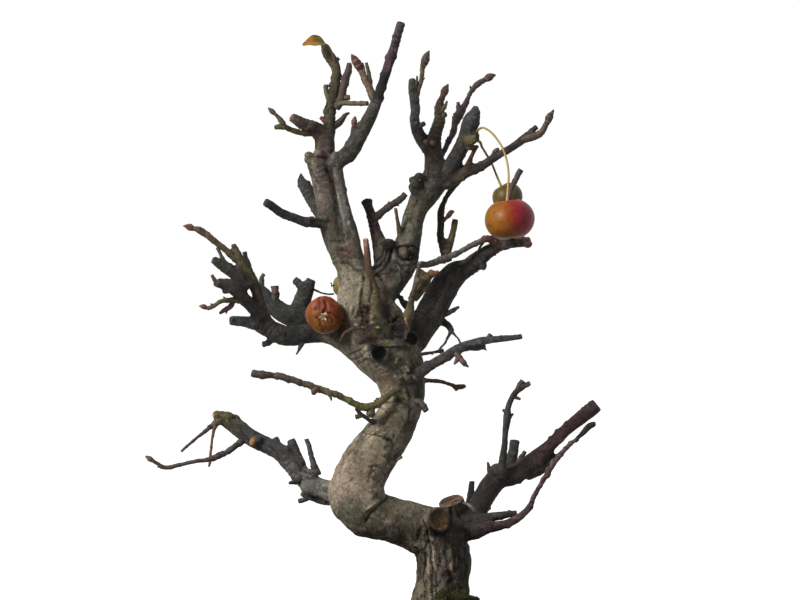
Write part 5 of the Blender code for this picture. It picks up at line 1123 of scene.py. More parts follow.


# Marks on the front of the wood: points on the drawing, half width in squares, height in
# millimetres (negative for a groove) and how much of the colour stays. Grooves are darkened as painted
# shade, the darkest as painted shadow around the cut stubs, and ridges are lightened as painted highlight.
MARKS = (
    ([(423, 520), (427.5, 530), (429, 541), (431.5, 549), (430.5, 560), (433, 569), (431.5, 582),
      (433, 602)], 0.8, -0.7, 0.18),
    ([(421, 519), (423, 530), (424.5, 545), (425, 552)], 1.3, 0.5, 1.15),
    ([(424, 517), (430, 530), (432, 540), (434, 548), (434, 560)], 1.6, 0.5, 1.15),
    ([(425, 549), (425.5, 557), (425, 566)], 1.2, -0.6, 0.3),
    ([(421.5, 527), (419, 533), (417.5, 540)], 1.3, -0.6, 0.35),
    ([(428, 560), (429, 572), (428, 585), (429, 600)], 1.4, 0.4, 1.1),
    ([(420, 566), (423, 572), (421, 579)], 1.4, -0.3, 0.55),
    ([(438, 545), (439, 556), (441, 566)], 0.9, -0.35, 0.6),
    ([(443, 548), (444, 560), (443, 572)], 0.8, -0.35, 0.6),
    ([(436, 572), (437, 585), (436, 600)], 0.9, -0.35, 0.6),
    ([(454.5, 550), (455, 560), (454.5, 572)], 1.2, -0.8, 0.3),
    ([(450, 574), (453, 578), (450, 582)], 3.4, -1.6, 0.12),
    ([(461, 558), (462, 563)], 1.4, -0.8, 0.25),
    ([(457, 545), (459, 556), (458, 570)], 0.9, -0.4, 0.55),
    ([(464, 548), (465, 562), (464, 580)], 0.9, -0.4, 0.5),
    ([(432, 508), (429, 519), (431, 529), (436, 534)], 1.6, -0.7, 0.2),
    ([(437, 533), (444, 534), (450, 528), (451.5, 518), (450.5, 508)], 2.4, -1.0, 0.2),
    ([(441, 504), (449, 500), (458, 496)], 0.8, -0.2, 0.4),
    ([(447, 505), (455, 501.5), (462, 499)], 0.8, -0.2, 0.45),
    ([(446, 499), (453, 496)], 0.7, 0.2, 1.4),
    ([(438, 508), (447, 508.5), (457, 506.5), (463, 503)], 1.1, -0.3, 0.5),
    ([(456, 509), (459, 517), (465, 523)], 1.2, -0.5, 0.45),
    ([(462, 528), (468, 532), (470, 538)], 1.2, -0.5, 0.45),
    ([(388, 492), (386, 499), (378, 506), (371, 513), (366, 522)], 1.5, -0.9, 0.35),
    ([(384, 495), (378, 501), (370, 507), (364, 511)], 1.6, 0.5, 1.3),
    ([(371, 509), (366, 515), (363, 521)], 2.4, -0.3, 0.6),
    ([(361, 431), (367, 434), (376, 435), (385, 437.5), (389, 440)], 0.9, -0.5, 0.4),
    ([(372, 438), (380, 439), (386, 444), (392, 447)], 1.3, 0.5, 1.25),
    ([(387, 439), (392, 441), (395, 445)], 1.6, -0.6, 0.4),
    ([(389, 446), (393, 447)], 1.2, -0.5, 0.35),
    ([(370, 466.5), (377, 465.5), (382, 469), (385, 476)], 1.0, -0.45, 0.5),
    ([(385, 456), (391, 459.5), (398, 456)], 2.2, -0.5, 0.45),
    ([(388, 462), (392, 466), (388, 474)], 1.6, -0.4, 0.5),
    ([(371, 398), (380, 402), (392, 403), (404, 399)], 1.2, -0.4, 0.5),
    ([(374, 391), (384, 394.5), (396, 393)], 1.2, 0.35, 1.2),
    ([(379, 407), (388, 412), (399, 411)], 1.0, -0.35, 0.55),
    ([(398, 400), (404, 404), (411, 409)], 2.6, -0.6, 0.35),
    ([(402, 417), (406, 424), (405, 432)], 1.0, -0.3, 0.6),
    ([(397, 247.5), (404, 245.5), (412, 246), (418, 249), (418, 257), (412, 260), (404, 260.5), (398, 256),
      (397, 250)], 1.3, -0.8, 0.12),
    ([(409, 247), (410, 253), (408, 259)], 1.2, -0.7, 0.12),
    ([(414, 250), (413, 256)], 2.4, -0.5, 0.35),
    ([(399, 262), (404, 263), (411, 261.5), (417, 262)], 1.0, 0.4, 1.4),
    ([(396, 256), (399, 265), (405, 272), (413, 272)], 0.8, -0.35, 0.5),
    ([(394, 262), (398, 271), (404, 277)], 0.8, -0.3, 0.6),
    ([(391, 252), (389, 262), (383, 270), (376, 275)], 1.1, -0.8, 0.25),
    ([(387.5, 250), (385, 259), (380, 265), (374, 269)], 1.0, -0.8, 0.25),
    ([(394, 255), (391, 267), (385, 275), (378, 279)], 0.9, 0.4, 1.4),
    ([(384, 249), (382, 256), (376, 262)], 1.0, -0.7, 0.25),
    ([(341, 263), (347, 262.5), (352, 266), (355, 270), (361, 271), (364, 277)], 1.7, -0.4, 0.22),
    ([(364, 277), (362.5, 288), (360.5, 298), (360, 308), (363, 317)], 1.2, -0.5, 0.3),
    ([(371, 281), (371.5, 292), (369, 302)], 0.9, -0.4, 0.45),
    ([(333, 245), (340, 246), (347, 244)], 0.9, 0.4, 1.35),
    ([(336, 251), (343, 250), (350, 253)], 0.9, -0.4, 0.5),
    ([(339, 258), (346, 256), (352, 259)], 0.9, -0.35, 0.55),
    ([(332, 241), (340, 241), (347, 239)], 0.8, -0.35, 0.5),
    ([(311, 221), (318, 220), (325, 221.5), (331, 221)], 1.3, -0.4, 0.3),
    ([(312, 217.5), (318, 216.5), (326, 217)], 0.9, 0.4, 1.3),
    ([(331, 166), (332.5, 178), (335, 192), (338, 208), (341, 222), (343, 238)], 1.3, -0.6, 0.3),
    ([(334, 176), (337, 192), (341, 208), (344.5, 222)], 0.9, 0.3, 1.5),
    ([(306, 161), (311, 156), (318, 157.5), (325, 157)], 0.8, -0.4, 0.5),
    ([(342.5, 232), (345, 231), (346.5, 236), (344.5, 240), (342.5, 236)], 0.8, 0.3, 1.3),
    ([(344, 234), (344.5, 237)], 1.1, -0.4, 0.4),
    ([(350, 354), (360, 350), (367, 343)], 0.9, -0.35, 0.5),
    ([(352, 360), (361, 357), (368, 350)], 0.9, -0.35, 0.5),
    ([(357, 364), (366, 360)], 0.9, -0.3, 0.55),
    ([(366, 347), (367.5, 354), (371, 361)], 1.5, 0.5, 1.5),
    ([(386, 346), (393, 345.5), (402, 344)], 1.3, 0.4, 1.4),
    ([(397, 251), (399, 247), (404, 245.5), (408, 248), (413, 246.5), (418, 250), (417, 256), (411, 259.5),
      (404, 259.5), (399, 256), (397, 251)], 0.85, -0.5, 0.3),
    ([(395, 262), (402, 265.5), (411, 265.5), (418, 262)], 0.7, -0.4, 0.45),
    ([(393, 335), (392.5, 324), (397, 317), (402, 317.5), (405, 324), (405, 333), (400, 338), (394, 336)],
     1.0, -0.6, 0.25),
    ([(405.5, 319), (408, 328), (406, 338)], 1.3, 0.7, 2.2),
    ([(391.5, 335), (392, 325), (396, 317.5), (402, 317)], 1.4, -0.5, 0.25),
    ([(372, 345), (380, 347), (390, 347), (400, 347)], 0.9, -0.4, 0.4),
    ([(396, 366), (402, 372), (404, 380)], 1.0, -0.35, 0.5),
    ([(406, 379), (412, 375), (417, 380)], 1.0, 0.4, 1.45),
    ([(408, 384), (414, 383)], 1.2, -0.5, 0.35),
    ([(444, 262), (441, 280), (436, 298), (431, 312)], 1.4, 0.3, 0.6),
    ([(455, 262), (448, 282), (441, 300)], 0.7, 0.2, 1.25),
    ([(427, 318), (430, 322)], 1.3, -0.4, 0.35),
    ([(300, 471), (305, 463), (312, 460)], 1.0, -0.4, 0.5),
    ([(296, 462), (302, 470), (311, 474)], 1.2, -0.4, 0.5),
    ([(270, 446), (276, 452), (280, 460)], 0.9, -0.3, 0.55),
    ([(240, 428), (243, 434), (249, 441)], 0.9, -0.3, 0.55),
    ([(469, 505), (474, 507), (476, 511)], 0.9, 0.5, 2.6),
    ([(466, 503), (472, 504.5)], 0.8, 0.5, 2.4),
)

# Dark pores that stand out, with their half width in squares
SPECKS = (
    (349, 461, 0.8), (351.5, 465, 0.7), (349.5, 473, 0.8), (352, 480, 0.7), (347, 470, 0.5),
    (354, 458, 0.5), (349, 279.4, 0.9), (353.5, 285.7, 0.8), (357, 285, 0.8), (346.6, 304, 0.9),
    (353.5, 309.8, 0.9), (356, 317, 1.1), (358, 300, 0.8), (351, 292, 0.5), (344, 296, 0.5),
    (390, 499.5, 0.8), (401, 500, 0.7),
    (420, 503, 0.9), (398, 511, 0.6), (403, 517, 0.8), (412, 513, 0.6), (384, 520, 0.6), (360, 509, 0.5),
    (372, 416, 0.7), (384, 425, 0.6), (395, 431, 0.6), (350, 335, 0.7), (345, 329, 0.6), (383, 381, 0.6),
    (388, 377, 0.6), (320, 178, 0.6), (318, 196, 0.5), (326, 205, 0.5), (427, 321, 1.0), (386, 316, 1.3),
)

# Patches of other colour on the front of the wood: place on the drawing, radii in squares, colour
# and strength. The darkest of them are painted shadow in the gaps between limbs and under the stubs.
PATCHES = (
    ((352, 290), (12, 30), (138, 129, 110), 0.9),
    ((349, 322), (12, 12), (116, 108, 90), 0.7),
    ((367, 290), (4, 14), (122, 112, 94), 0.7),
    ((345, 478), (14, 24), (158, 136, 118), 0.6),
    ((366, 474), (12, 22), (144, 124, 104), 0.6),
    ((352, 508), (14, 14), (104, 102, 84), 0.6),
    ((375, 450), (16, 14), (134, 122, 100), 0.5),
    ((388, 420), (12, 18), (122, 114, 92), 0.5),
    ((410, 425), (8, 26), (68, 64, 54), 0.7),
    ((392, 397), (15, 9), (146, 130, 104), 0.75),
    ((386, 378), (12, 12), (112, 90, 76), 0.7),
    ((396, 372), (8, 14), (72, 72, 60), 0.7),
    ((414, 385), (9, 22), (58, 55, 48), 0.7),
    ((411, 379), (5, 5), (126, 118, 102), 0.7),
    ((374, 333), (20, 10), (50, 40, 27), 0.9),
    ((386, 322), (8, 18), (40, 34, 25), 0.85),
    ((350, 342), (14, 14), (112, 108, 90), 0.6),
    ((395, 343), (9, 4), (126, 122, 106), 0.8),
    ((398, 358), (16, 12), (64, 64, 54), 0.7),
    ((377, 300), (6, 22), (94, 86, 60), 0.5),
    ((402, 515), (18, 14), (116, 106, 84), 0.7),
    ((400, 532), (20, 8), (84, 80, 64), 0.6),
    ((362, 530), (22, 8), (72, 70, 58), 0.6),
    ((463, 560), (10, 40), (76, 70, 63), 0.85),
    ((443, 556), (9, 20), (96, 85, 74), 0.7),
    ((441, 580), (8, 12), (98, 84, 76), 0.7),
    ((423, 590), (8, 14), (108, 101, 82), 0.8),
    ((422, 566), (5, 12), (86, 64, 54), 0.7),
    ((450, 538), (18, 10), (52, 46, 40), 0.85),
    ((460, 520), (14, 16), (50, 49, 44), 0.8),
    ((440, 507), (6, 3), (112, 102, 82), 0.7),
    ((458, 594), (20, 8), (44, 48, 22), 0.9),
    ((447, 592), (4, 4), (104, 108, 40), 0.7),
    ((384, 262), (9, 14), (70, 62, 58), 0.7),
    ((346, 252), (10, 9), (94, 76, 62), 0.85),
    ((403.5, 253), (4, 5), (108, 92, 80), 0.8),
    ((389, 245), (9, 7), (12, 11, 12), 0.95),
    ((326, 196), (6, 20), (118, 98, 88), 0.5),
    ((332, 238), (10, 14), (92, 88, 70), 0.6),
    ((340, 200), (4, 30), (116, 112, 104), 0.5),
    ((385, 316), (6, 5), (22, 20, 22), 0.8),
    ((320, 322), (14, 14), (44, 42, 40), 0.5),
    ((427, 421), (3, 3), (60, 52, 40), 0.5),
    ((413.5, 253), (4, 5.5), (26, 24, 23), 0.9),
    ((404, 252), (2.2, 3), (130, 112, 98), 0.7),
    ((386, 341.5), (1.7, 1.4), (206, 206, 40), 1.0),
    ((378, 327.6), (2.2, 1.0), (160, 168, 60), 1.0),
    ((396, 360.5), (1.4, 2.6), (138, 146, 66), 0.9),
    ((394, 376), (1.3, 1.2), (200, 200, 184), 0.9),
    ((409, 376.5), (2.2, 1.8), (160, 150, 128), 0.8),
    ((412, 368), (3, 4), (38, 36, 33), 0.8),
    ((403, 385), (5, 4), (48, 46, 40), 0.7),
    ((420, 392), (5, 14), (44, 42, 37), 0.7),
    ((365, 352), (4, 8), (140, 132, 112), 0.6),
    ((368, 320), (3, 10), (52, 40, 30), 0.8),
    ((360, 311), (4, 6), (66, 50, 36), 0.7),
    ((372, 335), (5, 3), (96, 84, 44), 0.7),
    ((401, 345), (10, 3), (132, 130, 118), 0.6),
    ((366, 244), (2, 3), (170, 126, 104), 0.6),
    ((328, 183), (1.8, 2.2), (160, 150, 128), 0.9),
    ((349, 222), (1.6, 1.6), (176, 172, 158), 0.8),
    ((332, 182), (2.2, 8), (92, 66, 52), 0.6),
    ((349, 235), (3, 6), (44, 38, 34), 0.7),
    ((388, 270), (5, 14), (54, 46, 42), 0.6),
    ((232, 417), (6, 4), (92, 86, 72), 0.5),
    ((213.5, 415.5), (1.8, 1.6), (186, 142, 84), 0.9),
    ((226.5, 420.5), (1.8, 1.6), (190, 148, 92), 0.9),
    ((463, 506), (6, 5), (40, 39, 36), 0.8),
    ((452, 586), (6, 8), (26, 24, 22), 0.8),
    ((399, 328), (6, 9.5), (25, 20, 16), 0.95),
    ((368, 338), (16, 6), (50, 40, 29), 0.6),
    ((377, 321), (5, 5), (30, 24, 20), 0.7),
    ((390, 334), (4, 7), (40, 31, 24), 0.6),
    ((308, 487), (17, 8), (112, 107, 100), 0.75),
    ((526, 242), (6, 5), (112, 78, 68), 0.7),
    ((489, 240), (6, 4), (92, 60, 52), 0.6),
    ((464, 583), (9, 9), (44, 46, 30), 0.5),
    ((426, 142), (3, 3), (98, 68, 54), 0.8),
    ((433, 143), (3, 3), (98, 68, 54), 0.8),
    ((418, 182), (8, 8), (74, 68, 58), 0.6),
    ((424, 283), (4, 5), (40, 34, 20), 0.8),
    ((357, 330), (6, 5), (84, 64, 48), 0.7),
    ((362, 300), (3, 8), (84, 66, 50), 0.7),
    ((374, 300), (3, 16), (112, 102, 74), 0.5),
    ((384, 300), (3, 10), (46, 38, 34), 0.6),
    ((420, 535), (3, 8), (60, 48, 42), 0.6),
)

# How squarely the wood has to face the viewer before it takes a mark, and to take it in full
FRONT_START = -0.05
FRONT_FULL = 0.35

# Patches fade between these shares of their radii; marks and specks end at these half widths.
PATCH_CORE = 0.7
PATCH_EDGE = 1.15
MARK_REACH = 4.0
SPECK_REACH = 3
SPECK_DEPTH = 0.0003
SPECK_DARKNESS = 0.85


def near_line(flat, line):
    """Distance on the drawing from points to a line of points."""
    best = np.full(len(flat), np.inf)
    for start, end in zip(line, line[1:]):
        start, step = np.array(start), np.subtract(end, start)
        share = clamp((flat - start) @ step / (step @ step))
        best = np.minimum(best, np.linalg.norm(flat - start - share[:, None] * step, axis=1))
    return best


def mark_front(points, normals, colours, heights):
    """Press the marks, pores and patches into the front of the wood, with painted shade in grooves and gaps
    and painted highlight on ridges.
    """
    front = fade(-normals[:, 1], FRONT_START, FRONT_FULL)
    flat = drawn(points)
    ragged = 0.22 * noise(points, 0.004, 40) + 0.16 * noise(points, 0.0015, 80)
    facing = np.where(front > 0)[0]
    # The darkest patches lay painted shadow over the gaps and the wood under the stubs.
    for centre, radii, colour, strength in PATCHES:
        away = np.linalg.norm((flat[facing] - centre) / radii, axis=1) + ragged[facing]
        near = facing[away < PATCH_EDGE]
        share = (1 - fade(away[away < PATCH_EDGE], PATCH_CORE, PATCH_EDGE)) * front[near] * strength
        colours[near] = blend(colours[near], tint(colour), share[:, None])
    wander = 0.7 * noise(points, 0.003, 7) + 0.4 * noise(points, 0.0012, 8)
    for line, half_width, height, keep in MARKS:
        corners = np.array(line)
        low = corners.min(axis=0) - MARK_REACH * half_width
        high = corners.max(axis=0) + MARK_REACH * half_width
        near = inside(flat, low, high)
        gap = near_line(flat[near], line) + wander[near] * 0.6
        share = np.exp(-(gap / half_width) ** 2) * front[near]
        # Grooves darkened as painted shade and ridges lightened as painted highlight.
        heights[near] += share * height * MILLIMETRE
        colours[near] *= (1 + share * (keep - 1))[:, None]
    for column, row, half_width in SPECKS:
        away = np.linalg.norm(flat[facing] - (column, row), axis=1) / half_width
        near = facing[away < SPECK_REACH]
        share = np.exp(-away[away < SPECK_REACH] ** 2) * front[near]
        heights[near] -= share * SPECK_DEPTH
        colours[near] *= (1 - SPECK_DARKNESS * share)[:, None]
    return colours, heights


# Bark: heights in metres, the step between its wrinkles, how its grain runs along a limb, and colours
FULL_RELIEF_RADIUS = 0.010
BROAD_BUMPS = 0.0006
SMALL_BUMPS = 0.00034
GRAIN_BUMPS = 0.00013
STREAK_BUMPS = 0.00014
CRACK_DEPTH = 0.00034
WRINKLE_HEIGHT = 0.00014
WRINKLE_STEP = 0.0026
PIT_DEPTH = 0.0002
FOOT_ROUGHNESS = 0.0002
FOOT_SPLIT_DEPTH = 0.0003
FOOT_TOP = 0.096
FOOT_FULL = 0.080
FOOT_STRETCH = (1.0, 1.0, 0.4)
GRAIN_RUN = (0.16, 0.2, 0.14)
LIMB_SHIFT = 0.01
SHADE_HEIGHT = 0.0007
OLIVE_FILM = (98, 96, 66)
WARM_BARK = (112, 84, 70)
WARM_TIP = (86, 66, 56)


def carve(points, normals, limbs):
    """Work out the wood's relief and colour from the limb that each point belongs to."""
    colours, owner, along, radius, centre = own_limbs(points, limbs)
    kinds = np.array([limb["kind"] for limb in limbs])[owner]
    old = np.isin(kinds, ("trunk", "stem", "sawn")).astype(float)
    size = clamp(radius / FULL_RELIEF_RADIUS, 0.3, 1.2)
    grown = (points - centre) + along[:, None] * np.array(GRAIN_RUN) + owner[:, None] * LIMB_SHIFT
    heights = BROAD_BUMPS * size * noise(points, 0.008, 1)
    heights += SMALL_BUMPS * size * noise(points, 0.0038, 2)
    grain = noise(points, 0.0014, 3)
    streak = noise(grown, 0.0016, 6)
    ridge = 1 - 2 * np.abs(noise(grown, 0.0034, 9))
    crack = fade(ridge, 0.62, 0.98) * fade(noise(points, 0.010, 10), -0.25, 0.5)
    heights += GRAIN_BUMPS * grain + STREAK_BUMPS * streak * size - CRACK_DEPTH * crack * size
    wander = noise(points, 0.006, 4)
    ring = np.sin(2 * math.pi * (along / WRINKLE_STEP + 0.6 * wander))
    wrinkled = fade(noise(points, 0.009, 5), 0.0, 0.6)
    heights += WRINKLE_HEIGHT * ring * wrinkled * (1 - 0.4 * old)
    colours *= uneven(points, (0.34, 0.0045, 11), (0.28, 0.0016, 12))
    colours *= (1 + 0.22 * streak)[:, None]
    colours *= (1 - 0.5 * crack)[:, None]
    # Painted light and shade: wrinkle crests lighter and troughs darker, following the relief.
    colours *= (1 + 0.16 * ring * wrinkled)[:, None]
    mossy = fade(noise(points, 0.010, 13), 0.1, 0.7) * 0.4 * old
    colours = blend(colours, tint(OLIVE_FILM), mossy[:, None])
    warm = fade(noise(points, 0.007, 14), 0.2, 0.8) * 0.4 * old
    colours = blend(colours, tint(WARM_BARK), warm[:, None])
    # Pale flecks on the bark, partly crust and partly painted highlight.
    pale_crust_and_highlight = fade(noise(points, 0.0024, 15), 0.45, 0.8)
    colours = blend(colours, 1.7 * colours + 0.02, (0.3 * pale_crust_and_highlight)[:, None])
    pit = fade(noise(points, 0.0021, 16), 0.55, 0.85)
    colours *= (1 - 0.55 * pit)[:, None]
    heights -= PIT_DEPTH * pit
    foot = fade(points[:, 2], FOOT_TOP, FOOT_FULL)
    stretched = points * FOOT_STRETCH
    rough = noise(stretched, 0.0022, 22) + 0.6 * noise(stretched, 0.0011, 23)
    split = fade(1 - 2 * np.abs(noise(stretched, 0.0030, 21)), 0.55, 0.98) * foot
    heights += foot * FOOT_ROUGHNESS * rough - FOOT_SPLIT_DEPTH * split
    colours *= (1 - 0.4 * split + 0.06 * foot * rough)[:, None]
    # Painted light and shade: high places lighter and low places darker, as much as the relief.
    colours *= (1 + 0.38 * np.clip(heights / SHADE_HEIGHT, -1, 1))[:, None]
    colours, heights = paint_ends(points, normals, colours, heights, limbs)
    colours, heights = mark_front(points, normals, colours, heights)
    return bounded(colours, DARKEST_BARK), heights


# Cut ends: how far off its plane a face may lie, the least depth of a hollow, the waves of the rings,
# and where the rim of bark starts and is full, in shares of the radius
END_SLACK = 0.0006
LEAST_HOLLOW = 0.001
RING_WAVES = 15
RIM_START = 0.86
RIM_FULL = 0.98
RIM_RELIEF = 0.0006


def paint_ends(points, normals, colours, heights, limbs):
    """Give cut faces their wood colour with rings and a painted shade across them, and sink the hollow
    ones.
    """
    for limb in limbs:
        end = limb["centres"][-1]
        tangent = end - limb["centres"][-2]
        tangent /= np.linalg.norm(tangent)
        wide = limb["radii"][-1]
        depth = HOLLOW_ENDS.get(limb["name"], 0.0)
        room = 1.6 * wide + depth + 0.0008
        near = np.where(np.all(np.abs(points - end) < room, axis=1))[0]
        if len(near) == 0:
            continue
        offset = points[near] - end
        level = offset @ tangent
        flat = offset - level[:, None] * tangent
        away = np.linalg.norm(flat, axis=1) / wide
        slack = 0.3 * wide + END_SLACK
        face = fade(normals[near] @ tangent, 0.6, 0.85) * (np.abs(level) < slack) * (away < 1.06)
        sunk = (away < 0.94) & (level < 0.0004) & (level > -depth - slack) & (depth > LEAST_HOLLOW)
        face = np.maximum(face, sunk)
        mottle = noise(points[near], 0.0026, 33)
        ring = 1 + 0.2 * np.sin(away * RING_WAVES + 3 * noise(points[near], 0.002, 31))
        ring = ring + 0.3 * noise(points[near], 0.0012, 32)
        split = fade(1 - 2 * np.abs(noise(flat, 0.004, 34)), 0.6, 1.0)
        # Painted shade across each cut face: darker toward its upper left, lighter toward its lower right.
        painted_shade_slope = (offset[:, 0] - 1.4 * offset[:, 2]) / wide + 0.5 * mottle
        grain_rings_and_painted_shade = (0.4 + 0.95 * fade(painted_shade_slope, -1.0, 1.0)) * (1 + 0.4 * mottle - 0.5 * split) * ring
        rim = fade(away, RIM_START, RIM_FULL)[:, None]
        wood = blend(limb["end"] * grain_rings_and_painted_shade[:, None], limb["end"] * 1.7 + 0.03, 0.6 * rim)
        colours[near] = blend(colours[near], wood, face[:, None])
        heights[near] -= face * depth * (1 - fade(away, 0.55, 1.0))
        rough = np.exp(-((away - 1.0) / 0.2) ** 2) * (np.abs(level) < 0.5 * wide) * (depth > LEAST_HOLLOW)
        heights[near] += rough * RIM_RELIEF * noise(points[near], 0.0022, 35)
    return bounded(colours, DARKEST_BARK), heights


def seated(middles, limbs):
    """Move points in front of the wood straight back until they meet it, and drop those that miss it."""
    for _ in range(SEAT_STEPS):
        gaps = np.min([excess(middles, limb)[0] for limb in limbs], axis=0)
        middles[:, 1] += np.maximum(gaps, 0.0)
    return middles[gaps < SEAT_GAP]


def lump_parts(limbs):
    """Closed knobs of wood that melt into the limbs: placed ones, and small burrs along the boughs."""
    points, faces = round_body(half_circle(LUMP_STEPS), 2 * LUMP_STEPS)
    blank = np.zeros((len(points), 3))
    for centre, radii in LUMPS:
        yield points * np.array(radii) * SQUARE + place(*centre), faces, blank
    rng = np.random.default_rng(14)
    for limb in limbs:
        if limb["kind"] in ("trunk", "sawn") or limb["widest"] < BURR_LIMB:
            continue
        tangents, sideways, upward = directions(limb["centres"])
        for _ in range(int(limb["lengths"][-1] / BURR_SPACING)):
            index = int(len(limb["centres"]) * rng.uniform(0.06, 0.9))
            turn = rng.uniform(0, 2 * math.pi)
            out = math.cos(turn) * sideways[index] + math.sin(turn) * upward[index]
            size = rng.uniform(0.0006, 0.0013) * (0.8 if limb["kind"] == "stem" else 1.0)
            long = size * rng.uniform(0.8, 1.8)
            stretch = points * size + np.outer(points @ tangents[index], tangents[index]) * (long - size)
            middle = limb["centres"][index] + out * (limb["radii"][index] - 0.2 * size)
            yield stretch + middle, faces, blank
    middles = []
    for column, row, reach, count in CRUMBS:
        for _ in range(count):
            turn = rng.uniform(0, 2 * math.pi)
            away = reach * math.sqrt(rng.uniform(0, 1))
            across, down = away * math.cos(turn), 0.8 * away * math.sin(turn)
            middles.append(place(column + across, row + down, CRUMB_DEPTH))
    for middle in seated(np.array(middles), limbs):
        radii = rng.uniform(0.8, 2.4, 3) * (1.5, 0.9, 1.0)
        yield points * radii * SQUARE + middle, faces, blank


def make_wood(limbs, material):
    """Melt the thick limbs into one body, smooth its joints, carve it and thin its mesh."""
    thick = [limb for limb in limbs if limb["widest"] >= WOOD_WIDTH]
    parts = list(lump_parts(thick))
    for limb in thick:
        points, faces = sweep(limb["centres"], limb["radii"], WOOD_SIDES)
        parts.append((points, faces, np.zeros((len(points), 3))))
    points, faces, _ = join(parts)
    wood = make_mesh("tree_wood", points, faces)
    remesh = wood.modifiers.new("melt", "REMESH")
    remesh.mode = "VOXEL"
    remesh.voxel_size = WOOD_VOXEL
    remesh.use_smooth_shade = True
    soften = wood.modifiers.new("soften", "SMOOTH")
    soften.factor = 0.5
    soften.iterations = SOFTEN_ROUNDS
    apply_modifiers(wood)
    points, normals = points_of(wood.data)
    _, heights = carve(points, normals, thick)
    set_points(wood.data, points + normals * heights[:, None])
    thin = wood.modifiers.new("thin", "DECIMATE")
    triangles = sum(len(face.vertices) - 2 for face in wood.data.polygons)
    thin.ratio = min(1.0, WOOD_TRIANGLES / triangles)
    apply_modifiers(wood)
    wood.data.shade_smooth()
    points, normals = points_of(wood.data)
    colours, _ = carve(points, normals, thick)
    paint(wood.data, colours)
    return finish_piece(wood, material, "bark", "tree")


def swell(lengths, radii, nodes, rng):
    """Add a knuckle to a twig at each of its leaf scars."""
    out = radii.copy()
    for node in nodes:
        ring = np.exp(-((lengths - node) / 0.0006) ** 2)
        out += ring * rng.uniform(0.04, 0.2) * radii
    return out


def bud_parts(root, direction, size, colour, rng):
    """A small side bud: a pointed egg that leans along its twig."""
    line = np.array([root, root + direction * size, root + direction * 2 * size])
    fine = smooth(line, 3)
    share = np.linspace(0, 1, len(fine))
    points, faces = sweep(fine, size * 0.55 * np.sin(math.pi * (0.3 + 0.68 * share)), SIDE_BUD_SIDES)
    tone = colour * rng.uniform(0.55, 1.0)
    return points, faces, bounded(np.tile(tone, (len(points), 1)))


def twig_parts(limb, rng):
    """One twig: a knuckled tube with side buds and a cut face."""
    centres, radii, lengths = route(limb["stations"], TWIG_SPACING)
    nodes = np.cumsum(rng.uniform(*SCAR_SPACING, SCAR_COUNT))
    nodes = nodes[nodes < lengths[-1] - 0.0012]
    wobble = noise(centres + limb["widest"], 0.003, 50)
    radii = swell(lengths, radii, nodes, rng) * (1 + 0.12 * wobble)
    shift = np.stack([noise(centres, 0.0035, seed) for seed in (51, 52, 53)], axis=1)
    centres = centres + 0.0004 * shift * fade(lengths, 0.0, 0.003)[:, None]
    tangents, sideways, upward = directions(centres)
    buds = []
    for node in nodes[1:]:
        index = int(np.searchsorted(lengths, node))
        turn = rng.uniform(0, 2 * math.pi)
        out = math.cos(turn) * sideways[index] + math.sin(turn) * upward[index]
        lean = 0.75 * tangents[index] + 0.65 * out
        size = min(0.0009, 0.55 * radii[index] + 0.0002)
        colour = banded(limb, np.array([node]))[0]
        if rng.uniform() < SIDE_BUD_SHARE and limb["widest"] > SIDE_BUD_TWIG:
            buds.append(bud_parts(centres[index] + out * radii[index] * 0.75, lean, size, colour, rng))
    tangent = tangents[-1]
    caps = ((0.0, 0.92), (-0.0001, 0.75), (-0.0002, 0.4))
    centres = np.concatenate([centres, [centres[-1] + tangent * out for out, _ in caps]])
    radii = np.concatenate([radii, [radii[-1] * share for _, share in caps]])
    lengths = np.concatenate([lengths, [lengths[-1]] * len(caps)])
    points, faces = sweep(centres, radii, TWIG_SIDES)
    ring_of = ring_numbers(len(centres), TWIG_SIDES)
    out = points - centres[ring_of]
    points = centres[ring_of] + out * uneven(points, (0.1, 0.0013, 54), (0.08, 0.0006, 55))
    along = lengths[ring_of]
    colours = banded(limb, along)
    colours *= uneven(points, (0.35, 0.003, 56), (0.25, 0.001, 57))
    for node in nodes:
        colours *= (1 - 0.45 * np.exp(-((along - node - 0.0005) / 0.00035) ** 2))[:, None]
    tip = fade(along / lengths[-1], 0.6, 1.0)
    warm = tint(WARM_TIP) if limb["kind"] in ("olive", "brown", "red") else colours
    colours = colours * (1 - 0.35 * tip)[:, None] + 0.35 * tip[:, None] * warm
    face = (ring_of >= len(centres) - len(caps)).astype(float)[:, None]
    colours = colours * (1 - face) + face * limb["end"]
    return [(points, faces, bounded(colours)), *buds]


BUD_TINTS = {
    "bud_fan_a": (46, 36, 34),
    "bud_fan_b": (76, 54, 48),
    "bud_fan_e": (46, 45, 44),
    "bud_mid_spur": (74, 38, 34),
    "bud_fan_c": (74, 50, 48),
    "bud_long_twig": (112, 66, 60),
}
PLAIN_BUD = (88, 60, 50)
SCALE_EDGE = (196, 160, 136)
SCALE_SPACING = 0.00022
SCALE_SIDES = 16
SCALE_TURNS = 3.4


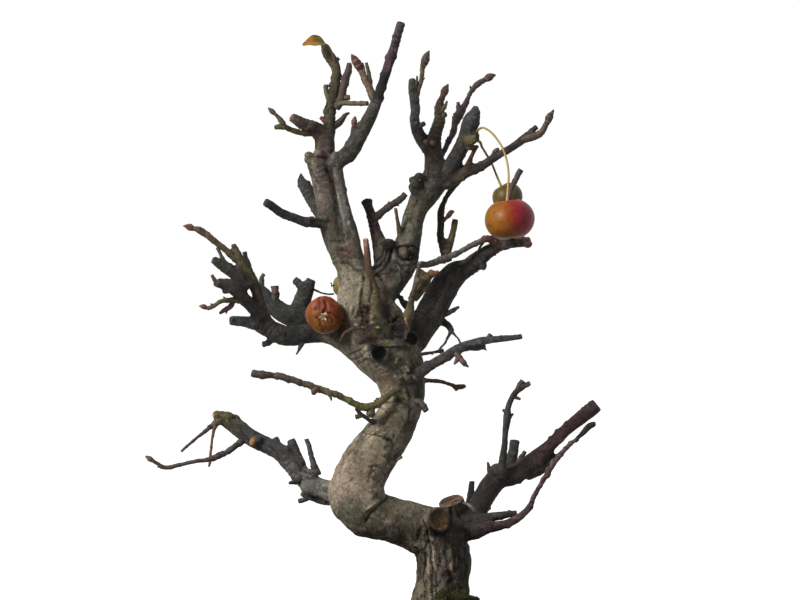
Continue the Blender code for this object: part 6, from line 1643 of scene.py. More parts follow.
def scale_parts(name, stations, rng):
    """One winter bud: overlapping scales with pale hairy edges."""
    centres, radii, lengths = route(stations, SCALE_SPACING)
    share = lengths / lengths[-1]
    turns = circle(SCALE_SIDES)[None]
    phase = rng.uniform(0, 2 * math.pi)
    stage = SCALE_TURNS * share[:, None] + 0.5 * np.cos(turns + phase) + 0.25 * np.cos(2 * turns - phase)
    step = stage - np.floor(stage)
    rings = radii[:, None] * (1 + 0.13 * (step - 0.45))
    points, faces = sweep(centres, rings, SCALE_SIDES)
    edge = fade(step, 0.72, 1.0).reshape(-1)
    edge = np.concatenate([edge, [0, 0.6]])[:, None]
    dark = tint(BUD_TINTS.get(name, PLAIN_BUD))
    pale = blend(dark, tint(SCALE_EDGE), 0.4)
    colours = dark * (1 - edge) + pale * edge
    colours = colours * uneven(points, (0.25, 0.0007, 60))
    return points, faces, bounded(colours)


def make_twigs(limbs, material):
    """Make the thin limbs as one piece."""
    rng = np.random.default_rng(11)
    parts = [part for limb in limbs if limb["widest"] < WOOD_WIDTH for part in twig_parts(limb, rng)]
    return finish_piece(make_mesh("twigs", *join(parts)), material, "bark")


def make_buds(material):
    """Make the winter buds as one piece."""
    rng = np.random.default_rng(12)
    parts = [scale_parts(name, stations, rng) for name, stations in BUDS.items()]
    return finish_piece(make_mesh("winter_buds", *join(parts)), material, "bark")


def grid_faces(rows, columns, wrap=True):
    """Faces between rows of points, closed around when wrapped."""
    faces = []
    for row in range(rows - 1):
        for column in range(columns if wrap else columns - 1):
            here = row * columns + column
            beside = row * columns + (column + 1) % columns
            faces.append((here, beside, beside + columns, here + columns))
    return faces


def round_body(profile, sides):
    """Turn a profile of (radius, height) with its two ends on the axis, in numpy."""
    turns = circle(sides)
    middle = np.array(profile[1:-1])
    rings = np.stack([
        middle[:, :1] * np.cos(turns), middle[:, :1] * np.sin(turns), middle[:, 1:] + 0 * turns,
    ], axis=2)
    poles = np.array([(0, 0, profile[0][1]), (0, 0, profile[-1][1])])
    points = np.concatenate([rings.reshape(-1, 3), poles])
    faces = [tuple(reversed(face)) for face in grid_faces(len(middle), sides)]
    first, last = len(middle) * sides, len(middle) * sides + 1
    low = (len(middle) - 1) * sides
    for side in range(sides):
        beside = (side + 1) % sides
        faces.append((side, beside, first))
        faces.append((low + beside, low + side, last))
    return points, faces


def turn_toward(points, direction, centre):
    """Turn points so that their Z axis points in a direction, and move them to a centre."""
    pose = np.array(Vector(direction).to_track_quat("Z", "Y").to_matrix())
    return points @ pose.T + centre


def fruit_height(radius, side, width, height):
    """Height of a fruit's skin at a radius, on its stalk side (1) or calyx side (-1)."""
    share = min(1.0, 2 * radius / width)
    dome = height / 2 * math.sqrt(max(0.0, 1.0 - share ** 2))
    depth = STALK_HOLLOW if side > 0 else CALYX_HOLLOW
    return side * (dome - height * depth * math.exp(-(share / HOLLOW_WIDTH) ** 2))


def red_colours(out, points):
    """Orange skin that turns red and then crimson to the right, olive yellow below."""
    streak = noise(out * (9, 9, 2.2), 1.0, 101)
    blotch = noise(out, 0.45, 102)
    blush = out[:, 0] + 0.25 * out[:, 2] + 0.132 * streak + 0.18 * blotch
    red = fade(blush, -0.25, 0.35)[:, None]
    crimson = fade(blush, 0.12, 0.5)[:, None]
    low = fade(-out[:, 2] + 0.12 * blotch, 0.45, 0.95)[:, None]
    left = fade(-out[:, 0] - 0.1 * out[:, 2], 0.45, 1.0)[:, None]
    colours = np.tile(tint((140, 80, 5)), (len(out), 1))
    colours = blend(colours, tint((140, 38, 12)), red)
    colours = blend(colours, tint((146, 28, 40)), crimson)
    colours = blend(colours, tint((124, 90, 14)), left * 0.6)
    colours = blend(colours, tint((112, 76, 22)), low * 0.8)
    speck = fade(noise(points, 0.0011, 103), 0.35, 0.75)[:, None]
    fleck = fade(noise(points * (1, 1, 0.6), 0.0016, 104), 0.35, 0.6)[:, None]
    colours *= 1 - 0.3 * fleck
    return blend(colours, tint((176, 118, 30)), speck * 0.25 * (1 - 0.8 * crimson))


def green_colours(out, points):
    """Dull olive skin with a brown cheek."""
    cheek = fade(out[:, 0] * 0.4 - out[:, 2] + 0.4 * noise(out, 0.5, 111), -0.2, 0.8)[:, None]
    colours = np.tile(tint((86, 70, 24)), (len(out), 1))
    colours = blend(colours, tint((122, 88, 34)), cheek)
    return colours * uneven(points, (0.2, 0.0012, 112))


def brown_colours(out, points):
    """Withered orange-brown skin, redder above and ochre below."""
    high = fade(out[:, 2] + 0.35 * noise(out, 0.6, 121), -0.5, 0.6)[:, None]
    colours = np.tile(tint((128, 78, 18)), (len(out), 1))
    colours = blend(colours, tint((134, 52, 18)), high)
    bruise = fade(noise(out, 0.35, 122), 0.2, 0.7)[:, None]
    colours = blend(colours, tint((88, 36, 20)), bruise * 0.7)
    pale = fade(noise(out, 0.3, 123), 0.35, 0.8)[:, None]
    return blend(colours, tint((178, 100, 44)), pale * 0.7)


def yellow_colours(out, points):
    """Olive yellow skin."""
    colours = np.tile(tint((116, 100, 40)), (len(out), 1))
    return colours * uneven(out, (0.3, 0.5, 131))


FRUIT_COLOURS = {
    "red_fruit": red_colours,
    "green_fruit": green_colours,
    "brown_fruit": brown_colours,
    "yellow_fruit": yellow_colours,
}
FRUIT_RINGS = 96
FRUIT_SIDES = 160

# Folds on the front of the withered fruit: points on the drawing, half width in squares and darkness, which
# is painted shade in the fold
FRUIT_FOLDS = (
    ([(319, 297), (320, 303), (320, 309)], 1.5, 0.45),
    ([(324, 311), (327, 306), (325, 300)], 1.6, 0.5),
    ([(326, 314), (331, 313), (337, 317), (342, 321)], 1.3, 0.4),
    ([(327, 309), (330, 314), (333, 322)], 1.1, 0.35),
    ([(320, 320), (321, 326), (325, 332)], 1.3, 0.4),
    ([(315.5, 308.5), (315, 307), (316, 305)], 2.0, 0.85),
    ([(324, 311), (324.5, 313)], 1.7, 0.7),
    ([(317, 318), (320, 319)], 1.4, 0.5),
)


def make_fruit(name, skin, slot):
    """Make one fruit with its hollows, unevenness and, where it is dry, its folds."""
    centre, toward_stalk, width, height, wrinkle = FRUITS[name]
    profile = []
    for ring in range(FRUIT_RINGS + 1):
        angle = math.pi / 2 - math.pi * ring / FRUIT_RINGS
        radius = max(0.0, width / 2 * math.cos(angle))
        profile.append((radius, fruit_height(radius, math.copysign(1.0, angle), width, height)))
    points, faces = round_body(profile, FRUIT_SIDES)
    turn = np.arctan2(points[:, 1], points[:, 0])
    reach = np.hypot(points[:, 0], points[:, 1])
    share = clamp(reach / (WRINKLE_CLEAR * width))
    ripple = np.cos(WRINKLE_COUNT * turn + WRINKLE_TWIST * points[:, 2])
    ray = points / np.linalg.norm(points, axis=1)[:, None]
    around = np.stack([np.cos(turn), np.sin(turn), 0.3 * points[:, 2] / height], axis=1)
    folds = 1 - 2 * np.abs(noise(around * (1.0, 1.0, 3.0), 0.6, 141))
    lump = noise(ray, 0.7, 142)
    creased = 0.3 * ripple + 0.7 * lump - 0.5 * fade(folds, 0.5, 0.98)
    shift = 0.02 * lump * share + wrinkle * creased * share
    points[:, :2] *= (1 + shift)[:, None]
    middle = place(*centre)
    points = turn_toward(points, toward_stalk, middle)
    out = (points - middle) / (width / 2)
    colours = FRUIT_COLOURS[name](out, points)
    if wrinkle:
        # Painted shade in the sunken creases.
        painted_crease_shade = fade(folds, 0.55, 0.98) * share
        colours *= (1 - 0.3 * painted_crease_shade)[:, None]
        front = points[:, 1] < middle[1]
        for line, half_width, dark in FRUIT_FOLDS:
            gap = near_line(drawn(points), line) + 0.5 * noise(points, 0.002, 143)
            fold = np.exp(-(gap / half_width) ** 2) * front
            points += (middle - points) * (0.08 * fold)[:, None]
            # Painted shade along each fold.
            colours *= (1 - dark * fold)[:, None]
    hollow = (1 - fade(reach, 0.06 * width, 0.2 * width))[:, None]
    colours = blend(colours, tint((92, 66, 30)), hollow * 0.55)
    item = make_mesh(f"{name}_skin", points, faces, bounded(colours))
    return finish_piece(item, skin, slot, name)


SEPAL_SIDES = 10
CORE_STEPS = 10
CALYX_TINTS = {
    "red_fruit": ((44, 34, 26), (84, 64, 46)),
    "green_fruit": ((60, 48, 30), (100, 84, 56)),
    "brown_fruit": ((96, 66, 44), (214, 182, 148)),
    "yellow_fruit": ((24, 22, 20), (38, 34, 30)),
}


def make_calyx(name, material):
    """Make the dried sepals that curl out of a fruit's lower end."""
    centre, toward_stalk, width, height, _ = FRUITS[name]
    rng = np.random.default_rng(20)
    base, tip = (tint(colour) for colour in CALYX_TINTS[name])
    widest = CALYX_WIDTH * width / 2
    low = fruit_height(widest, -1.0, width, height) - GAP
    parts = []
    for number in range(CALYX_POINTS):
        turn = 2 * math.pi * (number + rng.uniform(-0.3, 0.3)) / CALYX_POINTS
        reach = widest * rng.uniform(0.45, 0.95)
        lift = rng.uniform(0.5, 1.1) * reach
        line = np.array([
            (0.0, 0.0, low - 0.0002),
            (0.35 * reach, 0.0, low - 0.0005),
            (0.75 * reach, 0.0, low - 0.0004 - 0.3 * lift),
            (1.05 * reach, 0.1 * reach, low - 0.0004 - 0.6 * lift),
            (1.15 * reach, 0.25 * reach, low - 0.0004 - lift),
        ])
        cosine, sine = math.cos(turn), math.sin(turn)
        fine = smooth(line, 5) @ np.array([(cosine, sine, 0), (-sine, cosine, 0), (0, 0, 1)])
        share = np.linspace(0, 1, len(fine))
        broad = reach * (0.34 * np.sin(math.pi * clamp(share * 0.8 + 0.15)) + 0.02)
        ring_points, faces = sweep(fine, broad, SEPAL_SIDES)
        ring_of = ring_numbers(len(fine), SEPAL_SIDES)
        flat = fine[ring_of]
        ring_points[:, 2] = flat[:, 2] + 0.3 * (ring_points[:, 2] - flat[:, 2])
        colours = blend(base, tip, share[ring_of][:, None])
        mottled = colours * uneven(ring_points, (0.35, 0.0009, 150 + number))
        parts.append((ring_points, faces, bounded(mottled)))
    core, faces = round_body(half_circle(CORE_STEPS), 2 * CORE_STEPS)
    core *= (0.42 * widest, 0.3 * widest, 0.34 * widest)
    core *= uneven(core, (0.35, 0.0008, 149))
    core += (0.12 * widest, -0.1 * widest, fruit_height(0.3 * widest, -1.0, width, height) - 0.1 * widest)
    level = fade(noise(core, 0.0007, 148), -0.3, 0.3)[:, None]
    parts.append((core, faces, bounded(blend(base, tip, level))))
    points, faces, colours = join(parts)
    points = turn_toward(points, toward_stalk, place(*centre))
    item = make_mesh(f"{name}_sepals", points, faces, colours)
    return finish_piece(item, material, "calyx", f"{name}_calyx")


STALK_TINTS = {
    "red_fruit_stalk": ((146, 136, 66), (204, 160, 108)),
    "green_fruit_stalk": ((134, 124, 52), (150, 152, 62)),
    "brown_fruit_stalk": ((86, 60, 40), (86, 60, 40)),
    "yellow_fruit_stalk": ((30, 26, 24), (60, 52, 30)),
}


def make_stalk(name, material):
    """Make one fruit stalk with swollen ends."""
    centres, radii, lengths = route(STALKS[name], STALK_SPACING)
    share = lengths / lengths[-1]
    radii = radii * (1 + 0.07 * noise(centres, 0.002, 160))
    points, faces = sweep(centres, radii, STALK_SIDES)
    ring_of = ring_numbers(len(centres), STALK_SIDES)
    start, end = (tint(colour) for colour in STALK_TINTS[name])
    colours = blend(start, end, share[ring_of][:, None])
    warm = fade(noise(points, 0.005, 161), 0.0, 0.8)[:, None]
    colours = blend(colours, tint((150, 84, 60)) * 0.9, 0.4 * warm)
    colours *= uneven(points, (0.15, 0.0012, 162))
    base = (1 - fade(share, 0.0, 0.05))[ring_of][:, None]
    colours = blend(colours, tint((70, 54, 36)), base * 0.7)
    item = make_mesh(f"{name}_skin", points, faces, bounded(colours))
    return finish_piece(item, material, "stalk", name)


LEAF_ROWS = 56
LEAF_COLUMNS = 25
LEAF_SKIN = 0.00032
LEAF_TEETH = 11
LEAF_TOOTH = 0.04
LEAF_WAVE = 0.0002
LEAF_VEINS = 6
VEIN_DEPTH = 0.00012
VEIN_SLANT = 0.28
LEAF_GREEN = (124, 126, 44)
LEAF_ORANGE = (166, 112, 38)
PETIOLE_TINT = (112, 82, 58)


def make_leaf(material):
    """Make the folded leaf with veins, toothed edge and stalk."""
    base, tip = place(*LEAF_BASE), place(*LEAF_TIP)
    along = (tip - base) / np.linalg.norm(tip - base)
    across = np.cross(LEAF_FACING, along)
    across /= np.linalg.norm(across)
    up = np.cross(along, across)
    share = np.repeat(np.linspace(0.0, 1.0, LEAF_ROWS), LEAF_COLUMNS)
    side = np.tile(np.linspace(-1.0, 1.0, LEAF_COLUMNS), LEAF_ROWS)
    width = LEAF_POINT + LEAF_HALF_WIDTH * np.sin(math.pi * share ** LEAF_FULLEST)
    teeth = 1 - LEAF_TOOTH * np.abs(side) ** 6 * (share * LEAF_TEETH % 1.0)
    rise = LEAF_FOLD * width * np.abs(side) + LEAF_ARCH * np.sin(math.pi * share)
    rise += LEAF_WAVE * np.sin(5 * math.pi * share + 1.5 * side) * np.abs(side)
    vein = np.exp(-(side / 0.07) ** 2)
    slant = (share - VEIN_SLANT * np.abs(side)) * LEAF_VEINS % 1.0
    branch = np.exp(-((slant - 0.5) / 0.09) ** 2) * fade(np.abs(side), 0.03, 0.12)
    rise -= VEIN_DEPTH * (vein + 0.7 * branch)
    middle = base + share[:, None] * (tip - base)
    middle = middle + np.outer(side * width * teeth, across) + np.outer(rise, up)
    top, under = middle + up * LEAF_SKIN / 2, middle - up * LEAF_SKIN / 2
    count = len(middle)
    faces = grid_faces(LEAF_ROWS, LEAF_COLUMNS, wrap=False)
    faces += [tuple(count + corner for corner in reversed(face)) for face in faces]
    rim = list(range(LEAF_COLUMNS))
    rim += [row * LEAF_COLUMNS + LEAF_COLUMNS - 1 for row in range(1, LEAF_ROWS)]
    rim += [count - 2 - step for step in range(LEAF_COLUMNS - 1)]
    rim += [row * LEAF_COLUMNS for row in range(LEAF_ROWS - 2, 0, -1)]
    for here, beside in zip(rim, rim[1:] + rim[:1]):
        faces.append((beside, here, count + here, count + beside))
    turned = fade(share + 0.3 * noise(middle, 0.003, 170), 0.2, 0.75)[:, None]
    colours = blend(tint(LEAF_GREEN), tint(LEAF_ORANGE), turned)
    colours = blend(colours, tint((190, 170, 100)), 0.35 * (vein + 0.6 * branch)[:, None])
    brown = fade(np.abs(side) + 0.5 * noise(middle, 0.0016, 171), 0.75, 1.1)[:, None]
    colours = blend(colours, tint((112, 62, 34)), 0.75 * brown)
    spots = fade(noise(middle, 0.0011, 172), 0.35, 0.7)[:, None]
    colours = blend(colours, tint((120, 74, 38)), 0.5 * spots)
    centres, radii, _ = route(PETIOLE, STALK_SPACING)
    stalk_points, stalk_faces = sweep(centres, radii, PETIOLE_SIDES)
    stalk_colours = np.tile(tint(PETIOLE_TINT), (len(stalk_points), 1))
    blade_colours = bounded(np.concatenate([colours, 0.8 * colours]))
    blade = (np.concatenate([top, under]), faces, blade_colours)
    item = make_mesh("folded_leaf", *join([blade, (stalk_points, stalk_faces, stalk_colours)]))
    return finish_piece(item, material, "leaf", "leaf")


MOSS_TUFTS = 3000
TUFT_SIDES = 4
TUFT_HEIGHTS = (0.0006, 0.0019)
TUFT_RADII = (0.00028, 0.00022, 0.00003)
# Brightness of each shoot at its base, middle and tip: painted shade darkening each shoot toward its base.
TUFT_PAINTED_SHADE = (0.35, 0.8, 1.1)
MOSS_STEPS = 30
MOSS_RELIEF = 0.0042
MOSS_DARK = (28, 30, 18)
MOSS_PALE = (150, 150, 72)
# Column where the pale shoots gather most, as painted light.
MOSS_PAINTED_LIGHT_COLUMN = 447


def make_moss(material):
    """Make the moss cushion: a lumpy mat with a coat of short green shoots."""
    rng = np.random.default_rng(30)
    middle = place(*MOSS_PLACE)
    rays, faces = round_body(half_circle(MOSS_STEPS), 2 * MOSS_STEPS)
    points = rays * np.array(MOSS_RADII) * MOSS_BODY + middle
    lumps = MOSS_RELIEF * noise(points, 0.005, 180) + 0.0004 * noise(points, 0.0015, 181)
    points += rays * lumps[:, None]
    points[:, 2] = np.maximum(points[:, 2], SOIL_HEIGHT - 0.001)
    dark, pale = tint(MOSS_DARK), tint(MOSS_PALE)
    base_colours = dark * uneven(points, (0.4, 0.002, 182))
    parts = [(points, faces, bounded(base_colours))]
    turns = rng.uniform(0, 2 * math.pi, MOSS_TUFTS)
    heights = rng.uniform(-0.1, 1.0, MOSS_TUFTS)
    flat = np.sqrt(1 - heights ** 2)
    rays = np.stack([flat * np.cos(turns), flat * np.sin(turns), heights], axis=1)
    roots = rays * np.array(MOSS_RADII) * MOSS_BODY + middle
    roots += rays * (MOSS_RELIEF * noise(roots, 0.005, 180))[:, None]
    # Pale shoots spread by noise are the moss's own colour; gathering more of them on the cushion's left is
    # painted light.
    aside = np.abs(drawn(roots)[:, 0] - MOSS_PAINTED_LIGHT_COLUMN)
    pale_tips_and_painted_light = fade(noise(roots, 0.004, 184), 0.0, 0.5) * (1 - 0.75 * fade(aside, 5, 14))
    # Each shoot darker at its base as painted shade down in the mat.
    level = np.array(TUFT_PAINTED_SHADE)[ring_numbers(len(TUFT_PAINTED_SHADE), TUFT_SIDES)]
    for root, ray, light in zip(roots, rays, pale_tips_and_painted_light):
        if root[2] < SOIL_HEIGHT - 0.0005:
            continue
        lean = ray + rng.uniform(-0.9, 0.9, 3) + (0, 0, 0.4)
        lean /= np.linalg.norm(lean)
        tall = rng.uniform(*TUFT_HEIGHTS)
        tip = root + lean * tall + (0, 0, 0.0002)
        line = np.array([root - ray * 0.0003, root + lean * tall * 0.5, tip])
        tuft_points, tuft_faces = sweep(line, np.array(TUFT_RADII), TUFT_SIDES)
        bright = rng.uniform(0.0, 1.0) ** 3.5 * (0.15 + 0.85 * light)
        shade = blend(dark, pale, 0.06 + 0.94 * bright)
        parts.append((tuft_points, tuft_faces, bounded(level[:, None] * shade)))
    item = make_mesh("moss_shoots", *join(parts))
    return finish_piece(item, material, "moss", "moss_cushion")


GRAIN_COUNT = 5200
GRAIN_SIZES = (0.0006, 0.0019)
GRAIN_REACH = 0.975
SOIL_FLAT = 0.97
SOIL_LUMPS = 0.0007
SOIL_CRUMBS = 0.0005
SOIL_RINGS = 70
SOIL_SIDES = 200
SOIL_TINT = (62, 50, 40)
GRAIN_TINTS = ((72, 58, 46), (96, 76, 56), (122, 98, 70), (58, 48, 42), (140, 124, 104))
TRAY_SIDES = 160
THROWING_WOBBLE = 0.0016
SHARP_ANGLE = math.radians(35)
DRILL_SIDES = 48
BEND_STEPS = 6


def wall_radius(height):
    """Radius of the tray's inner wall at a height."""
    share = (height - WALL_FOOT[1]) / (WALL_TOP[1] - WALL_FOOT[1])
    return WALL_FOOT[0] + share * (WALL_TOP[0] - WALL_FOOT[0])


def soil_top(across, back):
    """Height of the soil's gently uneven top: a broad swell with a narrower one across it."""
    broad = np.sin(across / BROAD_SWELL) * np.cos(back / BROAD_SWELL)
    return SOIL_HEIGHT + SOIL_RELIEF * (broad + np.sin((across - back) / NARROW_SWELL) / 2)


def make_soil(material):
    """Make the bed of soil with loose grains on its top."""
    rng = np.random.default_rng(40)
    oval = np.array((1.0, POT_WIDTH / POT_LENGTH, 1.0))
    edge_height = SOIL_HEIGHT - 2 * SOIL_RELIEF
    top_radius = wall_radius(edge_height) - SOIL_ROOM
    bottom = FOOT_HEIGHT + FLOOR + GAP
    profile = [(top_radius * share, SOIL_HEIGHT) for share in np.linspace(0, SOIL_FLAT, SOIL_RINGS)]
    profile += [
        (top_radius, edge_height),
        (WALL_FOOT[0] - SOIL_ROOM, WALL_FOOT[1]),
        (FLOOR_RADIUS - SOIL_ROOM, bottom),
        (0.0, bottom),
    ]
    points, faces = round_body(profile, SOIL_SIDES)
    points = points * oval
    top = points[:, 2] > SOIL_HEIGHT - SOIL_RELIEF
    relief = SOIL_LUMPS * noise(points, 0.004, 190) + SOIL_CRUMBS * noise(points, 0.0017, 191)
    points[top, 2] = soil_top(points[top, 0], points[top, 1]) + relief[top]
    base = tint(SOIL_TINT) * uneven(points, (0.4, 0.003, 192))
    parts = [(points, faces, bounded(base))]
    grain = bmesh.new()
    bmesh.ops.create_icosphere(grain, subdivisions=1, radius=1.0)
    ball = np.array([vertex.co[:] for vertex in grain.verts])
    ball_faces = [tuple(vertex.index for vertex in face.verts) for face in grain.faces]
    grain.free()
    tones = np.array([tint(tone) for tone in GRAIN_TINTS])
    for _ in range(GRAIN_COUNT):
        turn = rng.uniform(0, 2 * math.pi)
        reach = math.sqrt(rng.uniform()) * top_radius * GRAIN_REACH
        across, back = reach * math.cos(turn), reach * math.sin(turn) * oval[1]
        size = rng.uniform(*GRAIN_SIZES) * rng.uniform(0.6, 1.0, 3)
        jitter = ball * size * (1 + rng.uniform(-0.25, 0.25, (len(ball), 1)))
        height = soil_top(across, back) + 0.2 * size[2]
        colour = tones[rng.integers(len(tones))] * rng.uniform(0.7, 1.15)
        parts.append((jitter + (across, back, height), ball_faces, np.tile(colour, (len(ball), 1))))
    item = make_mesh("soil_grains", *join(parts), shade_smooth=False)
    return finish_piece(item, material, "soil", "soil")


def tray_profile():
    """Profile of the tray with softly rounded edges, from inside the bowl to under the base."""
    rim = POT_LENGTH / 2
    under_lip = POT_HEIGHT - LIP_HEIGHT
    # each corner: distance from the axis, height, and how far its rounding reaches
    corners = [
        (0.0, FOOT_HEIGHT + FLOOR, 0),
        (FLOOR_RADIUS, FOOT_HEIGHT + FLOOR, 0.002),
        (*WALL_FOOT, 0.003),
        (*WALL_TOP, 0.0006),
        (WALL_TOP[0] + EDGE, POT_HEIGHT, 0.0006),
        (rim, POT_HEIGHT, 0.0018),
        (rim, under_lip, 0.0022),
        (rim - LIP_REACH, under_lip - EDGE, 0.0012),
        (rim - BELLY_REACH, FOOT_HEIGHT + BELLY_HEIGHT, 0.004),
        (rim - BASE_REACH, FOOT_HEIGHT, 0.0012),
        (0.0, FOOT_HEIGHT, 0),
    ]
    profile = [corners[0][:2]]
    for before, corner, after in zip(corners, corners[1:], corners[2:]):
        middle, cut = np.array(corner[:2]), corner[2]
        start, end = np.array(before[:2]) - middle, np.array(after[:2]) - middle
        start *= min(0.45, cut / np.linalg.norm(start))
        end *= min(0.45, cut / np.linalg.norm(end))
        for share in np.linspace(0, 1, BEND_STEPS):
            profile.append(tuple(middle + (1 - share) ** 2 * start + share ** 2 * end))
    profile.append(corners[-1][:2])
    return profile


def new_collection(name):
    """Make a collection in the scene."""
    collection = bpy.data.collections.new(name)
    bpy.context.scene.collection.children.link(collection)
    return collection


def add_solid(form, name, place_at, collection):
    """Turn a worked form into an object of a collection, at a place."""
    mesh = bpy.data.meshes.new(name)
    form.to_mesh(mesh)
    form.free()
    item = bpy.data.objects.new(name, mesh)
    item.location = place_at
    collection.objects.link(item)
    return item


def cut_away(item, cutters, operation):
    """Join or cut one object with a collection of others, and remove them."""
    modifier = item.modifiers.new("cut", "BOOLEAN")
    modifier.operand_type = "COLLECTION"
    modifier.collection = cutters
    modifier.operation = operation
    modifier.solver = "EXACT"
    apply_modifiers(item)
    for cutter in list(cutters.objects):
        bpy.data.objects.remove(cutter)
    bpy.data.collections.remove(cutters)


def make_tray(material):
    """Turn the tray in stoneware, squeeze it oval, and give it feet and drainage holes."""
    points, faces = round_body(tray_profile(), TRAY_SIDES)
    points[:, 1] *= POT_WIDTH / POT_LENGTH
    wall = points[:, 2] > FOOT_HEIGHT + FLOOR + EDGE
    wobble = uneven(points[wall], (THROWING_WOBBLE, 0.03, 200))
    points[wall] *= wobble * (1, 1, 0) + (0, 0, 1)
    tray = make_mesh("stoneware_tray", points, faces)
    feet = new_collection("tray_feet")
    foot_tall = FOOT_HEIGHT + FLOOR / 2
    for across, back in FOOT_PLACES:
        foot = bmesh.new()
        bmesh.ops.create_cube(foot, size=1.0)
        bmesh.ops.scale(foot, vec=(FOOT_LENGTH, FOOT_WIDTH, foot_tall), verts=foot.verts)
        edges = [edge for edge in foot.edges if min(vertex.co.z for vertex in edge.verts) < 0]
        bmesh.ops.bevel(foot, geom=edges, offset=FOOT_BEVEL, segments=3, affect="EDGES")
        item = add_solid(foot, "tray_foot", (across, back, foot_tall / 2), feet)
        item.rotation_euler.z = -FOOT_TURN if across * back > 0 else FOOT_TURN
    cut_away(tray, feet, "UNION")
    drills = new_collection("tray_drills")
    for across in DRAIN_PLACES.values():
        drill = bmesh.new()
        bmesh.ops.create_cone(drill, cap_ends=True, segments=DRILL_SIDES, radius1=DRAIN_RADIUS,
                              radius2=DRAIN_RADIUS, depth=4 * FLOOR)
        add_solid(drill, "tray_drill", (across, 0.0, FOOT_HEIGHT + FLOOR), drills)
    cut_away(tray, drills, "DIFFERENCE")
    tray.data.shade_smooth()
    edge = tray.modifiers.new("edges", "WEIGHTED_NORMAL")
    edge.keep_sharp = True
    tray.data.set_sharp_from_angle(angle=SHARP_ANGLE)
    apply_modifiers(tray)
    return finish_piece(tray, material, "stoneware", "pot")


def stoneware_material():
    """Unglazed brown stoneware: mottled, with dark iron specks and fine turning lines."""
    shader = Shader("stoneware", 0.5, 0.4)
    dark, pale = tint((74, 50, 40)), tint((104, 72, 54))
    clay = shader.ramp(shader.noise(0.018, 5.0, 0.6), (0.3, dark), (0.7, pale))
    fleck = shader.ramp(shader.noise(0.0012, 3.0, 0.7), (0.35, 0.75), (0.65, 1.1))
    specks = shader.ramp(shader.cells(0.0035), (0.05, 0.2), (0.12, 1.0))
    shader.colour(shader.times(shader.times(clay, fleck), specks, 0.8))
    gloss = shader.ramp(shader.noise(0.006, 4.0), (0.3, 0.38), (0.7, 0.6))
    shader.link(gloss, shader.surface.inputs["Roughness"])
    shader.relief(shader.noise(0.0016, 4.0, 0.6), 0.00018)
    return shader.material


def soil_material():
    """Matt earth with a crumbly relief."""
    shader = Shader("potting_soil", 0.95, 0.15)
    shader.colour(shader.mottled((0.0008, 5.0, 0.7), (0.3, 0.5), (0.7, 1.3)))
    shader.relief(shader.noise(0.0006, 5.0, 0.7), 0.0003)
    return shader.material


def moss_material():
    """Soft green with a slight sheen."""
    shader = Shader("moss", 0.85, 0.2)
    shader.colour(shader.mottled((0.0012, 3.0), (0.3, 0.7), (0.7, 1.25)))
    return shader.material


def skin_material(name, roughness, dots, dot_colour):
    """Waxy fruit skin with small pale dots."""
    shader = Shader(name, roughness, 0.22)
    mottled = shader.mottled((0.0012, 4.0, 0.6), (0.3, 0.78), (0.7, 1.18))
    dotted = shader.ramp(shader.cells(0.0021), (0.06, dots), (0.13, 0.0))
    shader.colour(shader.mix(mottled, tint(dot_colour), dotted))
    shader.relief(shader.noise(0.0018, 3.0), 0.00012)
    return shader.material


def dry_material(name, roughness=0.8):
    """Dry papery tissue: stored colour with a fine grain."""
    shader = Shader(name, roughness, 0.25)
    shader.colour(shader.mottled((0.0007, 4.0, 0.65), (0.3, 0.65), (0.7, 1.2)))
    shader.relief(shader.noise(0.0005, 4.0, 0.65), 0.00015)
    return shader.material


def net_material():
    """Scuffed black plastic."""
    shader = Shader("net_plastic", 0.5, 0.4)
    shader.colour(shader.ramp(shader.noise(0.002), (0.3, 0.008), (0.75, 0.03)))
    shader.relief(shader.noise(0.0005), 0.00008)
    return shader.material


def dress_nets(material):
    """Give the carried-over drainage nets their plastic."""
    for side in DRAIN_PLACES:
        for item in bpy.data.objects:
            if item.name.split(".")[0] == f"drainage_net_{side}" and item.type == "MESH":
                for row in item.material_slots:
                    row.material = material


def make_camera():
    """Look level at the tree from the front, framed as in the photograph."""
    camera = bpy.data.cameras.new("camera")
    camera.type = "PERSP"
    camera.sensor_width = 36.0
    camera.lens = camera.sensor_width * VIEW_DISTANCE / (VIEW_COLUMNS * SQUARE)
    camera.clip_end = 4 * FLOOR_REACH
    item = bpy.data.objects.new("camera", camera)
    item.location = (
        (EYE_COLUMN - POT_COLUMN) * SQUARE,
        -VIEW_DISTANCE,
        (SOIL_ROW - EYE_ROW) * SQUARE + SOIL_HEIGHT,
    )
    item.rotation_euler = (math.pi / 2, 0.0, 0.0)
    bpy.context.scene.collection.objects.link(item)
    bpy.context.scene.camera = item


def make_light(name, aim, place_at, size, power):
    """Add a soft square lamp that points at a place."""
    lamp = bpy.data.lights.new(name, "AREA")
    lamp.shape = "SQUARE"
    lamp.size = size
    lamp.energy = power
    item = bpy.data.objects.new(name, lamp)
    item.location = place_at
    item.rotation_euler = (Vector(aim) - Vector(place_at)).to_track_quat("-Z", "Y").to_euler()
    bpy.context.scene.collection.objects.link(item)


# Stage: sizes in metres, and lamps as (place, size, power)
FLOOR_REACH = 40.0
FLOOR_SIDES = 64
DOME_STEPS = 24
BACKDROP_GLOW = 1.05
NEAR_GLOW = 0.5
FAR_GLOW = 1.1
NEAR_FLOOR = 0.5
FAR_FLOOR = 3.5
LAMP_AIM = (0.0, 0.0, 0.2)
KEY = ((-1.75, -1.25, 1.45), 0.8, 80)
FILL = ((1.5, -2.2, 0.6), 1.6, 4)
WORLD_LIGHT = 0.16


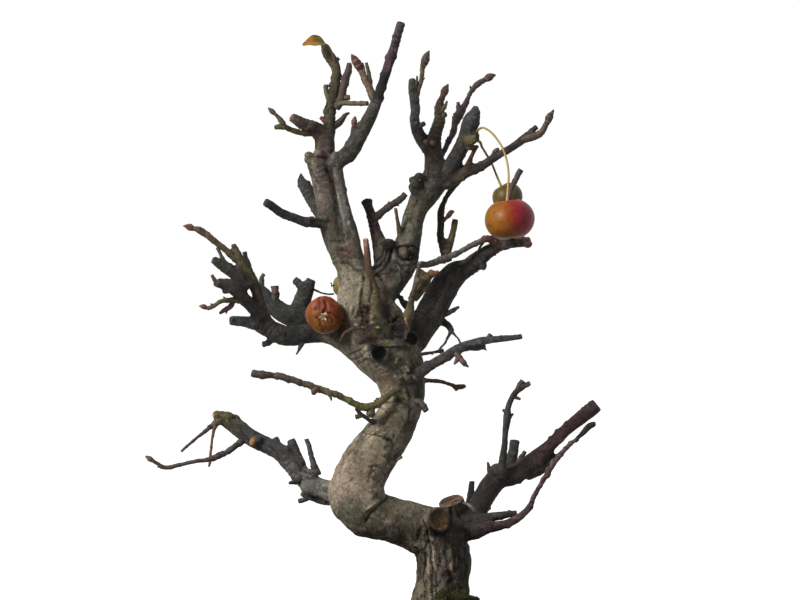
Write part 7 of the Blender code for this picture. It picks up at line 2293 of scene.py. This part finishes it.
def plain_glow(name, colour, glow):
    """A pale stage material that also shines a little."""
    material = bpy.data.materials.new(name)
    material.use_nodes = True
    surface = material.node_tree.nodes["Principled BSDF"]
    surface.inputs["Base Color"].default_value = (*colour, 1.0)
    surface.inputs["Roughness"].default_value = 0.9
    surface.inputs["Specular IOR Level"].default_value = 0.0
    surface.inputs["Emission Color"].default_value = (1.0, 1.0, 1.0, 1.0)
    surface.inputs["Emission Strength"].default_value = glow
    return material


def brighten_far_floor(material):
    """Let the floor fade to plain white away from the tree."""
    tree = material.node_tree
    spot = tree.nodes.new("ShaderNodeTexCoord")
    away = tree.nodes.new("ShaderNodeVectorMath")
    away.operation = "LENGTH"
    reach = tree.nodes.new("ShaderNodeMapRange")
    for socket, value in zip(range(1, 5), (NEAR_FLOOR, FAR_FLOOR, NEAR_GLOW, FAR_GLOW)):
        reach.inputs[socket].default_value = value
    tree.links.new(spot.outputs["Object"], away.inputs[0])
    tree.links.new(away.outputs["Value"], reach.inputs[0])
    tree.links.new(reach.outputs[0], tree.nodes["Principled BSDF"].inputs["Emission Strength"])


def make_stage():
    """Lay a pale floor under a white dome, and light the tree softly from the upper left."""
    turns = circle(FLOOR_SIDES)
    disc = np.stack([FLOOR_REACH * np.cos(turns), FLOOR_REACH * np.sin(turns), 0 * turns], axis=1)
    floor = make_mesh("floor", disc, [tuple(range(FLOOR_SIDES))])
    floor.data.materials.append(plain_glow("floor", (0.6, 0.6, 0.6), FAR_GLOW))
    brighten_far_floor(floor.data.materials[0])
    points, faces = round_body(half_circle(DOME_STEPS), 2 * DOME_STEPS)
    dome = make_mesh("dome", points * FLOOR_REACH, faces)
    dome.data.materials.append(plain_glow("dome", (0.0, 0.0, 0.0), BACKDROP_GLOW))
    for item in (floor, dome):
        item.visible_diffuse = False
        item.visible_shadow = False
    world = bpy.data.worlds.new("world")
    world.use_nodes = True
    background = world.node_tree.nodes["Background"]
    background.inputs["Color"].default_value = (1.0, 1.0, 1.0, 1.0)
    background.inputs["Strength"].default_value = WORLD_LIGHT
    bpy.context.scene.world = world
    bpy.context.scene.view_settings.view_transform = "Standard"
    make_light("key", LAMP_AIM, *KEY)
    make_light("fill", LAMP_AIM, *FILL)


def main():
    """Build the looks."""
    make_camera()
    make_stage()
    bark = bark_material()
    young = twig_material()
    limbs = limb_list()
    make_wood(limbs, bark)
    make_twigs(limbs, young)
    make_buds(young)
    skins = {
        "red_fruit": (skin_material("red_skin", 0.42, 0.05, (198, 140, 52)), "red_skin"),
        "green_fruit": (skin_material("olive_skin", 0.45, 0.14, (140, 124, 60)), "olive_skin"),
        "brown_fruit": (skin_material("withered_skin", 0.5, 0.15, (196, 130, 84)), "withered_skin"),
        "yellow_fruit": (skin_material("yellow_skin", 0.45, 0.3, (190, 176, 100)), "yellow_skin"),
    }
    calyx = dry_material("dry_calyx")
    for name, (skin, slot) in skins.items():
        make_fruit(name, skin, slot)
        make_calyx(name, calyx)
    stalk = dry_material("fruit_stalk", 0.5)
    for name in STALKS:
        make_stalk(name, stalk)
    make_leaf(dry_material("autumn_leaf", 0.6))
    make_moss(moss_material())
    make_soil(soil_material())
    make_tray(stoneware_material())
    dress_nets(net_material())


main()
